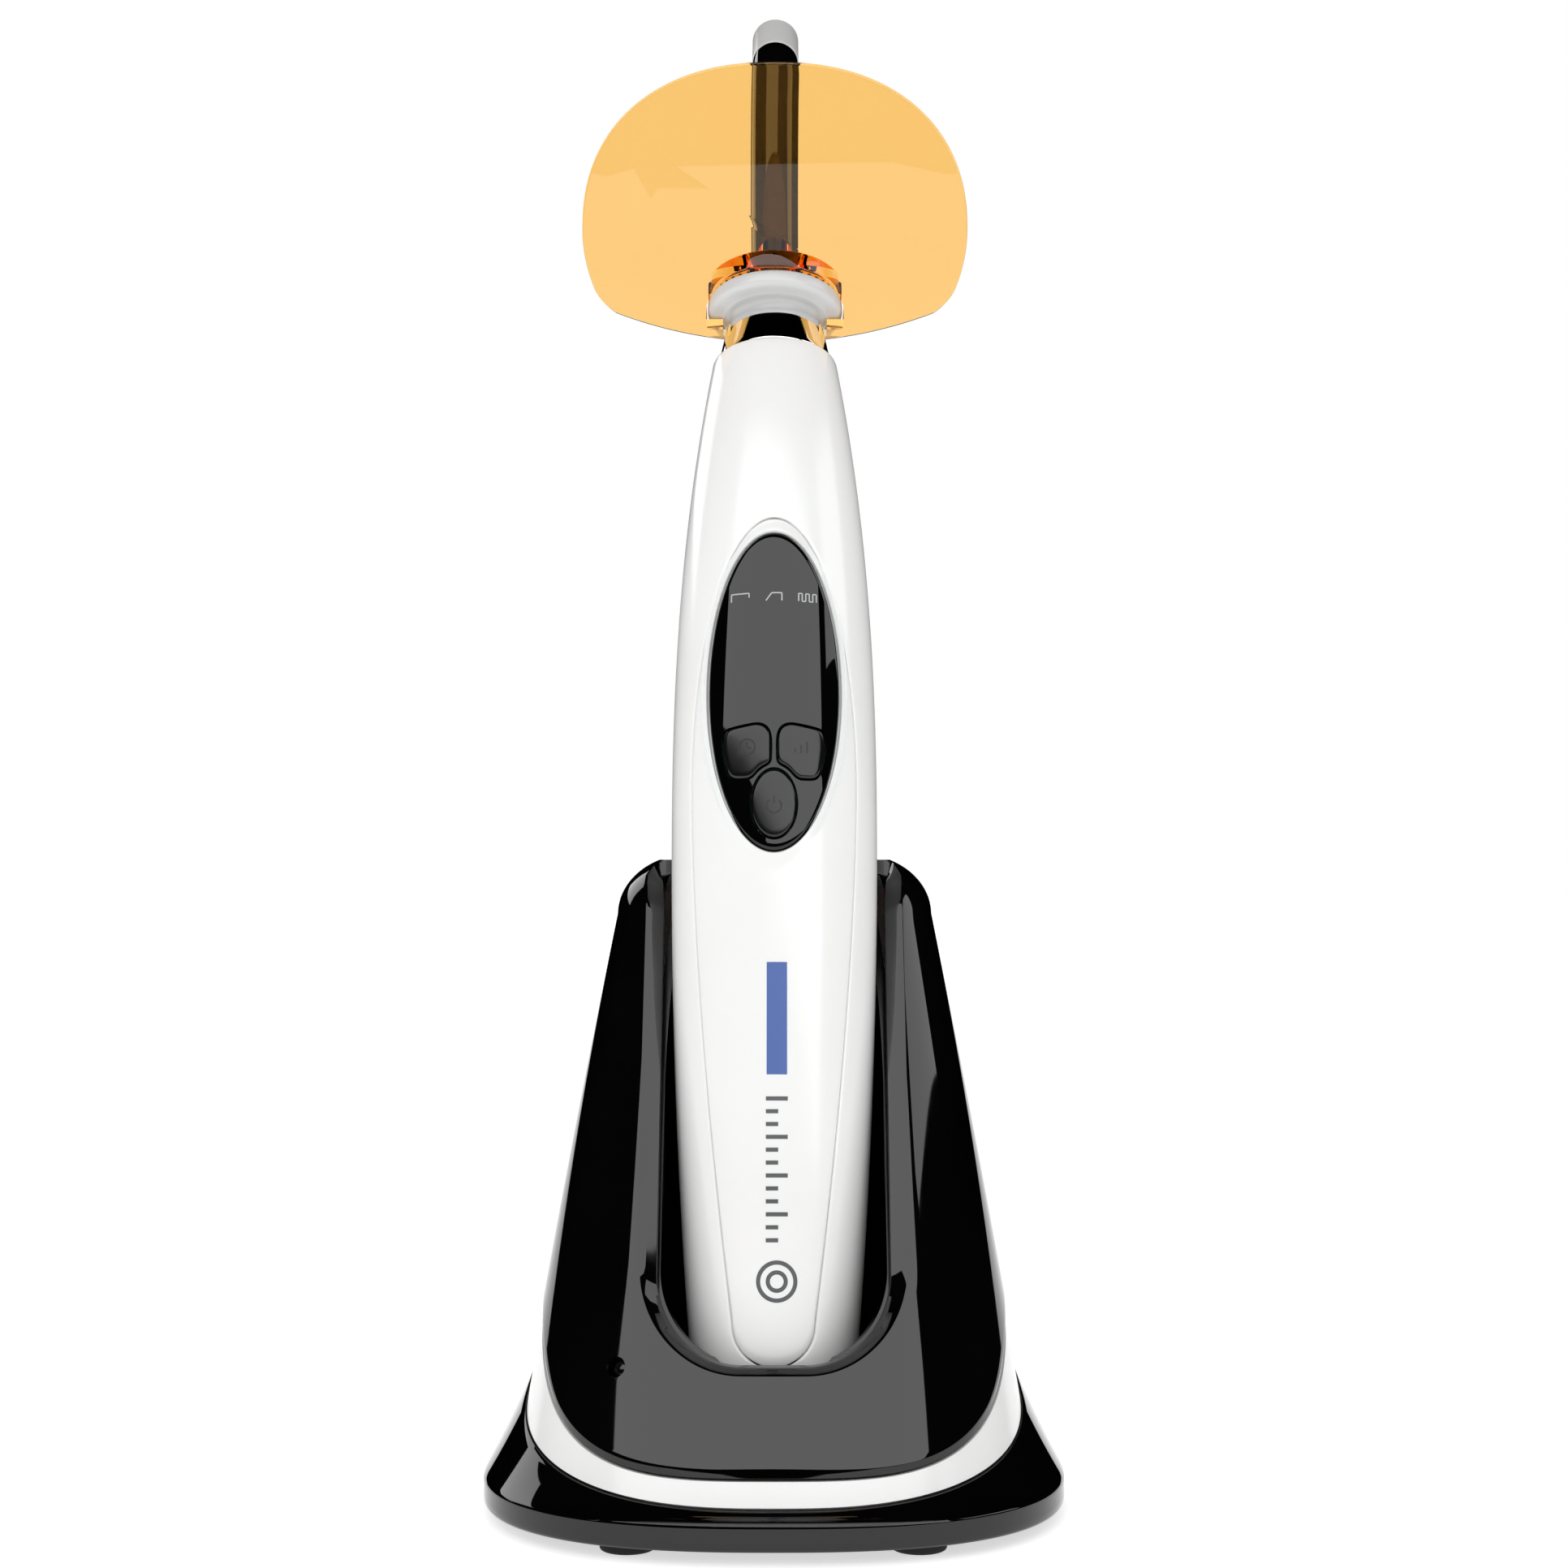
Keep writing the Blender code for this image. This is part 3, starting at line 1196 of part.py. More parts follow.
def centre_on_origin(root):
    """Moves the model so that the origin is the bottom centre of its box."""
    graph = bpy.context.evaluated_depsgraph_get()
    points = []
    for item in bpy.data.objects:
        if item.type in ("MESH", "CURVE") and not item.hide_render:
            evaluated = item.evaluated_get(graph)
            mesh = evaluated.to_mesh()
            found = np.empty(len(mesh.vertices) * 3, np.float32)
            mesh.vertices.foreach_get("co", found)
            evaluated.to_mesh_clear()
            world = np.array(evaluated.matrix_world)
            points.append(found.reshape(-1, 3) @ world[:3, :3].T + world[:3, 3])
    points = np.concatenate(points)
    low, high = points.min(axis=0), points.max(axis=0)
    middle = (low + high) / 2
    root.location = (-float(middle[0]), -float(middle[1]), -float(low[2]))
    bpy.context.view_layer.update()


def main():
    clear_scene()
    finish = finishes()
    root = frame("curing_light")
    handpiece = frame("handpiece_axis", root, (0.0, TAIL_Y, TAIL_Z), HANDPIECE_LEAN)
    offset, _ = body_centre(BODY_LENGTH)
    rim = (0.0, offset, BODY_LENGTH)
    head = frame("head_axis", handpiece, rim, HEAD_LEAN)
    seal = frame("seal_axis", head)
    guide = frame("light_guide_axis", seal)
    shield = frame("shield_axis", guide)
    build_base(root, handpiece, finish)
    build_shells(handpiece, finish)
    build_electronics(handpiece, finish)
    build_tail(handpiece, finish)
    build_head(head, finish)
    build_light_guide(guide, seal, finish)
    build_shield(shield, finish)
    centre_on_origin(root)


main()
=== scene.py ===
"""Looks of a dental curing light standing in its charging base.

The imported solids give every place. The classes below repeat the design's sizes and skin each
casing finely: base, handpiece, head, light guide and amber shield. Metres, +Z up, front -Y.
"""

import functools
import json
import logging
import math
from collections.abc import Callable, Iterable, Sequence
from dataclasses import dataclass, field
from enum import Enum

import bmesh
import bpy
import numpy as np
from mathutils import Matrix, Vector


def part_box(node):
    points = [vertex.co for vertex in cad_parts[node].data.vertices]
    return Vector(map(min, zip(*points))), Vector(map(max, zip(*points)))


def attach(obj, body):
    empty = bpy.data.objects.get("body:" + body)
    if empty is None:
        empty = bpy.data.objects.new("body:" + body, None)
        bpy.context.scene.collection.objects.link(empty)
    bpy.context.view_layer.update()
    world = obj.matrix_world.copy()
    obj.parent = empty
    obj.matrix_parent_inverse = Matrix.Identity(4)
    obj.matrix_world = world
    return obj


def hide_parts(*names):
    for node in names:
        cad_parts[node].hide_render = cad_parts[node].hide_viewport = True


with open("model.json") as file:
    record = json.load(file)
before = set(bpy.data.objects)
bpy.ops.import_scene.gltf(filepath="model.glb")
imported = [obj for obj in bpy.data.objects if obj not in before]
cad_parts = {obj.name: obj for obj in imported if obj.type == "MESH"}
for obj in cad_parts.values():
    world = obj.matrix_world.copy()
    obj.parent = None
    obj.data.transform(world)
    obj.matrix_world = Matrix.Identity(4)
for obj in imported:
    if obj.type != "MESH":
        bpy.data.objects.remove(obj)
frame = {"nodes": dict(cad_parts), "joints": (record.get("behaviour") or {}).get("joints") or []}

LOG = logging.getLogger("curing_light")
GAP = 0.0003
MERGE = 2e-6
AROUND = 128

Point = tuple[float, float]
Row = list[Vector]


class Slot(Enum):
    """The record's material slots."""

    WHITE = "white_abs"
    BLACK = "black_gloss_abs"
    DARK = "dark_abs"
    STEEL = "plated_steel"
    CHROME = "chrome"
    ALUMINIUM = "aluminium"
    GOLD = "gold_contact"
    RUBBER = "rubber"
    BOARD = "circuit_board"
    CERAMIC = "white_ceramic"
    PHOSPHOR = "led_phosphor"
    SLEEVE = "battery_sleeve"
    CLEAR = "clear_acrylic"
    FIBRE = "fibre_glass"
    ROD = "black_rod"
    AMBER = "amber_acrylic"


class Body(Enum):
    """The CAD bodies that pieces ride on."""

    BASE = "base"
    HANDPIECE = "handpiece"
    SEAL = "guide_seal"
    GUIDE = "light_guide"
    SHIELD = "light_shield"


# --- Materials ------------------------------------------------------------------------------


def linear(hex_colour: str) -> tuple[float, float, float, float]:
    """Turns an sRGB colour into linear RGBA.

    Args:
        hex_colour: the colour as rrggbb.

    Returns:
        Linear red, green, blue and an alpha of 1.
    """
    channels = [int(hex_colour[i : i + 2], 16) / 255 for i in (0, 2, 4)]
    red, green, blue = (c / 12.92 if c <= 0.04045 else ((c + 0.055) / 1.055) ** 2.4 for c in channels)
    return red, green, blue, 1.0


def add_node(tree: bpy.types.NodeTree, kind: str, inputs: dict | None = None, **settings) -> bpy.types.Node:
    """Adds a node with its settings, values and links.

    Args:
        tree: the tree it joins.
        kind: the node's type.
        inputs: by input name or number, a value to set or a socket to link from.
        settings: the node's own properties.

    Returns:
        The new node.
    """
    made = tree.nodes.new(kind)
    for key, value in settings.items():
        setattr(made, key, value)
    for key, value in (inputs or {}).items():
        if isinstance(value, bpy.types.NodeSocket):
            tree.links.new(value, made.inputs[key])
        else:
            made.inputs[key].default_value = value
    return made


class Grain(Enum):
    """How a finish's surface was made, as the texture that shows it."""

    POLISHED = "polished"
    SPARK_ERODED = "spark eroded"
    TURNED = "turned"
    WOVEN = "woven"
    FIBRES = "fibres"


@dataclass(frozen=True)
class Finish:
    """One real material: its colour pair, shine, surface grain and what light does inside it.

    The second colour is the shade that handling and moulding give it here and there.
    """

    name: str
    colour: str
    shade: str
    roughness: float
    spread: float = 0.03
    metallic: float = 0.0
    ior: float = 1.5
    coat: float = 0.0
    grain: Grain = Grain.POLISHED
    grain_mm: float = 3.0
    relief_mm: float = 0.002
    patch_mm: float = 18.0
    transmission: float = 0.0
    subsurface: float = 0.0
    absorption: str = ""
    absorption_density: float = 0.0

    def texture(self, tree: bpy.types.NodeTree, place: bpy.types.NodeSocket) -> bpy.types.NodeSocket:
        """The grain as a height from 0 to 1.

        Args:
            tree: the material's tree.
            place: the object coordinates.

        Returns:
            The socket that carries the height.
        """
        scale = 1000.0 / self.grain_mm
        if self.grain is Grain.TURNED:
            rings = {"Vector": place, "Scale": scale / 6.3, "Distortion": 0.4, "Detail": 1.0}
            return add_node(tree, "ShaderNodeTexWave", rings, bands_direction="Z").outputs["Fac"]
        if self.grain is Grain.WOVEN:
            weave = {"Vector": place, "Scale": scale}
            return add_node(tree, "ShaderNodeTexChecker", weave).outputs["Fac"]
        if self.grain is Grain.FIBRES:
            cells = {"Vector": place, "Scale": scale}
            return add_node(tree, "ShaderNodeTexVoronoi", cells).outputs["Distance"]
        detail = 4.0 if self.grain is Grain.SPARK_ERODED else 1.0
        noise = {"Vector": place, "Scale": scale, "Detail": detail, "Roughness": 0.55}
        return add_node(tree, "ShaderNodeTexNoise", noise).outputs["Fac"]

    @functools.cache
    def material(self) -> bpy.types.Material:
        """Builds the finish, or returns the one already built.

        Returns:
            The material.
        """
        made = bpy.data.materials.new(self.name)
        made.use_nodes = True
        tree = made.node_tree
        shader = tree.nodes["Principled BSDF"]
        place = add_node(tree, "ShaderNodeTexCoord").outputs["Object"]
        patches = {"Vector": place, "Scale": 1000.0 / self.patch_mm, "Detail": 3.0}
        patch = add_node(tree, "ShaderNodeTexNoise", patches).outputs["Fac"]
        ramp = add_node(tree, "ShaderNodeValToRGB", {"Fac": patch})
        ramp.color_ramp.elements[0].position = 0.3
        ramp.color_ramp.elements[1].position = 0.7
        ramp.color_ramp.elements[0].color = linear(self.shade)
        ramp.color_ramp.elements[1].color = linear(self.colour)
        tree.links.new(ramp.outputs["Color"], shader.inputs["Base Color"])
        limits = {
            "Value": patch,
            "From Min": 0.3,
            "From Max": 0.7,
            "To Min": max(0.0, self.roughness - self.spread),
            "To Max": self.roughness + self.spread,
        }
        rough = add_node(tree, "ShaderNodeMapRange", limits)
        tree.links.new(rough.outputs["Result"], shader.inputs["Roughness"])
        if self.relief_mm:
            height = self.texture(tree, place)
            relief = {"Height": height, "Distance": self.relief_mm / 1000.0, "Strength": 1.0}
            bump = add_node(tree, "ShaderNodeBump", relief)
            tree.links.new(bump.outputs["Normal"], shader.inputs["Normal"])
        shader.inputs["Metallic"].default_value = self.metallic
        shader.inputs["Transmission Weight"].default_value = self.transmission
        if not self.metallic:
            shader.inputs["IOR"].default_value = self.ior
        shader.inputs["Coat Weight"].default_value = self.coat
        if self.subsurface:
            shader.inputs["Subsurface Weight"].default_value = self.subsurface
            shader.inputs["Subsurface Scale"].default_value = 0.001
        if self.absorption:
            volume = {"Color": linear(self.absorption), "Density": self.absorption_density}
            absorb = add_node(tree, "ShaderNodeVolumeAbsorption", volume)
            out = tree.nodes["Material Output"]
            tree.links.new(absorb.outputs["Volume"], out.inputs["Volume"])
        return made


# High-gloss ABS straight from a polished mould: a hard clear reflection over a clean white body.
WHITE_ABS = Finish(
    "polished_white_abs", "f4f4f3", "f1f1f0", 0.17, relief_mm=0.0008, grain_mm=2.6, subsurface=0.08
)
# The same moulding in black: almost no colour of its own, so it shows the room it stands in.
BLACK_ABS = Finish(
    "polished_black_abs", "050506", "030304", 0.035, 0.015, relief_mm=0.0005, grain_mm=3.4, ior=1.52
)
# Screen-printed black acrylic: the smoothest face on the object.
WINDOW = Finish("black_printed_acrylic", "040405", "030304", 0.02, 0.01, relief_mm=0.0003, grain_mm=5.0)
# Silicone rubber keys with a polished top, softer in their shine than the window round them.
KEY_RUBBER = Finish("gloss_silicone_key", "0b0b0c", "080809", 0.14, relief_mm=0.0008, grain_mm=0.9)
# Spark-eroded ABS inside the cradle and under the foot: a fine even pebble that kills the shine.
DARK_ABS = Finish(
    "spark_eroded_black_abs", "1a1a1c", "131315", 0.38, 0.06,
    grain=Grain.SPARK_ERODED, grain_mm=0.35, relief_mm=0.012,
)
# The cradle is polished too, but the handpiece has dulled it a little.
CRADLE = Finish("worn_black_abs", "060607", "040405", 0.12, 0.05, relief_mm=0.001, grain_mm=1.8)
# Bright chrome plate on a turned ring: the faint circles of the lathe stay under the plate.
CHROME = Finish(
    "chrome_plate", "f1f2f3", "e6e8ea", 0.06, 0.02,
    metallic=1.0, grain=Grain.TURNED, grain_mm=0.3, relief_mm=0.0006,
)
# Zinc plate on pressed steel: a grey metal whose shine is broken by fine tool lines.
STEEL = Finish(
    "zinc_plated_steel", "c3c6ca", "a9adb2", 0.3, 0.06,
    metallic=1.0, grain=Grain.TURNED, grain_mm=0.25, relief_mm=0.002,
)
# Bare turned aluminium of the heat sink: paler than the steel, with wider tool lines.
ALUMINIUM = Finish(
    "turned_aluminium", "cfd2d5", "bfc3c7", 0.34, 0.05,
    metallic=1.0, grain=Grain.TURNED, grain_mm=0.4, relief_mm=0.003,
)
# Hard gold on the contacts: warm and bright, a little worn where the pins rub.
GOLD = Finish("hard_gold_plate", "e3c071", "d2ab58", 0.2, 0.05, metallic=1.0, grain_mm=0.5, relief_mm=0.001)
# Moulded nitrile rubber: dull, with a fine pebble.
RUBBER = Finish(
    "nitrile_rubber", "1b1b1d", "141416", 0.72, 0.06, grain=Grain.SPARK_ERODED, grain_mm=0.5, relief_mm=0.02
)
# Glass-epoxy board: the glass cloth shows as a small square weave under the green resist.
BOARD = Finish(
    "glass_epoxy_board", "1f6a40", "195533", 0.42, 0.08, grain=Grain.WOVEN, grain_mm=0.6, relief_mm=0.01
)
# Sintered alumina under the emitter: a dull chalky white with a fine grain.
CERAMIC = Finish("sintered_alumina", "ebe9e2", "e0ddd4", 0.5, 0.08, grain=Grain.SPARK_ERODED, grain_mm=0.2)
# Silicone filled with phosphor: an opaque yellow with a soft skin.
PHOSPHOR = Finish("phosphor_silicone", "dcc950", "cdb83f", 0.35, 0.05, grain_mm=0.6)
# Shrink film round the cell: a tight glossy blue skin with slow ripples.
SLEEVE = Finish("shrink_film_sleeve", "2c4f9e", "244489", 0.25, 0.08, grain_mm=1.5, relief_mm=0.01, coat=0.4)
# The indicator's lens: near black and opaque, though its part is clear acrylic; shiny only when it catches a
# light.
NEAR_BLACK_LENS = Finish("near_black_indicator_lens", "0c0c0e", "08080a", 0.08, 0.02, relief_mm=0.0)
# Clear cast acrylic of the small collimating lens.
CLEAR = Finish(
    "clear_cast_acrylic", "f2f6f7", "ecf2f4", 0.03, 0.02, transmission=1.0, ior=1.49, relief_mm=0.0
)
# Fused fibre bundle: the polished end shows its packed cells.
FIBRE = Finish(
    "fused_fibre_bundle", "d9dcd6", "c6cbc5", 0.12, 0.04,
    transmission=0.6, ior=1.52, grain=Grain.FIBRES, grain_mm=0.25,
)
# The rod's cladding is black glass, fire polished.
ROD_GLASS = Finish(
    "black_clad_glass", "060606", "040404", 0.03, 0.01, ior=1.52, relief_mm=0.0002, grain_mm=4.0
)
# White polysulfone of the ferrule and tip, which withstands steam: clean, a little softer in shine. Its
# colour is painted light grey rather than white: painted shade for the ferrule's flange and steps, which the
# tip shares.
WHITE_POLYMER_PAINTED_SHADE = Finish("white_polysulfone_painted_shade", "d0d0d0", "cacac9", 0.26, 0.04, grain_mm=1.2, relief_mm=0.001)
# Cast amber acrylic that stops blue light: colour lies in its depth, so thick places are browner.
AMBER = Finish(
    "cast_amber_acrylic",
    "fee0a2",
    "fede9e",
    0.015,
    0.01,
    transmission=1.0,
    ior=1.49,
    relief_mm=0.0,
    absorption="fdd61f",
    absorption_density=230.0,
)
# Pad-printed inks: thin, slightly duller than the plastic under them.
BLUE_INK = Finish("blue_pad_ink", "4a66a9", "4460a2", 0.4, 0.05, grain_mm=0.5, relief_mm=0.003)
GREY_INK = Finish("grey_pad_ink", "58595b", "525355", 0.42, 0.05, grain_mm=0.5, relief_mm=0.003)
ICON_INK = Finish("light_grey_pad_ink", "b9babc", "adaeb0", 0.4, 0.05, grain_mm=0.5, relief_mm=0.002)
KEY_INK = Finish("dark_pad_ink", "1d1d1f", "18181a", 0.45, 0.05, grain_mm=0.5, relief_mm=0.002)


# --- Mesh tools -----------------------------------------------------------------------------


def skin(rows: Sequence[Sequence[Vector]], around: bool = False, along: bool = False) -> bmesh.types.BMesh:
    """A quad skin over rows of points.

    Args:
        rows: rows of equal length.
        around: whether each row closes on itself.
        along: whether the last row joins the first.

    Returns:
        The mesh, its doubles merged.
    """
    shape = bmesh.new()
    grid = [[shape.verts.new(point) for point in row] for row in rows]
    pairs = list(zip(grid, grid[1:])) + ([(grid[-1], grid[0])] if along else [])
    for lower, upper in pairs:
        steps = range(len(lower) if around else len(lower) - 1)
        for i in steps:
            j = (i + 1) % len(lower)
            shape.faces.new((lower[i], lower[j], upper[j], upper[i]))
    bmesh.ops.remove_doubles(shape, verts=shape.verts, dist=MERGE)
    return shape


def loft(rows: Sequence[Sequence[Vector]]) -> bmesh.types.BMesh:
    """A closed skin through rings, with a cap on each end.

    Args:
        rows: the rings, of equal count.

    Returns:
        The mesh.
    """
    shape = bmesh.new()
    grid = [[shape.verts.new(point) for point in row] for row in rows]
    for lower, upper in zip(grid, grid[1:]):
        for i, corner in enumerate(lower):
            j = (i + 1) % len(lower)
            shape.faces.new((corner, lower[j], upper[j], upper[i]))
    shape.faces.new(list(reversed(grid[0])))
    shape.faces.new(grid[-1])
    return shape


def ring(outline: Iterable[Point], place: Callable[[float, float], Vector]) -> Row:
    """An outline's points, each put in space by a rule."""
    return [place(a, b) for a, b in outline]


def placed(rows: Iterable[Row], place: Callable[[Vector], Vector]) -> list[Row]:
    """Rows of design points, each put in the row frame."""
    return [[place(point) for point in row] for row in rows]


def flipped(rows: Iterable[Row]) -> list[Row]:
    """Rows of points on the other side of the middle plane."""
    return [[Vector((-p.x, p.y, p.z)) for p in row] for row in rows]


def turned(profile: Sequence[Point], matrix: Matrix, count: int = AROUND) -> bmesh.types.BMesh:
    """Turns a profile about an axis.

    Args:
        profile: points of (radius, height). It ends on the axis or closes on itself.
        matrix: the axis's frame.
        count: steps round the axis.

    Returns:
        The mesh, in the row frame.
    """
    solid = profile[0][0] == 0 and profile[-1][0] == 0
    angles = [2 * math.pi * k / count for k in range(count)]
    rows = [[matrix @ Vector((r * math.cos(a), r * math.sin(a), z)) for a in angles] for r, z in profile]
    return skin(rows, around=True, along=not solid)


def eased(start: Sequence[float], control: Sequence[float], end: Sequence[float], share: float) -> tuple:
    """A place on the curve that leaves start and reaches end towards its control point."""
    rest = 1 - share
    return tuple(rest**2 * a + 2 * share * rest * b + share**2 * c for a, b, c in zip(start, control, end))


def rounded(corners: Sequence[Point], radius: float, steps: int = 4) -> list[Point]:
    """A profile with its inner corners rounded.

    Args:
        corners: the profile's points, whose first and last stay sharp.
        radius: the largest rounding, cut down where an edge is short.
        steps: steps in each rounding.

    Returns:
        The rounded profile.
    """
    made = [corners[0]]
    for before, corner, after in zip(corners, corners[1:], corners[2:]):
        sides = [math.dist(corner, before), math.dist(corner, after)]
        reach = [min(radius, side * 0.45) / side for side in sides]
        start, end = (
            [c + (o - c) * r for c, o in zip(corner, other)] for other, r in zip((before, after), reach)
        )
        for k in range(steps + 1):
            t = k / steps
            made.append(eased(start, corner, end, t))
    return [*made, corners[-1]]


def bulged(value: float, power: float) -> float:
    """One coordinate of a superellipse, from the cosine or the sine of its angle."""
    return math.copysign(abs(value) ** (2 / power), value)


def oval(
    half_x: float, half_y: float, centre_y: float = 0.0, power: float = 2.0, count: int = AROUND
) -> list[Point]:
    """A superellipse's points, starting on +X.

    Args:
        half_x: half its width.
        half_y: half its height.
        centre_y: height of its middle.
        power: its superellipse power.
        count: how many points.

    Returns:
        The points.
    """
    angles = [2 * math.pi * k / count for k in range(count)]
    return [
        (half_x * bulged(math.cos(a), power), centre_y + half_y * bulged(math.sin(a), power)) for a in angles
    ]


def spaced(points: Sequence[Point], count: int) -> list[Point]:
    """The same line with evenly spaced points.

    Args:
        points: a line of any spacing.
        count: how many points to return.

    Returns:
        The new points, which include both ends.
    """
    line = np.array(points, float)
    marks = np.concatenate([[0.0], np.cumsum(np.linalg.norm(np.diff(line, axis=0), axis=1))])
    wanted = np.linspace(0.0, marks[-1], count)
    return [tuple(pair) for pair in np.stack([np.interp(wanted, marks, line[:, i]) for i in (0, 1)], axis=1)]


def smooth_step(value: float, low: float, high: float) -> float:
    """0 below low, 1 above high, and an easy slope between."""
    share = min(1.0, max(0.0, (value - low) / (high - low)))
    return share * share * (3 - 2 * share)


def bisect(inside: Callable[[float], bool], low: float, high: float, steps: int = 26) -> float:
    """The value between low, where inside is true, and high, where it isn't, at which it changes.

    Args:
        inside: the test.
        low: a value where the test is true.
        high: a value where the test is false.
        steps: how often the range is halved.

    Returns:
        The value.
    """
    for _ in range(steps):
        middle = (low + high) / 2
        low, high = (middle, high) if inside(middle) else (low, middle)
    return (low + high) / 2


def mirrored(half: Sequence[Point]) -> list[Point]:
    """A right half, listed from top to bottom, with its mirror image added."""
    return list(half) + [(-x, z) for x, z in reversed(half) if abs(x) > 1e-6]


def helper(name: str, shape: bmesh.types.BMesh) -> bpy.types.Object:
    """An object that only shapes others, to be removed after use.

    Args:
        name: the object's name.
        shape: the mesh, which is used up.

    Returns:
        The object.
    """
    bmesh.ops.recalc_face_normals(shape, faces=shape.faces)
    mesh = bpy.data.meshes.new(name)
    shape.to_mesh(mesh)
    shape.free()
    made = bpy.data.objects.new(name, mesh)
    bpy.context.scene.collection.objects.link(made)
    return made


def apply_modifiers(target: bpy.types.Object) -> None:
    """Turns an object's modifiers into its mesh.

    Args:
        target: the object.
    """
    graph = bpy.context.evaluated_depsgraph_get()
    graph.update()
    mesh = bpy.data.meshes.new_from_object(target.evaluated_get(graph))
    target.modifiers.clear()
    target.data = mesh


def boolean(target: bpy.types.Object, operation: str, *others: bpy.types.Object) -> bpy.types.Object:
    """Cuts or joins helpers with an object at once, and removes them.

    Args:
        target: the object that changes.
        operation: DIFFERENCE, UNION or INTERSECT.
        others: the helpers.

    Returns:
        The target.
    """
    for other in others:
        modifier = target.modifiers.new(other.name, "BOOLEAN")
        modifier.operation = operation
        modifier.solver = "EXACT"
        modifier.object = other
    bpy.context.view_layer.update()
    apply_modifiers(target)
    for other in others:
        bpy.data.objects.remove(other, do_unlink=True)
    return target


def thicken(target: bpy.types.Object, wall: float) -> bpy.types.Object:
    """Gives a skin a wall on its inner side.

    Args:
        target: the object that changes.
        wall: how thick the wall becomes.

    Returns:
        The target.
    """
    modifier = target.modifiers.new("wall", "SOLIDIFY")
    modifier.thickness = wall
    modifier.offset = -1.0
    modifier.use_even_offset = False
    bpy.context.view_layer.update()
    apply_modifiers(target)
    return target


def outward(shape: bmesh.types.BMesh, centre: Vector) -> bmesh.types.BMesh:
    """Turns an open skin's faces away from a point inside it.

    Args:
        shape: the skin.
        centre: a point inside the skin.

    Returns:
        The same skin.
    """
    bmesh.ops.recalc_face_normals(shape, faces=shape.faces)
    shape.normal_update()
    facing = sum((f.calc_center_median() - centre).dot(f.normal) * f.calc_area() for f in shape.faces)
    if facing < 0:
        bmesh.ops.reverse_faces(shape, faces=shape.faces)
    return shape


def dress(
    target: bpy.types.Object,
    finish: Finish,
    body: Body | str,
    slot: Slot,
    *nodes: str,
    sharp: float = 38.0,
) -> bpy.types.Object:
    """Finishes a piece and ties it to the frame.

    Args:
        target: the piece, in place.
        finish: its material.
        body: the CAD body that it rides on.
        slot: the record's material slot; not used.
        nodes: the CAD nodes that it stands for.
        sharp: the angle in degrees from which an edge stays crisp.

    Returns:
        The piece.
    """
    target.data.materials.clear()
    target.data.materials.append(finish.material())
    target.data.shade_smooth()
    target.data.set_sharp_from_angle(angle=math.radians(sharp))
    if nodes:
        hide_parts(*nodes)
    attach(target, body.value if isinstance(body, Body) else body)
    LOG.info("%s: %d faces, on %s", target.name, len(target.data.polygons), body)
    return target


def axis_of(joint_name: str) -> Vector:
    """A joint's axis from the record."""
    joint = next(j for j in frame["joints"] if j["name"] == joint_name)
    return Vector(joint["axis"]).normalized()


def middle_of(node: str) -> Vector:
    """The middle of a CAD node's box."""
    low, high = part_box(node)
    return (low + high) / 2


# --- Geometry nodes -------------------------------------------------------------------------


@dataclass
class NodeShape:
    """A Geometry Nodes tree with named sizes, turned into a plain mesh."""

    name: str
    sizes: dict[str, float | int]
    tree: bpy.types.NodeTree = field(init=False)
    group: bpy.types.Node = field(init=False)

    def __post_init__(self) -> None:
        """Makes the tree's inputs and output."""
        self.tree = bpy.data.node_groups.new(self.name, "GeometryNodeTree")
        sockets = self.tree.interface
        sockets.new_socket("Geometry", in_out="INPUT", socket_type="NodeSocketGeometry")
        for size, value in self.sizes.items():
            kind = "NodeSocketInt" if isinstance(value, int) else "NodeSocketFloat"
            sockets.new_socket(size, in_out="INPUT", socket_type=kind)
        sockets.new_socket("Geometry", in_out="OUTPUT", socket_type="NodeSocketGeometry")
        self.group = add_node(self.tree, "NodeGroupInput")

    def size(self, name: str) -> bpy.types.NodeSocket:
        """The socket of a named size."""
        return self.group.outputs[name]

    def made(
        self, geometry: bpy.types.NodeSocket, finish: Finish, carrier: bpy.types.Mesh
    ) -> bpy.types.Object:
        """Ends the tree and evaluates it on a carrier mesh.

        Args:
            geometry: the tree's last geometry.
            finish: the material it is given.
            carrier: the mesh that the tree starts from.

        Returns:
            An object with a plain mesh.
        """
        real = add_node(self.tree, "GeometryNodeRealizeInstances", {"Geometry": geometry})
        paint = {"Geometry": real.outputs[0], "Material": finish.material()}
        painted = add_node(self.tree, "GeometryNodeSetMaterial", paint)
        add_node(self.tree, "NodeGroupOutput", {0: painted.outputs[0]})
        target = bpy.data.objects.new(self.name, carrier)
        bpy.context.scene.collection.objects.link(target)
        modifier = target.modifiers.new(self.name, "NODES")
        modifier.node_group = self.tree
        for item in self.tree.interface.items_tree:
            if item.in_out == "INPUT" and item.name in self.sizes:
                modifier[item.identifier] = self.sizes[item.name]
        bpy.context.view_layer.update()
        apply_modifiers(target)
        return target


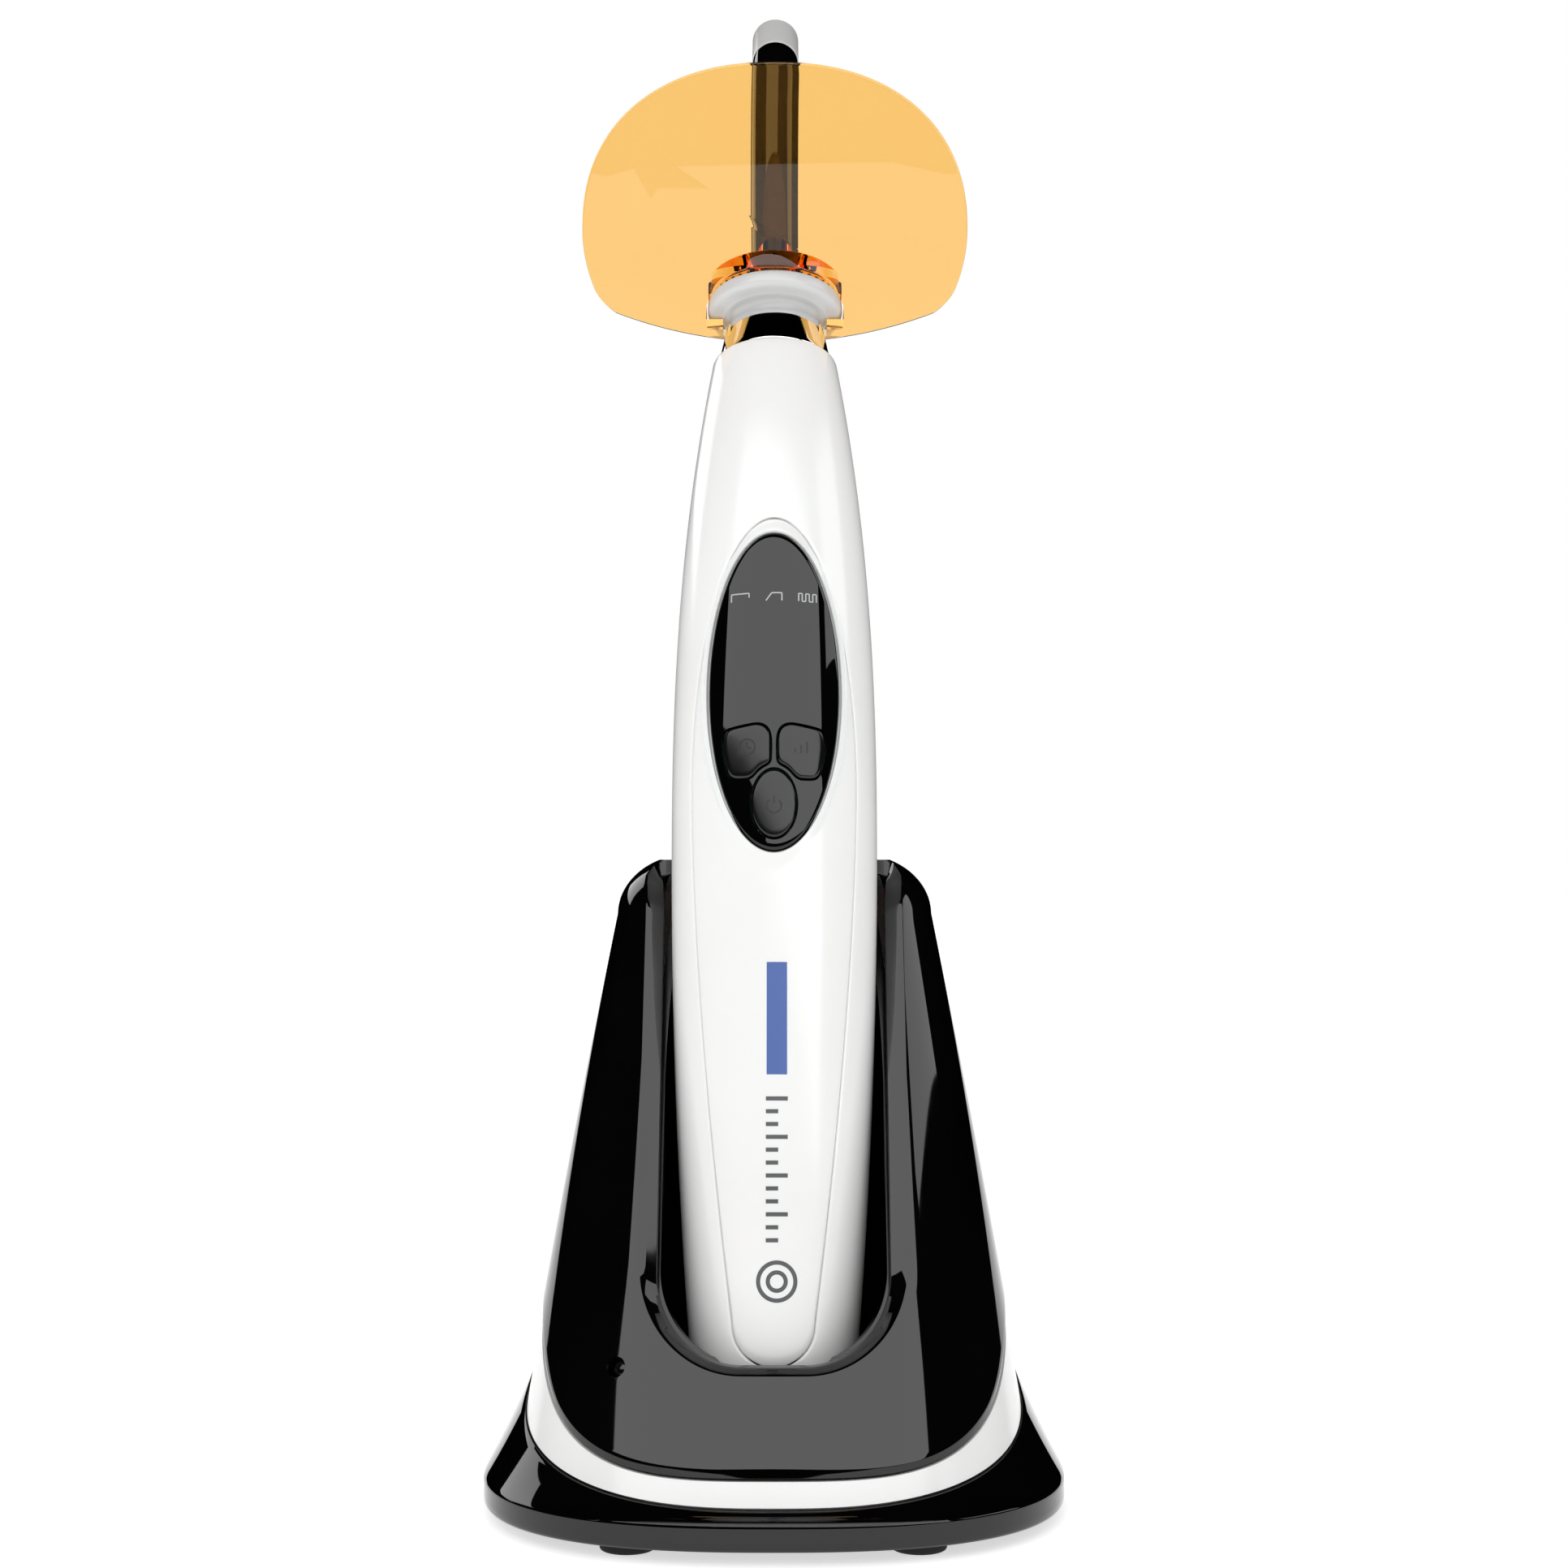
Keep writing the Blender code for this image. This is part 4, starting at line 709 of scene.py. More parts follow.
def radial_ribs(name: str, sizes: dict[str, float | int], finish: Finish, matrix: Matrix) -> bpy.types.Object:
    """A ring of straight ribs that point outwards.

    Args:
        name: the piece's name.
        sizes: Count, Radius, Length, Width and Height, in metres.
        finish: the ribs' material.
        matrix: the ring's frame, with its axis on Z.

    Returns:
        The ribs as one object in the row frame.
    """
    shape = NodeShape(name, sizes)
    tree = shape.tree
    around = {"Vertices": shape.size("Count"), "Radius": shape.size("Radius")}
    circle = add_node(tree, "GeometryNodeMeshCircle", around)
    dimensions = {"X": shape.size("Length"), "Y": shape.size("Width"), "Z": shape.size("Height")}
    size = add_node(tree, "ShaderNodeCombineXYZ", dimensions)
    rib = add_node(tree, "GeometryNodeMeshCube", {"Size": size.outputs[0]})
    place = add_node(tree, "GeometryNodeInputPosition")
    out = {"Vector": place.outputs[0]}
    turn = add_node(tree, "FunctionNodeAlignRotationToVector", out, axis="X", pivot_axis="Z")
    spread = {"Points": circle.outputs[0], "Instance": rib.outputs["Mesh"], "Rotation": turn.outputs[0]}
    ribs = add_node(tree, "GeometryNodeInstanceOnPoints", spread)
    moved = add_node(tree, "GeometryNodeTransform", {"Geometry": ribs.outputs[0]})
    made = shape.made(moved.outputs[0], finish, bpy.data.meshes.new(name))
    made.data.transform(matrix)
    return made


def cross_screws(name: str, places: Sequence[Vector], sizes: dict[str, float | int]) -> bpy.types.Object:
    """Flat-headed screws with a crossed recess, one at each place, their heads facing down.

    Args:
        name: the piece's name.
        places: the middle of each head's face.
        sizes: Head, Shaft, Depth, Slot length and Slot width, in metres.

    Returns:
        The screws as one object in the row frame.
    """
    carrier = bpy.data.meshes.new(name)
    carrier.from_pydata([tuple(p) for p in places], [], [])
    shape = NodeShape(name, sizes)
    tree = shape.tree
    whole = []
    for radius, depth in (("Head", 0.25), ("Shaft", 1.0)):
        length = add_node(tree, "ShaderNodeMath", {0: shape.size("Depth"), 1: depth}, operation="MULTIPLY")
        half = add_node(tree, "ShaderNodeMath", {0: length.outputs[0], 1: 0.5}, operation="MULTIPLY")
        lift = add_node(tree, "ShaderNodeCombineXYZ", {"Z": half.outputs[0]})
        sides = {"Vertices": 32, "Radius": shape.size(radius), "Depth": length.outputs[0]}
        barrel = add_node(tree, "GeometryNodeMeshCylinder", sides)
        raised = {"Geometry": barrel.outputs["Mesh"], "Translation": lift.outputs[0]}
        whole.append(add_node(tree, "GeometryNodeTransform", raised).outputs[0])
    blades = []
    for across, along in (("Slot length", "Slot width"), ("Slot width", "Slot length")):
        extent = {"X": shape.size(across), "Y": shape.size(along), "Z": shape.size("Slot width")}
        block = add_node(tree, "ShaderNodeCombineXYZ", extent)
        blades.append(add_node(tree, "GeometryNodeMeshCube", {"Size": block.outputs[0]}).outputs["Mesh"])
    cut = add_node(tree, "GeometryNodeMeshBoolean", operation="DIFFERENCE", solver="EXACT")
    union = add_node(tree, "GeometryNodeMeshBoolean", operation="UNION", solver="EXACT")
    for part in whole:
        tree.links.new(part, union.inputs["Mesh 2"])
    tree.links.new(union.outputs["Mesh"], cut.inputs["Mesh 1"])
    for blade in blades:
        tree.links.new(blade, cut.inputs["Mesh 2"])
    spread = {"Points": shape.group.outputs["Geometry"], "Instance": cut.outputs["Mesh"]}
    screws = add_node(tree, "GeometryNodeInstanceOnPoints", spread)
    return shape.made(screws.outputs[0], STEEL, carrier)


# --- Charging base --------------------------------------------------------------------------


@dataclass
class Tower:
    """The base's tower: a leaning superellipse that narrows upwards and rounds over at the top."""

    shift: float
    half: float = 0.0400
    taper: float = 0.176
    bulge: float = 0.0005
    power: float = 2.6
    shoulder: float = 0.0890
    rise: float = 0.0090
    shoulder_side: float = 0.0110
    shoulder_depth: float = 0.0045
    lip_height: float = 0.0250
    lip_front: float = 0.0200
    lean: float = 0.385
    foot_curve: float = 4.3
    back: float = 0.0450
    back_taper: float = 0.09
    seam_height: float = 0.0147
    seam_slope: float = 0.275

    @property
    def top(self) -> float:
        """Height of the flat top."""
        return self.shoulder + self.rise

    def section(self, height: float, grow: float) -> tuple[float, float, float]:
        """Half-width, front and back at a height, moved out by grow.

        Args:
            height: height above the floor.
            grow: how far out of the surface.

        Returns:
            The three sizes.
        """
        level = min(height, self.shoulder)
        half = self.half - self.taper * level + self.bulge * math.sin(math.pi * level / self.top)
        below = max(0.0, self.lip_height - height)
        front = -self.lip_front + (height - self.lip_height) * self.lean - self.foot_curve * below**2
        back = self.back - self.back_taper * height
        over = max(0.0, height - self.shoulder) / (self.rise + grow)
        inset = 1 - math.sqrt(max(0.0, 1 - over**2))
        depth_inset = inset * (self.shoulder_depth + grow)
        half_now = half + grow - inset * (self.shoulder_side + grow)
        return half_now, front - grow + depth_inset, back + grow - depth_inset

    def point(self, angle: float, height: float, grow: float = 0.0) -> Vector:
        """A surface point. Angle -90 degrees is the front's middle.

        Args:
            angle: angle round the tower.
            height: height above the floor or the tail.
            grow: how far out of the surface.

        Returns:
            The point.
        """
        half, front, back = self.section(height, grow)
        x = half * bulged(math.cos(angle), self.power)
        y = (front + back) / 2 + (back - front) / 2 * bulged(math.sin(angle), self.power)
        return Vector((x, y, height))

    def seam(self, angle: float, grow: float = 0.0) -> float:
        """Height at which the sloping seam crosses the surface.

        Args:
            angle: angle round the tower.
            grow: how far out of the surface.

        Returns:
            The height.
        """
        height = self.seam_height
        for _ in range(12):
            height = self.seam_height + self.seam_slope * self.point(angle, height, grow).y
        return height

    def angle_at_x(self, x: float, height: float) -> float:
        """Angle of the front surface at an x of 0 or more."""
        share = min(1.0, x / self.section(height, 0.0)[0])
        return -math.acos(share ** (self.power / 2))

    def angle_at_y(self, y: float, height: float) -> float:
        """Angle of the right side's surface at a depth.

        Args:
            y: depth, in the tower's own frame.
            height: height above the floor.

        Returns:
            The angle.
        """
        _, front, back = self.section(height, 0.0)
        share = (2 * y - front - back) / (back - front)
        return math.asin(max(-1.0, min(1.0, math.copysign(abs(share) ** (self.power / 2), share))))

    def place(self, point: Vector) -> Vector:
        """A design point in the row frame."""
        return Vector((point.x, point.y + self.shift, point.z))


@dataclass
class ChargingBase:
    """Foot, tower shell, black fascia, cradle liner and the small parts they carry."""

    tower: Tower
    cradle: Matrix
    foot_half: float = 0.0437
    foot_front: float = 0.0320
    foot_back: float = 0.0460
    foot_power: float = 2.5
    foot_underside: float = 0.0020
    foot_band: float = 0.0056
    foot_wall: float = 0.0022
    foot_step: float = 0.0004
    fascia_half: float = 0.0350
    fascia_widest: float = 0.0400
    fascia_bottom: float = 0.0107
    fascia_power: float = 4.0
    fascia_proud: float = 0.0005
    fascia_wall: float = 0.0019
    fascia_side: float = 0.0090
    fascia_side_lean: float = 0.145
    fascia_bevel: float = 0.0016
    slot_half: float = 0.0167
    slot_bottom: float = 0.0248
    slot_corner: float = 0.0120
    slot_chamfer: float = 0.0027
    lip_chamfer: float = 0.0009
    chamfer_depth: float = 0.0024
    pocket_front: float = 0.014175
    pocket_back: float = 0.0176
    tail_clearance: float = 0.0012
    liner_wall: float = 0.0014
    tail_y: float = -0.0036
    tail_z: float = 0.0180
    handpiece_lean: float = math.radians(10.0)
    indicator_x: float = -0.0223
    indicator_height: float = 0.0244
    indicator_radius: float = 0.0012
    slot_straight: float = 0.0450
    slot_top: float = 0.1400
    trim_room: float = 0.0080
    inlet_rounding: float = 0.0007
    pin_radius: float = 0.0010
    shell_thickness: float = 0.0016

    # Foot

    def foot_ring(self, grow: float, height: float) -> Row:
        """The foot's outline at a height, moved out by grow.

        Args:
            grow: how far out of the surface.
            height: height above the floor.

        Returns:
            The ring.
        """
        middle, reach = (self.foot_back - self.foot_front) / 2, (self.foot_back + self.foot_front) / 2
        outline = oval(self.foot_half + grow, reach + grow, middle, self.foot_power, 2 * AROUND)
        return ring(outline, lambda x, y: Vector((x, y, height)))

    def seam_ring(self, grow: float, lift: float = 0.0) -> Row:
        """The tower's outline at the sloping seam.

        Args:
            grow: how far out of the surface.
            lift: how far it is raised.

        Returns:
            The ring.
        """
        points = []
        for k in range(2 * AROUND):
            angle = 2 * math.pi * k / (2 * AROUND)
            point = self.tower.point(angle, self.tower.seam(angle, grow), grow)
            points.append(point + Vector((0.0, 0.0, lift)))
        return points

    def foot(self) -> None:
        """The flared black foot with its crisp band, and the window for the power inlet."""
        band, step = self.foot_band, self.foot_step
        seam = self.seam_ring(step)
        edge = self.foot_ring(0.0, band)

        def slope(share: float, grow: float = 0.0, sink: float = 0.0) -> Row:
            """The sloping top of the foot at a share of the way from its band to the seam.

            Args:
                share: how far along it, from 0 to 1.
                grow: how far out of the surface.
                sink: how far the slope dips in its middle.

            Returns:
                The row.
            """
            rows = (self.foot_ring(grow, band), self.seam_ring(step + grow)) if grow else (edge, seam)
            hollow = sink * 4 * share * (1 - share)
            return [a.lerp(b, share) - Vector((0.0, 0.0, hollow)) for a, b in zip(*rows)]

        dip = 0.0003
        edge_profile = ((-0.0010, 0.0), (-0.0006, 0.0), (-0.0002, 0.0001), (0.0, 0.0005))
        rows = [self.foot_ring(grow, self.foot_underside + up) for grow, up in edge_profile]
        rows += [self.foot_ring(0.0, z) for z in (0.0034, 0.0045, band - 0.0005, band - 0.0002)]
        rows += [self.foot_ring(-0.00008, band + 0.00002), slope(0.05, sink=dip)]
        rows += [slope(share, sink=dip) for share in (0.1, 0.2, 0.35, 0.5, 0.65, 0.8, 0.92, 0.98)]
        rows += [self.seam_ring(step - 0.0002, 0.00005), self.seam_ring(step - 0.0005, -0.0001)]
        rows += [self.seam_ring(-self.foot_wall, -0.0010)]
        rows += [slope(share, -self.foot_wall, dip) for share in (0.7, 0.3, 0.0)]
        rows += [self.foot_ring(-self.foot_wall, self.foot_underside)]
        shape = skin(placed(rows, self.tower.place), around=True, along=True)
        low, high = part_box("dc_inlet")
        grown = Vector((GAP, 0.01, GAP))
        window = rounded_box(low - grown, high + grown, 0.0009, 1)
        made = boolean(helper("flared_foot", shape), "DIFFERENCE", helper("inlet_window", window))
        dress(made, BLACK_ABS, Body.BASE, Slot.BLACK, "base_foot", sharp=50.0)

    # Fascia

    def slot_line(self, half: float, bottom: float, corner: float) -> list[Point]:
        """Right half of the cradle's U below the level where the sides are straight.

        Args:
            half: half-width of the opening.
            bottom: height of its lowest point.
            corner: its corner radius.

        Returns:
            The points, from the top down.
        """
        centre = (half - corner, bottom + corner)
        start = [(half, self.slot_straight + (centre[1] - self.slot_straight) * k / 6) for k in range(6)]
        turns = [math.radians(-90 * k / 40) for k in range(41)]
        curve = [(centre[0] + corner * math.cos(a), centre[1] + corner * math.sin(a)) for a in turns]
        return start + curve + [(centre[0] * (1 - k / 14), bottom) for k in range(1, 15)]

    def outer_x(self, height: float) -> float:
        """Half-width of the fascia's lower end at a height below its widest."""
        drop = (self.fascia_widest - height) / (self.fascia_widest - self.fascia_bottom)
        return self.fascia_half * max(0.0, 1 - drop**self.fascia_power) ** (1 / self.fascia_power)

    def rear_edge(self, height: float, grow: float = 0.0) -> float:
        """Depth of the fascia's rear edge at a height."""
        return self.fascia_side + self.fascia_side_lean * height + grow

    def corner_height(self) -> float:
        """Height at which the rear edge turns into the lower end."""
        return bisect(lambda z: self.outer_x(z) >= self.tower.section(z, 0.0)[0], self.fascia_widest, 0.02)

    def lower_edge(self, grow: float, count: int) -> list[Point]:
        """Angle and height of the lower end, from the side to the front's middle, moved out by grow.

        Args:
            grow: how far out of the surface.
            count: how many points.

        Returns:
            The edge.
        """
        corner = self.corner_height()
        drop = (self.fascia_widest - corner) / (self.fascia_widest - self.fascia_bottom)
        first = math.asin(min(1.0, drop ** (self.fascia_power / 2)))
        points = []
        for k in range(count):
            turn = first + (math.pi / 2 - first) * k / (count - 1)
            depth = self.fascia_widest - self.fascia_bottom + grow
            z = self.fascia_widest - depth * bulged(math.sin(turn), self.fascia_power)
            x = (self.fascia_half + grow) * bulged(max(0.0, math.cos(turn)), self.fascia_power)
            points.append((self.tower.angle_at_x(x, z), z))
        points[-1] = (-math.pi / 2, points[-1][1])
        return points

    def side_levels(self) -> list[float]:
        """Heights from the ear's tip down to where the cradle's corner begins to matter.

        Returns:
            The heights.
        """
        shoulder, rise = self.tower.shoulder, self.tower.rise
        tip = bisect(lambda z: self.tower.section(z, 0.0)[0] > self.slot_half, shoulder, self.tower.top)
        over = math.asin((tip - shoulder) / rise)
        curve = [shoulder + rise * math.sin(over * (1 - (k / 26) ** 2)) for k in range(27)]
        straight = [shoulder + (self.slot_straight - shoulder) * k / 36 for k in range(1, 36)]
        return curve + straight

    def fascia_lines(self) -> tuple[list[Point], list[Point], list[Point]]:
        """Slot edge, chamfer edge and outer edge as (angle, height), from the ear's tip to the middle.

        Returns:
            The three lines.
        """
        inner, wide, outer = [], [], []
        for z in self.side_levels():
            half = self.tower.section(z, 0.0)[0]
            chamfer = min(self.slot_chamfer, 0.55 * (half - self.slot_half))
            rear = self.tower.angle_at_y(self.rear_edge(z), z)
            inner.append((min(rear, self.tower.angle_at_x(self.slot_half, z)), z))
            wide.append((min(rear, self.tower.angle_at_x(self.slot_half + chamfer, z)), z))
            outer.append((rear, z))
        narrow = self.slot_line(self.slot_half, self.slot_bottom, self.slot_corner)
        wide_half, wide_corner = self.slot_half + self.slot_chamfer, self.slot_corner + self.slot_chamfer
        broad = self.slot_line(wide_half, self.slot_bottom - self.lip_chamfer, wide_corner)
        inner += [(self.tower.angle_at_x(x, z), z) for x, z in narrow]
        wide += [(self.tower.angle_at_x(x, z), z) for x, z in broad]
        corner = self.corner_height()
        rear = [self.slot_straight + (corner - self.slot_straight) * k / 20 for k in range(21)]
        rear_line = [(self.tower.angle_at_y(self.rear_edge(z), z), z) for z in rear]
        low_line = rear_line + self.lower_edge(0.0, 120)[1:]
        scaled = spaced([(a * 0.035, z) for a, z in low_line], len(narrow))
        outer += [(a / 0.035, z) for a, z in scaled]
        return inner, wide, outer

    def inward(self, angle: float, height: float) -> Vector:
        """Direction into the slot's wall: straight back on the face, and down on the ears' tops.

        Args:
            angle: angle round the tower.
            height: height above the floor.

        Returns:
            A unit vector.
        """
        step = 1e-4
        point = self.tower.point
        along = point(angle + step, height) - point(angle - step, height)
        up = point(angle, height + step) - point(angle, height - step)
        normal = along.cross(up).normalized()
        normal = normal if normal.dot(Vector((0.0, -1.0, 0.3))) > 0 or normal.z > 0 else -normal
        share = smooth_step(height, 0.080, 0.094)
        blended = Vector((0.0, normal.y, normal.z)) * share + Vector((0.0, -1.0, 0.0)) * (1 - share)
        return -blended.normalized()

    def fascia_section(self, inner: Point, wide: Point, outer: Point) -> Row:
        """Points across the fascia's strip, from the slot's wall over the face to the outer edge.

        Args:
            inner: angle and height on the slot edge.
            wide: angle and height on the chamfer edge.
            outer: angle and height on the outer edge.

        Returns:
            One closed row of points.
        """
        proud = self.fascia_proud
        surface = self.tower.point
        into = self.inward(*inner)
        lip = surface(*inner, proud)
        width = (surface(*wide, proud) - lip).length / self.slot_chamfer
        base = lip + into * self.chamfer_depth * min(1.0, width + 0.15)
        edge = surface(*wide, proud)
        face = []
        lengths = (surface(*outer, proud) - edge).length
        bevel = min(0.9, self.fascia_bevel / max(lengths, 1e-6))
        fine = min(0.2, 0.00022 / max(lengths, 1e-6))
        shares = [fine] + [fine + (1 - bevel - fine) * k / 22 for k in range(1, 23)]
        for share in shares:
            spot = tuple(a + (b - a) * share for a, b in zip(wide, outer))
            face.append(surface(*spot, proud))
        chamfer = [base.lerp(edge, t) for t in (0.06, 0.3, 0.6, 0.94)]
        nose = edge.lerp(face[0], 0.45) * 0.5 + chamfer[-1].lerp(edge, 0.45) * 0.5
        slope = []
        for t in (0.12, 0.5, 0.9):
            share = 1 - bevel * (1 - t)
            spot = tuple(a + (b - a) * share for a, b in zip(wide, outer))
            slope.append(surface(*spot, proud * (1 - t**1.15)))
        end = surface(*outer, -0.0001)
        deep = surface(*outer, -self.fascia_wall)
        under = [base + into * 0.0003]
        hidden = [tuple(a + (b - a) * share for a, b in zip(inner, outer)) for share in (0.66, 0.33, 0.0)]
        hidden_points = [surface(*spot, -self.fascia_wall) for spot in hidden]
        hidden_points[-1] = lip + into * (self.chamfer_depth + 0.0006)
        return under + chamfer + [nose] + face + slope + [end, deep] + hidden_points

    def fascia(self) -> None:
        """The high-gloss black face with its chamfered U and bevelled lower edge."""
        lines = list(zip(*self.fascia_lines()))
        half = [self.fascia_section(*spots) for spots in lines]
        rows = placed(half + flipped(half[-2::-1]), self.tower.place)
        shape = skin(rows, around=True)
        for row in (rows[0], rows[-1]):
            corners = [shape.verts.new(p) for p in row]
            shape.faces.new(corners)
        bmesh.ops.remove_doubles(shape, verts=shape.verts, dist=MERGE)
        made = helper("gloss_fascia", shape)
        hole = drill(self.indicator_radius + GAP, -0.012, 0.01)
        boolean(made, "DIFFERENCE", helper("indicator_hole", turned(hole, self.indicator_frame(), 48)))
        dress(made, BLACK_ABS, Body.BASE, Slot.BLACK, "front_fascia", sharp=32.0)

    def indicator_frame(self) -> Matrix:
        """A frame at the indicator, with +Z out of the fascia.

        Returns:
            The frame.
        """
        angle = -math.pi - self.tower.angle_at_x(-self.indicator_x, self.indicator_height)
        point, step = self.tower.point, 1e-3
        spot = point(angle, self.indicator_height, self.fascia_proud)
        along = point(angle + step, self.indicator_height) - point(angle - step, self.indicator_height)
        up = point(angle, self.indicator_height + step) - point(angle, self.indicator_height - step)
        normal = along.cross(up).normalized()
        normal = -normal if normal.y > 0 else normal
        turn = normal.to_track_quat("Z", "Y").to_matrix().to_4x4()
        return Matrix.Translation(self.tower.place(spot)) @ turn

    def indicator(self) -> None:
        """The small domed lens at the bottom of its hole."""
        radius = self.indicator_radius
        turns = [math.radians(a) for a in range(0, 90, 12)]
        dome = [(radius * math.sin(a), -0.0016 + 0.0004 * math.cos(a)) for a in turns]
        profile = [*dome, (radius, -0.0016), (radius, -0.0060), (0.0, -0.0060)]
        made = helper("indicator_window", turned(profile, self.indicator_frame(), 48))
        # The lens gets a near-black opaque finish in place of clear acrylic.
        dress(made, NEAR_BLACK_LENS, Body.BASE, Slot.CLEAR, "indicator_lens")

    # Shell

    def in_mouth(self, point: Vector, grow: float) -> bool:
        """Whether a design point lies inside the cradle's open space, moved out by grow.

        Args:
            point: a design point.
            grow: how far out of the surface.

        Returns:
            True where nothing may stand.
        """
        axis_y = self.tail_y + (point.z - self.tail_z) * math.tan(self.handpiece_lean)
        across = (point.y - axis_y) * math.cos(self.handpiece_lean)
        if across <= 0:
            return abs(point.x) < self.slot_half + grow
        share_x = point.x / (self.slot_half + grow)
        share_y = across / (self.pocket_back + grow)
        return share_x**2 + share_y**2 < 1

    def over_top(self, angle: float, way: float) -> Vector:
        """A point on the path up a side (way 0 to 1) and then inwards over the flat top (1 to 2).

        Args:
            angle: angle round the tower.
            way: how far along the path.

        Returns:
            The point.
        """
        if way <= 1:
            turn = way * math.pi / 2
            return self.tower.point(angle, self.tower.shoulder + self.tower.rise * math.sin(turn))
        edge = self.tower.point(angle, self.tower.top)
        _, front, back = self.tower.section(self.tower.top, 0.0)
        centre = Vector((0.0, (front + back) / 2, self.tower.top))
        return edge.lerp(centre, way - 1)

    def shell(self) -> None:
        """The white shell: round the back from one fascia edge to the other, and the band in front."""
        corner = self.corner_height()
        wall_gap = self.liner_wall + GAP
        columns = 150
        rows = []
        side_rows = 10
        shares = [k / side_rows for k in range(side_rows)]
        shares = [0.0, 0.02] + shares[1:]
        levels = [corner + (self.tower.shoulder - corner) * k / 46 for k in range(47)]
        start = [self.tower.angle_at_y(self.rear_edge(z, GAP), z) for z in levels]
        for share in shares:
            row = []
            for k in range(columns + 1):
                angle = start[0] + (math.pi - 2 * start[0]) * k / columns
                low = self.tower.seam(angle) + GAP
                row.append(self.tower.point(angle, low + (corner - low) * share))
            rows.append(row)
        for z, first in zip(levels, start):
            angles = [first + (math.pi - 2 * first) * k / columns for k in range(columns + 1)]
            rows.append([self.tower.point(a, z) for a in angles])
        first = start[-1]
        ends = []
        for k in range(columns + 1):
            angle = first + (math.pi - 2 * first) * k / columns

            def outside(way: float, angle: float = angle) -> bool:
                """Whether the path hasn't reached the cradle yet."""
                return not self.in_mouth(self.over_top(angle, way), wall_gap)

            ends.append(bisect(outside, 0.0, 2.0))
        for share in [k / 22 for k in range(1, 22)] + [0.985, 1.0]:
            row = []
            for k, end in enumerate(ends):
                angle = first + (math.pi - 2 * first) * k / columns
                row.append(self.over_top(angle, end * share))
            rows.append(row)
        drop = [p - Vector((0.0, 0.0, 0.0004)) for p in rows[-1]]
        rows.append([p - Vector((0.0, 0.0, 0.0012)) for p in drop])
        shape = skin(placed(rows, self.tower.place))
        self.front_band(shape, start[0], shares)
        bmesh.ops.remove_doubles(shape, verts=shape.verts, dist=MERGE)
        outward(shape, self.tower.place(Vector((0.0, 0.01, 0.05))))
        made = thicken(helper("tower_shell", shape), self.shell_thickness)
        dress(made, WHITE_ABS, Body.BASE, Slot.WHITE, "base_shell", sharp=50.0)

    def front_band(self, shape: bmesh.types.BMesh, first: float, shares: Sequence[float]) -> None:
        """Adds the white band between the seam and the fascia's lower end to the shell's skin.

        Args:
            shape: the shell's mesh so far.
            first: angle at which the rear part begins.
            shares: row heights as shares, the same as the rear part's.
        """
        edge = self.lower_edge(GAP, 90)
        edge[0] = (first, self.corner_height())
        half = []
        for angle, top in edge:
            low = self.tower.seam(angle) + GAP
            line = [self.tower.point(angle, low + (top - low) * share) for share in [*shares, 0.97, 1.0]]
            into = (Vector((0.0, 0.02, line[-1].z)) - line[-1]).normalized()
            half.append(line + [line[-1] + into * 0.0010])
        columns = half + flipped(half[-2::-1])
        grid = [[shape.verts.new(self.tower.place(p)) for p in line] for line in columns]
        for left, right in zip(grid, grid[1:]):
            for a in range(len(left) - 1):
                shape.faces.new((left[a], right[a], right[a + 1], left[a + 1]))

    # Cradle

    def pocket(self, grow: float, floor: float, ceiling: float) -> bmesh.types.BMesh:
        """The cradle's deep half oval as a solid square to the handpiece.

        Args:
            grow: how far out of the surface.
            floor: its lower end.
            ceiling: its upper end.

        Returns:
            The mesh.
        """
        outline = []
        for k in range(AROUND):
            angle = 2 * math.pi * (k + 0.5) / AROUND
            reach = (self.pocket_back if math.sin(angle) > 0 else self.pocket_front) + grow
            outline.append(((self.slot_half + grow) * math.cos(angle), reach * math.sin(angle)))
        ends = (floor, ceiling)
        return loft([ring(outline, lambda x, y, z=z: self.cradle @ Vector((x, y, z))) for z in ends])

    def mouth(self, grow: float) -> bmesh.types.BMesh:
        """The cradle's open front as a solid, from before the base back to the handpiece's axis.

        Args:
            grow: how far out of the surface.

        Returns:
            The mesh.
        """
        half, bottom, corner = self.slot_half + grow, self.slot_bottom - grow, self.slot_corner + grow
        turns = [math.radians(-90 * k / 32) for k in range(33)]
        side = [(half - corner + corner * math.cos(a), bottom + corner + corner * math.sin(a)) for a in turns]
        outline = mirrored([(half, self.slot_top - grow), *side, (0.0, bottom)])

        def back(x: float, z: float) -> Vector:
            """A place on the handpiece's axis plane."""
            depth = self.tail_y + (z - self.tail_z) * math.tan(self.handpiece_lean)
            return self.tower.place(Vector((x, depth, z)))

        front = ring(outline, lambda x, z: self.tower.place(Vector((x, grow - 0.1, z))))
        return loft([front, ring(outline, back)])

    def tower_solid(self, grow: float) -> bmesh.types.BMesh:
        """The tower as one closed solid.

        Args:
            grow: how far out of the surface.

        Returns:
            The mesh.
        """
        shoulder, rise = self.tower.shoulder, self.tower.rise + grow
        levels = [-0.006 + (shoulder + 0.006) * k / 24 for k in range(25)]
        levels += [shoulder + rise * math.sin(math.radians(a)) for a in range(8, 90, 8)]
        angles = [2 * math.pi * (k + 0.5) / AROUND for k in range(AROUND)]
        return loft([[self.tower.place(self.tower.point(a, z, grow)) for a in angles] for z in levels])

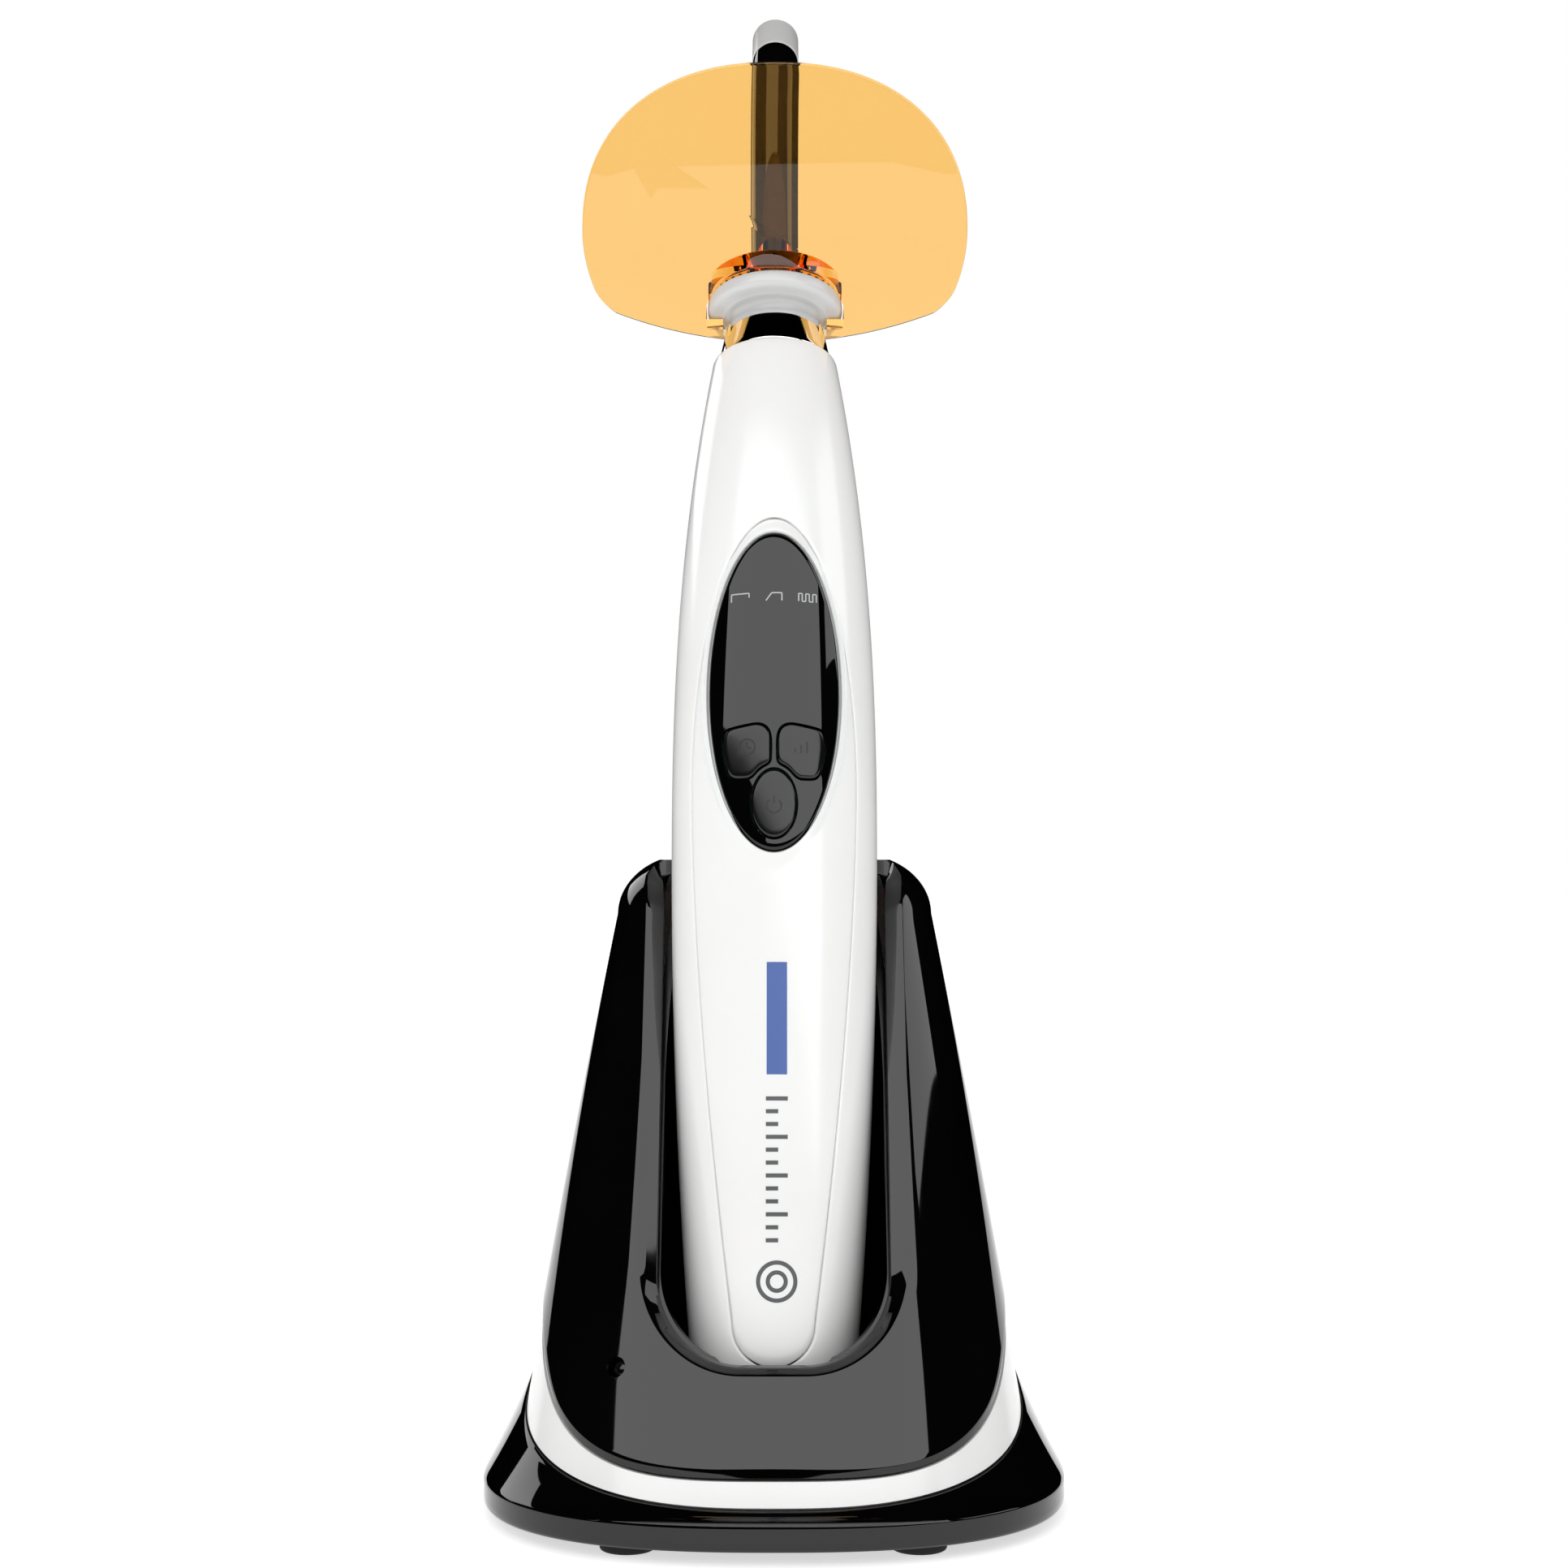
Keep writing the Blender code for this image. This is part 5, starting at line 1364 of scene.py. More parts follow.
    def liner(self) -> None:
        """The matt black cradle that the handpiece stands in."""
        floor = -self.tail_clearance - self.liner_wall
        made = helper("cradle_cup", self.pocket(self.liner_wall, floor, 0.16))
        boolean(made, "UNION", helper("cup_mouth", self.mouth(self.liner_wall)))
        boolean(made, "DIFFERENCE", helper("cup_pocket", self.pocket(0.0, -self.tail_clearance, 0.2)))
        boolean(made, "DIFFERENCE", helper("cup_opening", self.mouth(0.0)))
        boolean(made, "INTERSECT", helper("cup_reach", self.tower_solid(-0.0003)))
        holes = []
        for side in ("left", "right"):
            place = self.cradle.copy()
            place.translation = middle_of(f"charge_pin_{side}")
            hole = turned(drill(GAP + self.pin_radius, -0.01, 0.01), place, 32)
            holes.append(helper(f"pin_hole_{side}", hole))
        boolean(made, "DIFFERENCE", *holes)
        self.trim_front(made)
        dress(made, CRADLE, Body.BASE, Slot.DARK, "cradle_liner", sharp=30.0)

    def trim_front(self, liner: bpy.types.Object) -> None:
        """Cuts the liner back behind the fascia's slot wall, which alone shows at the mouth.

        Args:
            liner: the liner's object.
        """
        room = self.trim_room
        space = self.slot_line(self.slot_half + room, self.slot_bottom - room, self.slot_corner + room)
        outline = mirrored([(self.slot_half + room, self.slot_top), *space])
        depth = self.fascia_wall + GAP

        def face(x: float, z: float) -> Vector:
            """A place just behind the fascia's wall.

            Args:
                x: place across.
                z: place up.

            Returns:
                The place, in the row frame.
            """
            angle = self.tower.angle_at_x(min(abs(x), 0.03), min(z, self.tower.shoulder))
            y = self.tower.point(angle, min(z, self.tower.shoulder)).y + depth
            y += max(0.0, z - self.tower.shoulder) * self.tower.lean
            return self.tower.place(Vector((x, y, z)))

        rows = [ring(outline, face), ring(outline, lambda x, z: face(x, z) - Vector((0.0, 0.03, 0.0)))]
        boolean(liner, "DIFFERENCE", helper("front_trim", loft(rows)))

    # Small parts

    def inlet(self) -> None:
        """The power inlet's rounded housing with its socket and centre pin."""
        low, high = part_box("dc_inlet")
        made = helper("power_inlet", rounded_box(low, high, self.inlet_rounding, 1))
        face = Matrix.Translation(((low.x + high.x) / 2, high.y, (low.z + high.z) / 2))
        back = face @ Matrix.Rotation(-math.pi / 2, 4, "X")
        pin, depth, bore, mouth = 0.0009, -0.0088, 0.0031, 0.0035
        corners = [(pin, 0.001), (pin, depth), (bore, depth), (bore, -0.0004), (mouth, 0.001)]
        profile = rounded(corners, 0.0003)
        boolean(made, "DIFFERENCE", helper("socket", turned(profile, back, 64)))
        dress(made, DARK_ABS, Body.BASE, Slot.DARK, "dc_inlet", sharp=30.0)

    def rubber_feet(self) -> None:
        """Four round pads, each with a shallow moulded ring groove in its underside."""
        for place in ("front_left", "front_right", "rear_left", "rear_right"):
            node = f"rubber_foot_{place}"
            low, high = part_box(node)
            radius, height = (high.x - low.x) / 2, high.z - low.z
            centre = Matrix.Translation(((low.x + high.x) / 2, (low.y + high.y) / 2, low.z))
            groove = [(0.0, 0.0), (radius * 0.55, 0.0), (radius * 0.62, 0.0003), (radius * 0.7, 0.0)]
            profile = rounded(groove, 0.0001)
            profile += rounded([(radius * 0.72, 0.0), (radius, 0.0), (radius, height), (0.0, height)], 0.0005)
            pad = helper(f"grip_pad_{place}", turned(profile, centre, 72))
            dress(pad, RUBBER, Body.BASE, Slot.RUBBER, node)

    def screws(self) -> None:
        """The four screws that hold the foot's plate."""
        nodes = [f"base_screw_{number}" for number in range(1, 5)]
        places = []
        for node in nodes:
            low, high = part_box(node)
            places.append(Vector(((low.x + high.x) / 2, (low.y + high.y) / 2, low.z)))
        low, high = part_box(nodes[0])
        sizes = {
            "Head": (high.x - low.x) / 2,
            "Shaft": 0.0012,
            "Depth": high.z - low.z,
            "Slot length": 0.0026,
            "Slot width": 0.0007,
        }
        made = cross_screws("plate_screws", places, sizes)
        dress(made, STEEL, Body.BASE, Slot.STEEL, *nodes)

    def pins(self) -> None:
        """The two sprung charging pins, with round noses."""
        for side in ("left", "right"):
            node = f"charge_pin_{side}"
            low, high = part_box(node)
            place = self.cradle.copy()
            place.translation = (low + high) / 2
            length = (high.z - low.z) / math.cos(self.handpiece_lean) / 2 - 0.0002
            radius = self.pin_radius
            nose = [(radius, length - 0.0006), (radius / 2, length), (0.0, length)]
            profile = rounded([(0.0, -length), (radius, -length), *nose], 0.0005)
            dress(helper(f"sprung_pin_{side}", turned(profile, place, 48)), GOLD, node, Slot.GOLD, node)

    def build(self) -> None:
        """Builds every visible part of the base."""
        self.foot()
        self.fascia()
        self.indicator()
        self.shell()
        self.liner()
        self.inlet()
        self.rubber_feet()
        self.screws()
        self.pins()


def drill(radius: float, low: float, high: float) -> list[Point]:
    """The profile of a plain cylinder about its axis."""
    return [(0, low), (radius, low), (radius, high), (0, high)]


def rounded_box(low: Vector, high: Vector, radius: float, axis: int) -> bmesh.types.BMesh:
    """A box whose four edges along one axis are rounded.

    Args:
        low: its lowest corner.
        high: its highest corner.
        radius: the rounding.
        axis: 0, 1 or 2 for the axis that the rounded edges run along.

    Returns:
        The mesh.
    """
    a, b = [i for i in range(3) if i != axis]
    outline = []
    corners = ((high[a], high[b], 0), (low[a], high[b], 90), (low[a], low[b], 180), (high[a], low[b], 270))
    for x, y, first in corners:
        centre_a = x - math.copysign(radius, x - (low[a] + high[a]) / 2)
        centre_b = y - math.copysign(radius, y - (low[b] + high[b]) / 2)
        for k in range(7):
            turn = math.radians(first + 15 * k)
            outline.append((centre_a + radius * math.cos(turn), centre_b + radius * math.sin(turn)))
    rows = []
    for level in (low[axis], high[axis]):
        row = []
        for pa, pb in outline:
            point = [0.0, 0.0, 0.0]
            point[a], point[b], point[axis] = pa, pb, level
            row.append(Vector(point))
        rows.append(row)
    return loft(rows)


# --- Handpiece ------------------------------------------------------------------------------


@dataclass
class Handpiece:
    """Rear shell, front cover, display window, buttons and printed marks, in the handpiece's frame."""

    matrix: Matrix
    length: float = 0.1635
    width: float = 0.0320
    depth: float = 0.0330
    power: float = 2.15
    widest_at: float = 0.0880
    tail_radius: float = 0.0120
    tail_round: float = 0.0030
    neck_radius: float = 0.01005
    rim_round: float = 0.0009
    neck_power: float = 2.2
    bend_length: float = 0.0460
    head_lean: float = math.radians(7.0)
    wall: float = 0.0017
    plug_radius: float = 0.0080
    cover_top: float = 0.0320
    cover_widest: float = 0.0735
    cover_half: float = 0.01245
    cover_tail_half: float = 0.0059
    cover_tail_end: float = 0.0040
    display_centre: float = 0.0595
    display_length: float = 0.0500
    display_width: float = 0.0198
    surround: float = 0.0022
    surround_height: float = 0.00022
    button_proud: float = 0.0003
    button_depth: float = 0.0012
    post_radius: float = 0.0012
    post_low: float = 0.0118
    post_high: float = 0.0152
    cover_thickness: float = 0.0010
    rear_thickness: float = 0.0012
    socket_edge: float = 0.0082
    button_width: float = 0.0071
    button_height: float = 0.0085
    button_spacing: float = 0.0082
    button_drop: float = 0.0098
    power_width: float = 0.0067
    power_height: float = 0.0105
    power_drop: float = 0.0179
    separation: float = 0.0010
    stroke_across: float = 0.0005
    stroke_along: float = 0.0003
    stroke_depth: float = 0.00004
    mark_x: float = 0.00045

    # Outer surface

    def radius(self, height: float) -> float:
        """Half the width at a distance from the tail.

        Args:
            height: distance from the tail.

        Returns:
            Half the width.
        """
        middle = self.width / 2
        if height < self.widest_at:
            return middle - (middle - self.tail_radius) * (1 - max(height, 0.0) / self.widest_at) ** 2
        share = (height - self.widest_at) / (self.length - self.widest_at)
        return middle - (middle - self.neck_radius) * share**self.neck_power

    def centre(self, height: float) -> tuple[float, float]:
        """Offset and lean of the centre line.

        Args:
            height: distance from the tail.

        Returns:
            The two values.
        """
        share = min(1.0, max(0.0, (height - self.length + self.bend_length) / self.bend_length))
        slope = math.tan(self.head_lean)
        return slope * self.bend_length * share**2 / 2, math.atan(slope * share)

    def point(self, turn: float, height: float, grow: float = 0.0) -> Vector:
        """A surface point. Turn 0 is the front's middle, and 90 degrees is +X.

        Args:
            turn: turn round the body.
            height: height above the floor or the tail.
            grow: how far out of the surface.

        Returns:
            The point.
        """
        radius = self.radius(height) + grow
        deep = self.radius(height) * self.depth / self.width + grow
        offset, lean = self.centre(height)
        x = radius * bulged(math.sin(turn), self.power)
        y = -deep * bulged(math.cos(turn), self.power)
        return Vector((x, offset + y * math.cos(lean), height - y * math.sin(lean)))

    def front(self, x: float, z: float, grow: float = 0.0) -> Vector:
        """The front surface's point at a place in front view.

        Args:
            x: place across.
            z: place up.
            grow: how far out of the surface.

        Returns:
            The point.
        """
        height = z
        for _ in range(6):
            radius = self.radius(height) + grow
            deep = self.radius(height) * self.depth / self.width + grow
            share = min(0.999, abs(x) / radius)
            y = -deep * (1 - share**self.power) ** (1 / self.power)
            offset, lean = self.centre(height)
            height = z + y * math.sin(lean)
        return Vector((x, offset + y * math.cos(lean), z))

    def place(self, point: Vector) -> Vector:
        """A handpiece point in the row frame."""
        return self.matrix @ point

    def from_rim(self, distance: float) -> float:
        """Distance from the tail of a place measured down from the rim."""
        return self.length - distance

    # Outlines in front view

    def cover_half_at(self, z: float, grow: float = 0.0) -> float:
        """Half-width of the front cover at a height, or -1 outside it.

        Args:
            z: place up.
            grow: how far out of the surface.

        Returns:
            The half-width.
        """
        widest, top = self.from_rim(self.cover_widest), self.from_rim(self.cover_top)
        half = self.cover_half + grow
        low = self.cover_tail_end - grow
        tail = self.cover_tail_half + grow
        if z > top + grow or z < low:
            return -1.0
        if z >= widest:
            return half * math.sqrt(max(0.0, 1 - ((z - widest) / (top - widest + grow)) ** 2))
        knee = low + tail
        if z >= knee:
            share = (widest - z) / (widest - knee)
            return half - (self.cover_half - self.cover_tail_half) * share**1.6
        return math.sqrt(max(0.0, tail**2 - (knee - z) ** 2))

    def display_line(self, grow: float, count: int) -> list[Point]:
        """The display's right outline from its top to its bottom, evenly spaced.

        Args:
            grow: how far out of the surface.
            count: how many points.

        Returns:
            The points.
        """
        centre = self.from_rim(self.display_centre)
        half, rise = self.display_width / 2 + grow, self.display_length / 2 + grow
        turns = [math.radians(a) for a in range(90, -91, -2)]
        line = [(half * max(0.0, math.cos(a)), centre + rise * math.sin(a)) for a in turns]
        return spaced(line, count)

    def levels(self) -> list[float]:
        """Heights above the tail's rounding, closer together where the cover's ends curve.

        Returns:
            The heights.
        """
        widest = self.from_rim(self.cover_widest)
        low, top = self.cover_tail_end - GAP, self.from_rim(self.cover_top) + GAP
        tail = self.cover_tail_half + GAP
        made = [self.tail_round, (self.tail_round + low) / 2]
        made += [low + tail * (1 - math.cos(math.radians(a))) for a in range(0, 90, 5)]
        knee = low + tail
        made += [knee + (widest - knee) * k / 56 for k in range(56)]
        tilted = []
        for k in range(0, 61):
            z = widest + (top - widest) * math.sin(math.radians(90 * k / 60))
            tilted.append(self.height_of_front(z))
        made += tilted
        last = self.length - self.rim_round
        made += [tilted[-1] + (last - tilted[-1]) * k / 30 for k in range(1, 31)]
        return made

    def height_of_front(self, z: float) -> float:
        """The row whose front middle lies at a front-view height."""
        return bisect(lambda h: self.point(0.0, h).z < z, z - 0.006, z + 0.006)

    def edge_turn(self, height: float) -> float:
        """Turn at which a row meets the cover's outline, or 0 where it doesn't.

        Args:
            height: distance from the tail.

        Returns:
            The turn.
        """

        def outside(turn: float) -> bool:
            """Whether the row is past the cover at this turn."""
            spot = self.point(turn, height)
            return abs(spot.x) > self.cover_half_at(spot.z, GAP)

        if outside(1e-5):
            return 0.0
        return bisect(lambda turn: outside(turn), math.pi / 2, 0.0)

    def rear_row(self, height: float, inset: float, columns: int) -> Row:
        """One row of the rear shell, with the parting line's small drop at both ends.

        Args:
            height: distance from the tail.
            inset: how far the row is drawn in.
            columns: how many steps round.

        Returns:
            The row of points.
        """
        first = self.edge_turn(height) if inset == 0.0 else 0.0
        turns = [first + (2 * math.pi - 2 * first) * k / columns for k in range(columns + 1)]
        row = [self.point(t, height, -inset) for t in turns]
        if first == 0.0:
            return [row[0]] * 3 + row[1:-1] + [row[-1]] * 3
        lip = 0.00012

        def drops(turn: float) -> Row:
            """The parting line's two steps into the wall."""
            return [self.point(turn, height, -depth) for depth in (0.0011, lip)]

        ease = 0.00018 / self.radius(height)
        row[0] = self.point(first + ease, height)
        row[-1] = self.point(-first - ease, height)
        return drops(first) + row + drops(-first)[::-1]

    def rear(self) -> None:
        """The white rear shell, open where the front cover lies."""
        columns = 132
        rows = []
        for k in range(9):
            turn = math.radians(90 * k / 8)
            up, inset = self.tail_round * (1 - math.cos(turn)), self.tail_round * (1 - math.sin(turn))
            rows.append(self.rear_row(up, max(inset, 1e-9), columns))
        hole = self.plug_radius + GAP
        bottom = []
        for radius in (hole, hole, (hole + rows[0][0].length) / 2):
            circle = [2 * math.pi * k / columns for k in range(columns + 1)]
            spots = [Vector((radius * math.sin(t), -radius * math.cos(t), 0.0)) for t in circle]
            bottom.append([spots[0]] * 2 + spots + [spots[-1]] * 2)
        for spot in range(len(bottom[0])):
            bottom[0][spot] = bottom[0][spot] + Vector((0.0, 0.0, 0.0016))
        rows = bottom + rows
        rows += [self.rear_row(height, 0.0, columns) for height in self.levels()[1:]]
        rim = self.length
        for share in (0.25, 0.5, 0.75, 1.0):
            turn = math.radians(90 * share)
            height = rim - self.rim_round * (1 - math.sin(turn))
            inset = self.rim_round * (1 - math.cos(turn))
            rows.append(self.rear_row(height, max(inset, 1e-9), columns))
        scale = self.socket_edge / (self.radius(rim) - self.rim_round)
        offset, _ = self.centre(rim)
        middle = Vector((0.0, offset, rim))
        rows.append([middle + (p - middle) * scale for p in rows[-1]])
        shape = skin(placed(rows, self.place))
        bmesh.ops.remove_doubles(shape, verts=shape.verts, dist=MERGE)
        outward(shape, self.place(Vector((0.0, 0.0, 0.08))))
        made = thicken(helper("rear_casing", shape), self.rear_thickness)
        dress(made, WHITE_ABS, Body.HANDPIECE, Slot.WHITE, "rear_shell", sharp=50.0)

    def cover_columns(self) -> list[tuple[Point, Point]]:
        """Pairs of places in front view, from the display's right edge out to the cover's, top to tail.

        Returns:
            The pairs.
        """
        centre, half = self.from_rim(self.display_centre), self.display_width / 2 + GAP
        rise = self.display_length / 2 + GAP
        top, low = self.from_rim(self.cover_top), self.cover_tail_end
        knee, tail = low + self.cover_tail_half, self.cover_tail_half

        def inner(turn: float) -> Point:
            """A place on the display's edge."""
            return half * max(0.0, math.cos(turn)), centre + rise * math.sin(turn)

        def level(turn: float) -> float:
            """Height of the cover's edge that belongs to a turn.

            Args:
                turn: turn round the body.

            Returns:
                The height.
            """
            beyond = 1 - math.cos(turn)
            up = (top - centre - rise) * beyond
            down = (centre - rise - low) * beyond**1.3
            return centre + rise * math.sin(turn) + (up if turn > 0 else -down)

        pairs = []
        for k in range(61):
            turn = math.radians(90 - 1.5 * k)
            z = level(turn)
            pairs.append((inner(turn), (max(0.0, self.cover_half_at(z)), z)))
        bend = bisect(lambda t: level(t) > knee, 0.0, -math.pi / 2)
        for k in range(1, 101):
            z = centre + (knee - centre) * k / 100
            turn = bisect(lambda t, z=z: level(t) > z, 0.0, -math.pi / 2)
            pairs.append((inner(turn), (self.cover_half_at(z), z)))
        for k in range(1, 25):
            share = k / 24
            arc = share * math.pi / 2
            turn = bend + (-math.pi / 2 - bend) * share
            pairs.append((inner(turn), (tail * max(0.0, math.cos(arc)), knee - tail * math.sin(arc))))
        for end in (0, -1):
            pairs[end] = tuple((0.0, z) for _, z in pairs[end])
        return pairs

    def cover(self) -> None:
        """The long white front cover, with a soft raised surround about the display."""
        shares = [(k / 56) ** 1.25 for k in range(57)]

        def column(start: Point, end: Point) -> Row:
            """One line from the display to the cover edge.

            Args:
                start: where the curve begins.
                end: where it ends.

            Returns:
                The points.
            """
            reach = math.dist(start, end)
            made = [self.front(*start, -0.0010), self.front(*start, -0.00010)]
            for share in [0.0002 / reach + s * (1 - 0.0004 / reach) for s in shares]:
                x, z = (a + (b - a) * share for a, b in zip(start, end))
                lift = self.surround_height * (1 - smooth_step(share * reach, 0.0, min(self.surround, reach)))
                made.append(self.front(x, z, lift))
            return made + [self.front(*end, -0.00012), self.front(*end, -0.0011)]

        half = [column(a, b) for a, b in self.cover_columns()]
        columns = half + flipped(half[-2:0:-1])
        shape = skin(placed(columns, self.place), along=True)
        outward(shape, self.place(Vector((0.0, 0.0, 0.08))))
        made = thicken(helper("front_casing", shape), self.cover_thickness)
        dress(made, WHITE_ABS, Body.HANDPIECE, Slot.WHITE, "front_cover", sharp=50.0)

    def window(self) -> None:
        """The gloss black display window, with its three button openings."""
        centre = self.from_rim(self.display_centre)
        outline = self.display_line(0.0, 90)
        outline = outline + [(-x, z) for x, z in outline[-2:0:-1]]
        shares = [k / 26 for k in range(26)] + [0.985]

        def line(share: float, grow: float = 0.0) -> Row:
            """The outline drawn in towards the middle."""
            spots = [(x * share, centre + (z - centre) * share) for x, z in outline]
            return [self.place(self.front(x, z, grow)) for x, z in spots]

        rows = [line(share) for share in shares] + [line(1.0, -0.00015), line(1.0, -0.0010)]
        shape = skin(rows, around=True)
        outward(shape, self.place(Vector((0.0, 0.0, 0.08))))
        made = thicken(helper("display_face", shape), self.cover_thickness)
        cutters = []
        for name in ("left", "right", "power"):
            outline = self.button_outline(name, GAP)
            rows = [ring(outline, lambda x, z, y=y: self.place(Vector((x, y, z)))) for y in (-0.03, 0.0)]
            cutters.append(helper(f"{name}_opening", loft(rows)))
        boolean(made, "DIFFERENCE", *cutters)
        dress(made, WINDOW, Body.HANDPIECE, Slot.BLACK, "display_window", sharp=40.0)

    # Buttons

    def button_centre(self, name: str) -> Point:
        """The middle of a button in front view.

        Args:
            name: left, right or power.

        Returns:
            Its place across and up.
        """
        display = self.from_rim(self.display_centre)
        side = {"left": -1, "right": 1, "power": 0}[name]
        drop = self.button_drop if side else self.power_drop
        return side * self.button_spacing / 2, display - drop

    def in_button(self, name: str, x: float, z: float) -> bool:
        """Whether a front-view place lies on a button.

        Args:
            name: left, right or power.
            x: place across.
            z: place up.

        Returns:
            True on the button.
        """
        cx, cz = self.button_centre(name)
        if name == "power":
            return (2 * (x - cx) / self.power_width) ** 2 + (2 * (z - cz) / self.power_height) ** 2 < 1
        px, pz = self.button_centre("power")
        half, rise = self.power_width / 2 + self.separation, self.power_height / 2 + self.separation
        if ((x - px) / half) ** 2 + ((z - pz) / rise) ** 2 < 1:
            return False
        box = (2 * abs(x - cx) / self.button_width) ** 4 + (2 * abs(z - cz) / self.button_height) ** 4
        display = self.from_rim(self.display_centre)
        keep = 0.0016
        oval_x = x / (self.display_width / 2 - keep)
        oval_z = (z - display) / (self.display_length / 2 - keep)
        outer_cut = abs(x) * 0.75 - (z - cz + self.button_height / 2) < 0.0052
        top_cut = (z - cz) + 0.16 * abs(x) < self.button_height / 2 + 0.0004
        return box < 1 and oval_x**2 + oval_z**2 < 1 and outer_cut and top_cut

    def button_outline(self, name: str, grow: float, count: int = 96) -> list[Point]:
        """A button's outline in front view, moved out by grow.

        Args:
            name: left, right or power.
            grow: how far out of the surface.
            count: how many points.

        Returns:
            The outline.
        """
        cx, cz = self.button_centre(name)
        if name == "power":
            return oval(self.power_width / 2 + grow, self.power_height / 2 + grow, cz, count=count)
        middle = (cx, cz + 0.0010)
        points = []
        for k in range(count):
            turn = 2 * math.pi * k / count
            step = (math.cos(turn), math.sin(turn))

            def inside(reach: float, step: Point = step) -> bool:
                """Whether the button still covers a place along one ray."""
                return self.in_button(name, middle[0] + reach * step[0], middle[1] + reach * step[1])

            reach = bisect(inside, 0.0, 0.009)
            points.append((middle[0] + reach * step[0], middle[1] + reach * step[1]))
        soft = []
        for k, (x, z) in enumerate(points):
            around = [points[(k + d) % count] for d in (-2, -1, 0, 1, 2)]
            soft.append((sum(p[0] for p in around) / 5, sum(p[1] for p in around) / 5))
        shares = [1 + grow / math.dist(spot, middle) for spot in soft]
        return [tuple(m + (p - m) * share for m, p in zip(middle, spot)) for spot, share in zip(soft, shares)]

    def button(self, name: str) -> None:
        """One key with a pillowed top and soft edges, and its symbol.

        Args:
            name: left, right or power.
        """
        cx, cz = self.button_centre(name)
        middle = (cx, cz) if name == "power" else (cx, cz + 0.0010)
        outline = self.button_outline(name, 0.0)

        def line(share: float, grow: float) -> Row:
            """The outline drawn in towards the middle, raised by grow."""
            spots = [tuple(m + (p - m) * share for m, p in zip(middle, spot)) for spot in outline]
            return [self.place(self.front(x, z, grow)) for x, z in spots]

        proud = self.button_proud
        crown = [(k / 9, proud * (1.0 - 0.15 * (k / 9) ** 2)) for k in range(9)]
        deep = -self.button_depth
        rim = [(0.93, proud * 0.82), (0.965, proud * 0.6), (0.99, proud * 0.1)]
        rim += [(1.0, -proud * 0.8), (1.0, deep)]
        rows = [line(share, grow) for share, grow in crown + rim]
        rows += [line(0.5, deep), line(0.0, deep)]
        made = helper(f"{name}_key", skin(rows, around=True))
        post_z = cz - self.power_height / 8 if name == "power" else cz
        stem = Matrix.Translation(self.place(Vector((cx, 0.0, post_z)))) @ self.matrix.to_3x3().to_4x4()
        turn = Matrix.Rotation(math.pi / 2, 4, "X")
        post = turned(drill(self.post_radius, self.post_low, self.post_high), stem @ turn, 24)
        boolean(made, "UNION", helper(f"{name}_post", post))
        dress(made, KEY_RUBBER, f"{name}_button", Slot.BLACK, f"{name}_button", sharp=40.0)
        self.symbol(name, middle)

    def ribbon(
        self, lines: Sequence[Sequence[Point]], width: float, grow: float, name: str
    ) -> bpy.types.Object:
        """Printed strokes: each line of front-view points becomes a thin raised strip.

        Args:
            lines: the strokes.
            width: their width.
            grow: how far above the body's surface they lie.
            name: the object's name.

        Returns:
            One object that holds every stroke as a closed strip.
        """
        whole = bmesh.new()
        strips = max(1, round(width / self.stroke_across))
        across = [-width / 2 + width * k / strips for k in range(strips + 1)]
        for points in lines:
            closed = math.dist(points[0], points[-1]) < 1e-7
            line = [points[0]]
            for a, b in zip(points, points[1:]):
                steps = max(1, round(math.dist(a, b) / self.stroke_along))
                line += [tuple(p + (q - p) * k / steps for p, q in zip(a, b)) for k in range(1, steps + 1)]
            line = line[:-1] if closed else line
            count = len(line)
            rows = []
            for k, (x, z) in enumerate(line):
                before = line[(k - 1) % count] if closed or k else line[0]
                after = line[(k + 1) % count] if closed or k < count - 1 else line[-1]
                dx, dz = after[0] - before[0], after[1] - before[1]
                size = math.hypot(dx, dz)
                spots = [(x - dz / size * w, z + dx / size * w) for w in across]
                top = [self.place(self.front(*spot, grow)) for spot in spots]
                under = [self.place(self.front(*spot, grow - self.stroke_depth)) for spot in reversed(spots)]
                rows.append(top + under)
            strip = skin(rows, around=True, along=closed)
            if not closed:
                ends = [e for e in strip.edges if e.is_boundary]
                bmesh.ops.holes_fill(strip, edges=ends, sides=0)
            bmesh.ops.recalc_face_normals(strip, faces=strip.faces)
            mesh = bpy.data.meshes.new("stroke")
            strip.to_mesh(mesh)
            strip.free()
            whole.from_mesh(mesh)
            bpy.data.meshes.remove(mesh)
        return helper(name, whole)

    def symbol(self, name: str, middle: Point) -> None:
        """The generic sign on a key: on and off, a clock, or a row of bars.

        Args:
            name: left, right or power.
            middle: the middle of the key in front view.
        """
        cx, cz = middle
        cz -= 0.0004

        def ring_line(radius: float, first: float, last: float, steps: int) -> list[Point]:
            """An arc about the middle of the key."""
            turns = [math.radians(first + (last - first) * k / steps) for k in range(steps + 1)]
            return [(cx + radius * math.cos(a), cz + radius * math.sin(a)) for a in turns]

        if name == "power":
            lines = [ring_line(0.0011, 130, 410, 24), [(cx, cz + 0.0003), (cx, cz + 0.0015)]]
        elif name == "left":
            circle = ring_line(0.0012, 0, 360, 28)
            circle[-1] = circle[0]
            lines = [circle, [(cx, cz + 0.0008), (cx, cz), (cx + 0.0006, cz - 0.0002)]]
        else:
            bars = [(cx + 0.0009 * k, cz + 0.0003 + 0.0005 * k) for k in (-1, 0, 1)]
            lines = [[(x, cz - 0.0009), (x, high)] for x, high in bars]
        made = self.ribbon(lines, 0.00024, self.button_proud * 1.02 + 0.00002, f"{name}_key_sign")
        dress(made, KEY_INK, f"{name}_button", Slot.BLACK)

    # Printed marks

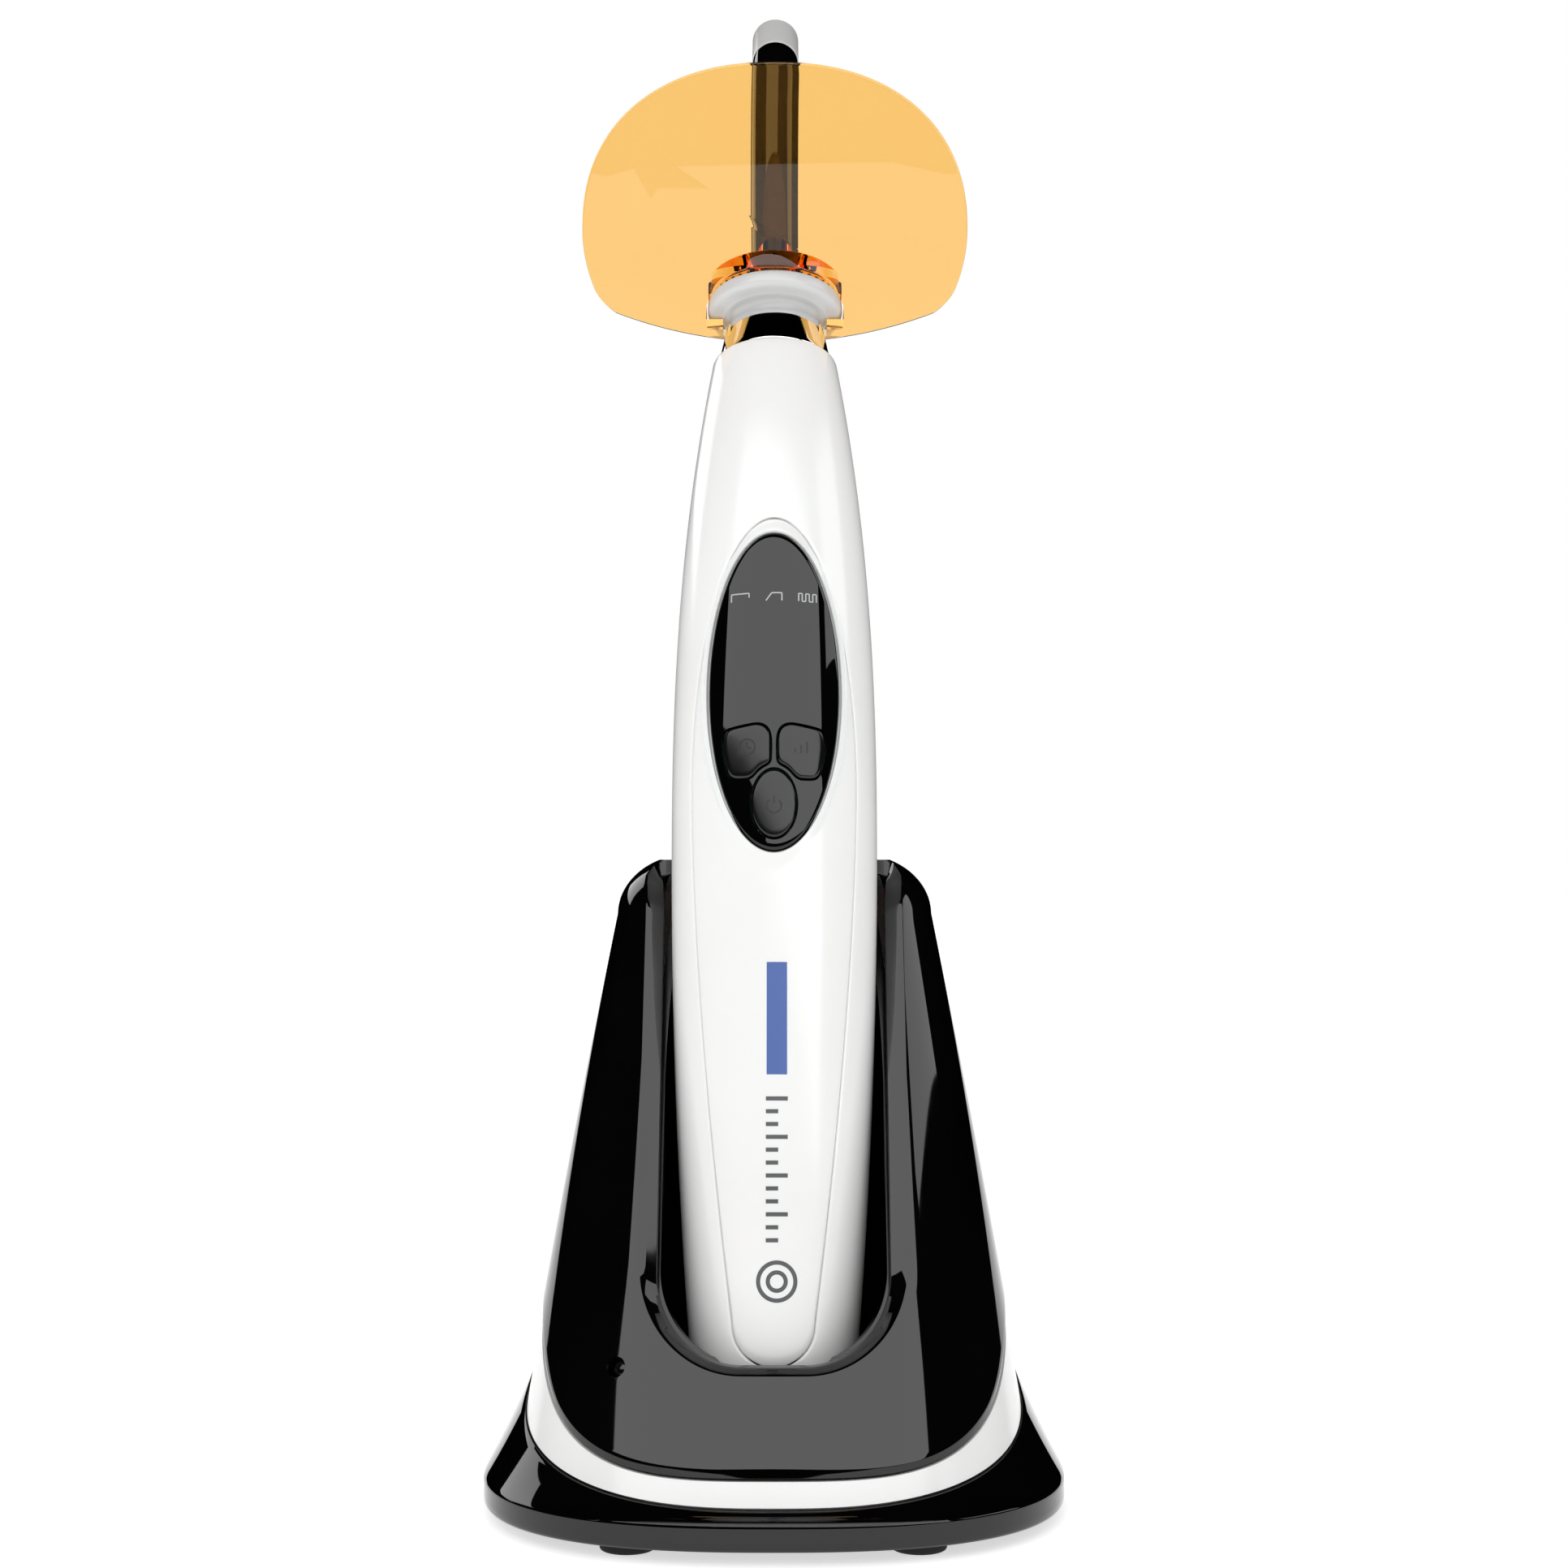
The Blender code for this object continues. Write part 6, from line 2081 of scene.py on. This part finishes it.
    def icons(self) -> None:
        """The three mode signs on the window: a steady pulse, a ramp and a row of pulses."""
        z = self.from_rim(self.display_centre) + 0.0146
        tall, wide = 0.00125, 0.0027

        def wave(centre: float, shape: Sequence[Point]) -> list[Point]:
            """One sign, scaled and put in its place."""
            return [(centre + a * wide / 2, z + (b - 0.5) * tall) for a, b in shape]

        step = [(-1, 0), (-1, 1), (1, 1), (1, 0.45)]
        ramp = [(-1, 0), (-0.35, 1), (0.8, 1), (0.8, 0)]
        pulses = [(-1, 0), (-1, 1), (-0.6, 1), (-0.6, 0), (-0.2, 0), (-0.2, 1), (0.2, 1), (0.2, 0)]
        pulses += [(0.6, 0), (0.6, 1), (1, 1), (1, 0)]
        spacing = 0.0053
        lines = [wave(-spacing + 0.0001, step), wave(0.0001, ramp), wave(spacing - 0.0002, pulses)]
        corners = [corner_strokes(line) for line in lines]
        made = self.ribbon([stroke for line in corners for stroke in line], 0.00019, 0.00004, "mode_signs")
        dress(made, ICON_INK, Body.HANDPIECE, Slot.WHITE)

    def marks(self) -> None:
        """A generic printed mark down the cover: a blue bar, a grey scale and a ring."""
        x, film = self.mark_x, 0.00003
        bar_top, scale_top, ring_z = (self.from_rim(distance) for distance in (0.1013, 0.1213, 0.1475))
        bar_line = [(x, bar_top - 0.0165 * k / 20) for k in range(21)]
        bar = self.ribbon([bar_line], 0.0030, film, "blue_print")
        dress(bar, BLUE_INK, Body.HANDPIECE, Slot.WHITE)
        lines = []
        for k in range(12):
            z = scale_top - 0.00185 * k
            half = 0.0016 if k % 3 == 0 else 0.0009
            lines.append([(x - 0.0016, z), (x - 0.0016 + 2 * half, z)])
        for radius in (0.0027, 0.0013):
            turns = [2 * math.pi * k / 40 for k in range(40)]
            circle = [(x + radius * math.cos(a), ring_z + radius * math.sin(a)) for a in turns]
            lines.append(circle + [circle[0]])
        scale = self.ribbon(lines, 0.0006, film, "grey_print")
        dress(scale, GREY_INK, Body.HANDPIECE, Slot.WHITE)

    def build(self) -> None:
        """Builds every visible part of the handpiece's casing."""
        self.rear()
        self.cover()
        self.window()
        for name in ("left", "right", "power"):
            self.button(name)
        self.icons()
        self.marks()


def corner_strokes(line: Sequence[Point]) -> list[list[Point]]:
    """Splits a line with square corners into straight strokes that overlap by half a stroke."""
    return [[tuple(a), tuple(b)] for a, b in zip(line, line[1:])]


# --- Head, light guide and shield -----------------------------------------------------------


@dataclass
class Head:
    """The chrome ring on the head's axis; the socket under it stays the CAD part."""

    matrix: Matrix
    bore: float = 0.0069
    rim: float = 0.00915
    ring_height: float = 0.0065
    ring_top: float = 0.0080

    def build(self) -> None:
        """Builds the turned ring."""
        corners = [
            (self.bore, GAP),
            (self.rim, GAP),
            (self.rim - 0.0001, 0.0011),
            (self.ring_top, self.ring_height),
            (self.ring_top - 0.0004, self.ring_height + 0.0003),
            (self.bore, self.ring_height + 0.0003),
        ]
        made = helper("chrome_collar", turned(rounded([*corners, corners[0]], 0.0003), self.matrix))
        dress(made, CHROME, Body.HANDPIECE, Slot.CHROME, "chrome_ring", sharp=60.0)


@dataclass
class LightGuide:
    """Ferrule, black-clad rod, white tip, fibre core and seal, which turn in the socket."""

    matrix: Matrix
    bore: float = 0.0069
    plug_clearance: float = 0.0006
    socket_depth: float = 0.0146
    ring_height: float = 0.0065
    neck: float = 0.0067
    flange: float = 0.0111
    flange_bottom: float = 0.0089
    flange_top: float = 0.0120
    rod_radius: float = 0.0039
    rod_bore: float = 0.0031
    core_radius: float = 0.0028
    tip_radius: float = 0.0040
    tip_length: float = 0.0090
    straight: float = 0.0545
    bend_radius: float = 0.0120
    bend: float = math.radians(29.0)
    seal_depth: float = 0.0080
    seal_wire: float = 0.0006
    seal_squeeze: float = 0.96

    def path(self, mark: float) -> tuple[float, float, float]:
        """Depth, height and lean of the rod's centre line at a distance along it.

        Args:
            mark: distance along the centre line.

        Returns:
            The three values.
        """
        lean = min(self.bend, max(0.0, (mark - self.straight) / self.bend_radius))
        along = max(0.0, mark - self.straight - self.bend_radius * self.bend)
        y = self.bend_radius * (1 - math.cos(lean)) + along * math.sin(lean)
        z = min(mark, self.straight) + self.bend_radius * math.sin(lean) + along * math.cos(lean)
        return y, z, lean

    def disc(self, radius: float, mark: float) -> Row:
        """One ring about the centre line.

        Args:
            radius: radius.
            mark: distance along the centre line.

        Returns:
            The ring.
        """
        y, z, lean = self.path(mark)
        spots = oval(radius, radius, count=96)
        return [self.matrix @ Vector((a, y + b * math.cos(lean), z - b * math.sin(lean))) for a, b in spots]

    def tube(self, name: str, profile: Sequence[Point]) -> bpy.types.Object:
        """A swept tube or rod whose profile is (radius, distance along the centre line), closed on itself."""
        rows = [self.disc(radius, mark) for radius, mark in profile]
        return helper(name, skin(rows, around=True, along=True))

    def marks(self, start: float, end: float) -> list[float]:
        """Distances along the rod, close together in its bend.

        Args:
            start: where the curve begins.
            end: where it ends.

        Returns:
            The distances.
        """
        bend_end = self.straight + self.bend_radius * self.bend
        found = [self.straight + (bend_end - self.straight) * k / 20 for k in range(21)]
        return [start] + [m for m in found if start + 1e-6 < m < end - 1e-6] + [end]

    def build(self) -> None:
        """Builds the guide's pieces."""
        bend_end = self.straight + self.bend_radius * self.bend
        low = -self.socket_depth + 0.0012
        plug = self.bore - self.plug_clearance
        hole = self.rod_radius + GAP
        groove = plug - self.seal_wire - 0.0001
        neck = self.ring_height + 2 * GAP
        corners = [
            (hole, low),
            (plug, low),
            (plug, -self.seal_depth - 0.0007),
            (groove, -self.seal_depth - 0.0007),
            (groove, -self.seal_depth + 0.0007),
            (plug, -self.seal_depth + 0.0007),
            (plug, neck),
            (self.neck, neck),
            (self.neck, self.flange_bottom - 0.0009),
            (self.neck + 0.0006, self.flange_bottom - 0.0002),
            (self.neck + 0.0017, self.flange_bottom - 0.0001),
            (self.neck + 0.0022, self.flange_bottom + 0.0001),
            (self.flange, self.flange_bottom + 0.0003),
            (self.flange, self.flange_top),
            (hole, self.flange_top),
        ]
        profile = rounded([*corners, corners[0]], 0.0011, 7)
        # The ferrule's light grey colour is painted shade on its flange and steps.
        made = helper("white_ferrule", turned(profile, self.matrix))
        dress(made, WHITE_POLYMER_PAINTED_SHADE, Body.GUIDE, Slot.WHITE, "guide_ferrule", sharp=60.0)

        start = low + 0.0010
        outer = [(self.rod_radius, m) for m in self.marks(start, bend_end)]
        inner = [(self.rod_bore, m) for m in reversed(self.marks(start, bend_end))]
        dress(self.tube("clad_rod", outer + inner), ROD_GLASS, Body.GUIDE, Slot.ROD, "light_rod")

        first, last = bend_end + GAP, bend_end + GAP + self.tip_length
        corners = [
            (self.rod_bore, first),
            (self.tip_radius, first),
            (self.tip_radius, last),
            (self.rod_bore, last),
        ]
        profile = rounded([*corners, corners[0]], 0.0006, 6)
        # The tip shares the ferrule's light grey, which is painted shade.
        tip = self.tube("white_tip", profile)
        dress(tip, WHITE_POLYMER_PAINTED_SHADE, Body.GUIDE, Slot.WHITE, "tip_sleeve", sharp=60.0)

        marks = self.marks(start, last - 0.0002)
        rows = [self.disc(self.core_radius, m) for m in marks]
        dress(helper("fibre_rod", loft(rows)), FIBRE, Body.GUIDE, Slot.FIBRE, "fibre_core")

        wire = self.seal_wire
        centre = (groove + 0.0001 + wire, -self.seal_depth)
        turns = [2 * math.pi * k / 20 for k in range(20)]
        reach = wire * self.seal_squeeze
        circle = [(centre[0] + reach * math.cos(a), centre[1] + reach * math.sin(a)) for a in turns]
        dress(helper("o_ring", turned(circle, self.matrix, 96)), RUBBER, Body.SEAL, Slot.RUBBER, "guide_seal")


@dataclass
class Shield:
    """The flat amber plate and its round hub."""

    matrix: Matrix
    thickness: float = 0.0030
    tilt: float = math.radians(27.0)
    crossing: float = 0.0105
    half: float = 0.0317
    widest: float = 0.0130
    rise: float = 0.0270
    power: float = 2.25
    drop: float = 0.0050
    bottom_radius: float = 0.0750
    flank: float = 21.5
    hub_radius: float = 0.01105
    hub_low: float = 0.0123
    hub_height: float = 0.0032
    flange: float = 0.0111
    flange_bottom: float = 0.0089
    neck_space: float = 0.0086
    rod_radius: float = 0.0039
    edge_round: float = 0.0004
    cut_low: float = -0.02
    cut_high: float = 0.05

    def foot(self, x: float) -> float:
        """Height of the bowed lower edge."""
        return self.bottom_radius - math.sqrt(self.bottom_radius**2 - x**2) - self.drop

    def outline(self) -> list[Point]:
        """The plate's outline, evenly spaced.

        Returns:
            The outline.
        """
        turns = [math.radians(90 - 90 * k / 60) for k in range(61)]
        across = [self.half * bulged(max(0.0, math.cos(a)), self.power) for a in turns]
        heights = [self.widest + self.rise * bulged(math.sin(a), self.power) for a in turns]
        upper = list(zip(across, heights))
        upper[0], upper[-1] = (0.0, self.widest + self.rise), (self.half, self.widest)
        low = self.widest * 0.25
        levels = [self.widest + (low - self.widest) * k / 12 for k in range(1, 13)]
        flank = [(self.half - self.flank * (self.widest - z) ** 2, z) for z in levels]
        corner_x = self.half * 0.83
        last = flank[-1]
        control = (last[0] - 0.0012, self.foot(last[0]))
        end = (corner_x, self.foot(corner_x))
        curve = [eased(last, control, end, k / 14) for k in range(1, 15)]
        bottom = [(corner_x * (1 - k / 24), self.foot(corner_x * (1 - k / 24))) for k in range(1, 25)]
        return mirrored(spaced(upper + flank + curve + bottom, 120))

    def plate(self) -> bmesh.types.BMesh:
        """The plate with rounded edges, tilted to the head.

        Returns:
            The mesh.
        """
        crossing = Matrix.Translation((0.0, 0.0, self.crossing))
        tilt = self.matrix @ crossing @ Matrix.Rotation(self.tilt, 4, "X")
        outline = self.outline()
        count = len(outline)
        rows = []
        steps = 5
        profile = []
        for k in range(steps + 1):
            turn = math.radians(90 * k / steps)
            inset, rise = self.edge_round * (1 - math.sin(turn)), self.edge_round * (1 - math.cos(turn))
            profile.append((inset, rise - self.thickness / 2))
        profile += [(inset, -y) for inset, y in reversed(profile)]
        for inset, y in profile:
            row = []
            for k, (x, z) in enumerate(outline):
                before, after = outline[k - 1], outline[(k + 1) % count]
                dx, dz = after[0] - before[0], after[1] - before[1]
                size = math.hypot(dx, dz)
                row.append(tilt @ Vector((x + inset * dz / size, y, z - inset * dx / size)))
            rows.append(row)
        return loft(rows)

    def build(self) -> None:
        """Builds the shield as one closed piece, and under its hub a ring of thin dark ribs that are painted
        shade between the hub's teeth.
        """
        made = helper("amber_shield", self.plate())
        wide, low, high = self.flange + GAP, self.flange_bottom - GAP, self.hub_low - 1e-5
        narrow = [(0, self.cut_low), (self.neck_space, self.cut_low), (self.neck_space, low)]
        clearance = [*narrow, (wide, low), (wide, high), (0, high)]
        boolean(made, "DIFFERENCE", helper("flange_space", turned(clearance, self.matrix)))
        top = self.hub_low + self.hub_height
        hub = rounded(drill(self.hub_radius, self.hub_low, top), self.edge_round, 4)
        boolean(made, "UNION", helper("shield_hub", turned(hub, self.matrix)))
        bore = self.rod_radius + GAP
        hole = turned(drill(bore, self.cut_low, self.cut_high), self.matrix, 96)
        boolean(made, "DIFFERENCE", helper("hub_bore", hole))
        dress(made, AMBER, Body.SHIELD, Slot.AMBER, "light_shield", sharp=30.0)
        # Dark ribs under the hub: painted shade standing in for the dark gaps between the hub's amber teeth.
        sizes = {"Count": 44, "Radius": 0.0083, "Length": 0.0044, "Width": 0.00045, "Height": 0.00024}
        under = Matrix.Translation((0.0, 0.0, self.hub_low - 0.00016))
        ribs = radial_ribs("hub_ribs", sizes, DARK_ABS, self.matrix @ under)
        dress(ribs, DARK_ABS, Body.SHIELD, Slot.AMBER)


# --- Carried-over parts ---------------------------------------------------------------------

CARRIED = {
    "foot_plate": DARK_ABS,
    "ballast_weight": STEEL,
    "charging_board": BOARD,
    "contact_block": DARK_ABS,
    "display_module": DARK_ABS,
    "main_board": BOARD,
    "inner_chassis": DARK_ABS,
    "left_switch": STEEL,
    "right_switch": STEEL,
    "power_switch": STEEL,
    "beeper": DARK_ABS,
    "battery": SLEEVE,
    "battery_contact": GOLD,
    "battery_spring": STEEL,
    "tail_plug": DARK_ABS,
    "charge_contact_left": GOLD,
    "charge_contact_right": GOLD,
    "board_screw_1": STEEL,
    "board_screw_2": STEEL,
    "guide_socket": STEEL,
    "led_lens": CLEAR,
    "led_emitter": PHOSPHOR,
    "led_board": CERAMIC,
    "heat_sink": ALUMINIUM,
}


def dress_carried() -> None:
    """Gives each CAD node that stays its real finish."""
    for name, finish in CARRIED.items():
        node = frame["nodes"][name]
        node.data.materials.clear()
        node.data.materials.append(finish.material())
        LOG.info("%s: carried over, %s", name, finish.name)


# --- Stage ----------------------------------------------------------------------------------


class Use(Enum):
    """What a studio panel is for."""

    SHINE = "shine"
    SHADE = "shade"


@dataclass(frozen=True)
class Softbox:
    """A rectangular panel that stands square to one direction from the object.

    Its middle and its turn are given on that plane, as shares of its distance.
    """

    name: str
    azimuth: float
    across: float
    up: float
    roll: float
    width: float
    height: float
    strength: float
    use: Use = Use.SHINE
    distance: float = 1.3

    def build(self, target: Vector) -> None:
        """Adds the light. Azimuth 0 is the camera's side, and positive is to its right.

        Args:
            target: what the panel faces.
        """
        turn = math.radians(self.azimuth)
        away = Vector((math.sin(turn), -math.cos(turn), 0.0))
        right = Vector((math.cos(turn), math.sin(turn), 0.0))
        data = bpy.data.lights.new(self.name, "AREA")
        data.shape = "RECTANGLE"
        data.size, data.size_y = self.width * self.distance, self.height * self.distance
        data.energy = self.strength * math.pi * data.size * data.size_y
        light = bpy.data.objects.new(self.name, data)
        spot = away + right * self.across + Vector((0.0, 0.0, self.up))
        light.location = target + spot * self.distance
        facing = Matrix((right, Vector((0.0, 0.0, 1.0)), away)).transposed().to_4x4()
        light.rotation_euler = (facing @ Matrix.Rotation(math.radians(self.roll), 4, "Z")).to_euler()
        bpy.context.scene.collection.objects.link(light)
        light.visible_camera = False
        light.visible_transmission = False
        light.visible_diffuse = self.use is Use.SHADE
        light.visible_glossy = self.use is Use.SHINE


@dataclass
class Studio:
    """Camera, floor, softboxes and the white surroundings."""

    root_y: float
    camera_x: float = 0.0015
    camera_distance: float = 0.369
    camera_height: float = 0.092
    camera_pitch: float = math.radians(2.6)
    lens: float = 55.9
    fill: float = 0.62

    def camera(self) -> None:
        """The camera, looking along +Y and a little up."""
        data = bpy.data.cameras.new("camera")
        data.lens = self.lens
        data.sensor_width = 36.0
        data.clip_start = 0.01
        made = bpy.data.objects.new("camera", data)
        made.location = (self.camera_x, self.root_y - self.camera_distance, self.camera_height)
        made.rotation_euler = (math.pi / 2 + self.camera_pitch, 0.0, 0.0)
        bpy.context.scene.collection.objects.link(made)
        bpy.context.scene.camera = made

    def floor(self) -> None:
        """A plain white floor."""
        half = 40.0
        corners = [(-half, -half, 0.0), (half, -half, 0.0), (half, half, 0.0), (-half, half, 0.0)]
        mesh = bpy.data.meshes.new("floor")
        mesh.from_pydata(corners, [], [(0, 1, 2, 3)])
        made = bpy.data.objects.new("floor", mesh)
        bpy.context.scene.collection.objects.link(made)
        paint = bpy.data.materials.new("white_floor")
        paint.use_nodes = True
        shader = paint.node_tree.nodes["Principled BSDF"]
        shader.inputs["Base Color"].default_value = linear("f4f4f4")
        shader.inputs["Roughness"].default_value = 0.9
        shader.inputs["Specular IOR Level"].default_value = 0.0
        shader.inputs["Emission Color"].default_value = (1.0, 1.0, 1.0, 1.0)
        shader.inputs["Emission Strength"].default_value = 0.6
        mesh.materials.append(paint)

    def surroundings(self) -> None:
        """White behind everything and a soft fill all round, unseen by reflections."""
        world = bpy.data.worlds.new("studio")
        bpy.context.scene.world = world
        world.use_nodes = True
        world.cycles_visibility.glossy = False
        tree = world.node_tree
        tree.nodes.clear()
        path = add_node(tree, "ShaderNodeLightPath").outputs
        seen = {0: path["Is Camera Ray"], 1: path["Is Transmission Ray"]}
        direct = add_node(tree, "ShaderNodeMath", seen, operation="MAXIMUM", use_clamp=True)
        level = {"Value": direct.outputs[0], "To Min": self.fill, "To Max": 1.0}
        strength = add_node(tree, "ShaderNodeMapRange", level)
        white = {"Color": (1.0, 1.0, 1.0, 1.0), "Strength": strength.outputs[0]}
        back = add_node(tree, "ShaderNodeBackground", white)
        add_node(tree, "ShaderNodeOutputWorld", {"Surface": back.outputs[0]})

    def build(self) -> None:
        """Sets the whole stage."""
        self.camera()
        self.floor()
        self.surroundings()
        target = Vector((0.0, self.root_y, 0.11))
        boxes = (
            Softbox("front_panel", 0.0, -0.10, 0.90, -14.0, 2.9, 1.05, 2.5),
            Softbox("right_panel", 80.0, 0.07, 0.62, -13.0, 0.70, 0.46, 2.2),
            Softbox("rear_left_panel", -135.0, 0.0, 0.55, 0.0, 0.6, 0.5, 2.2),
            Softbox("front_key", -12.0, 0.0, 0.75, 0.0, 1.0, 0.9, 1.7, Use.SHADE),
        )
        for box in boxes:
            box.build(target)
        bpy.context.scene.view_settings.view_transform = "Standard"


# --- Assembly -------------------------------------------------------------------------------


def handpiece_frame(root_y: float, base: ChargingBase) -> Matrix:
    """The handpiece's frame: its tail, leaning back with the lift joint's axis.

    Args:
        root_y: depth of the object's own origin.
        base: the charging base, for the tail's place.

    Returns:
        Its matrix.
    """
    axis = axis_of("handpiece_lift")
    lean = math.atan2(axis.y, axis.z)
    tail = Vector((0.0, root_y + base.tail_y, base.tail_z))
    return Matrix.Translation(tail) @ Matrix.Rotation(-lean, 4, "X")


def main() -> None:
    """Builds the stage and every sub-assembly around the frame."""
    logging.basicConfig(level=logging.INFO, format="%(message)s")
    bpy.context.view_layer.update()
    low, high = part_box("base_foot")
    root_y = (low.y + high.y) / 2 - (ChargingBase.foot_back - ChargingBase.foot_front) / 2
    Studio(root_y).build()

    tower = Tower(shift=root_y)
    base = ChargingBase(tower, Matrix.Identity(4))
    base.cradle = handpiece_frame(root_y, base)
    base.build()

    handpiece = Handpiece(base.cradle)
    handpiece.build()

    offset, _ = handpiece.centre(handpiece.length)
    rim = Matrix.Translation((0.0, offset, handpiece.length))
    head = handpiece.matrix @ rim @ Matrix.Rotation(-handpiece.head_lean, 4, "X")
    Head(head).build()
    LightGuide(head).build()
    Shield(head).build()
    dress_carried()


if __name__ == "__main__":
    main()
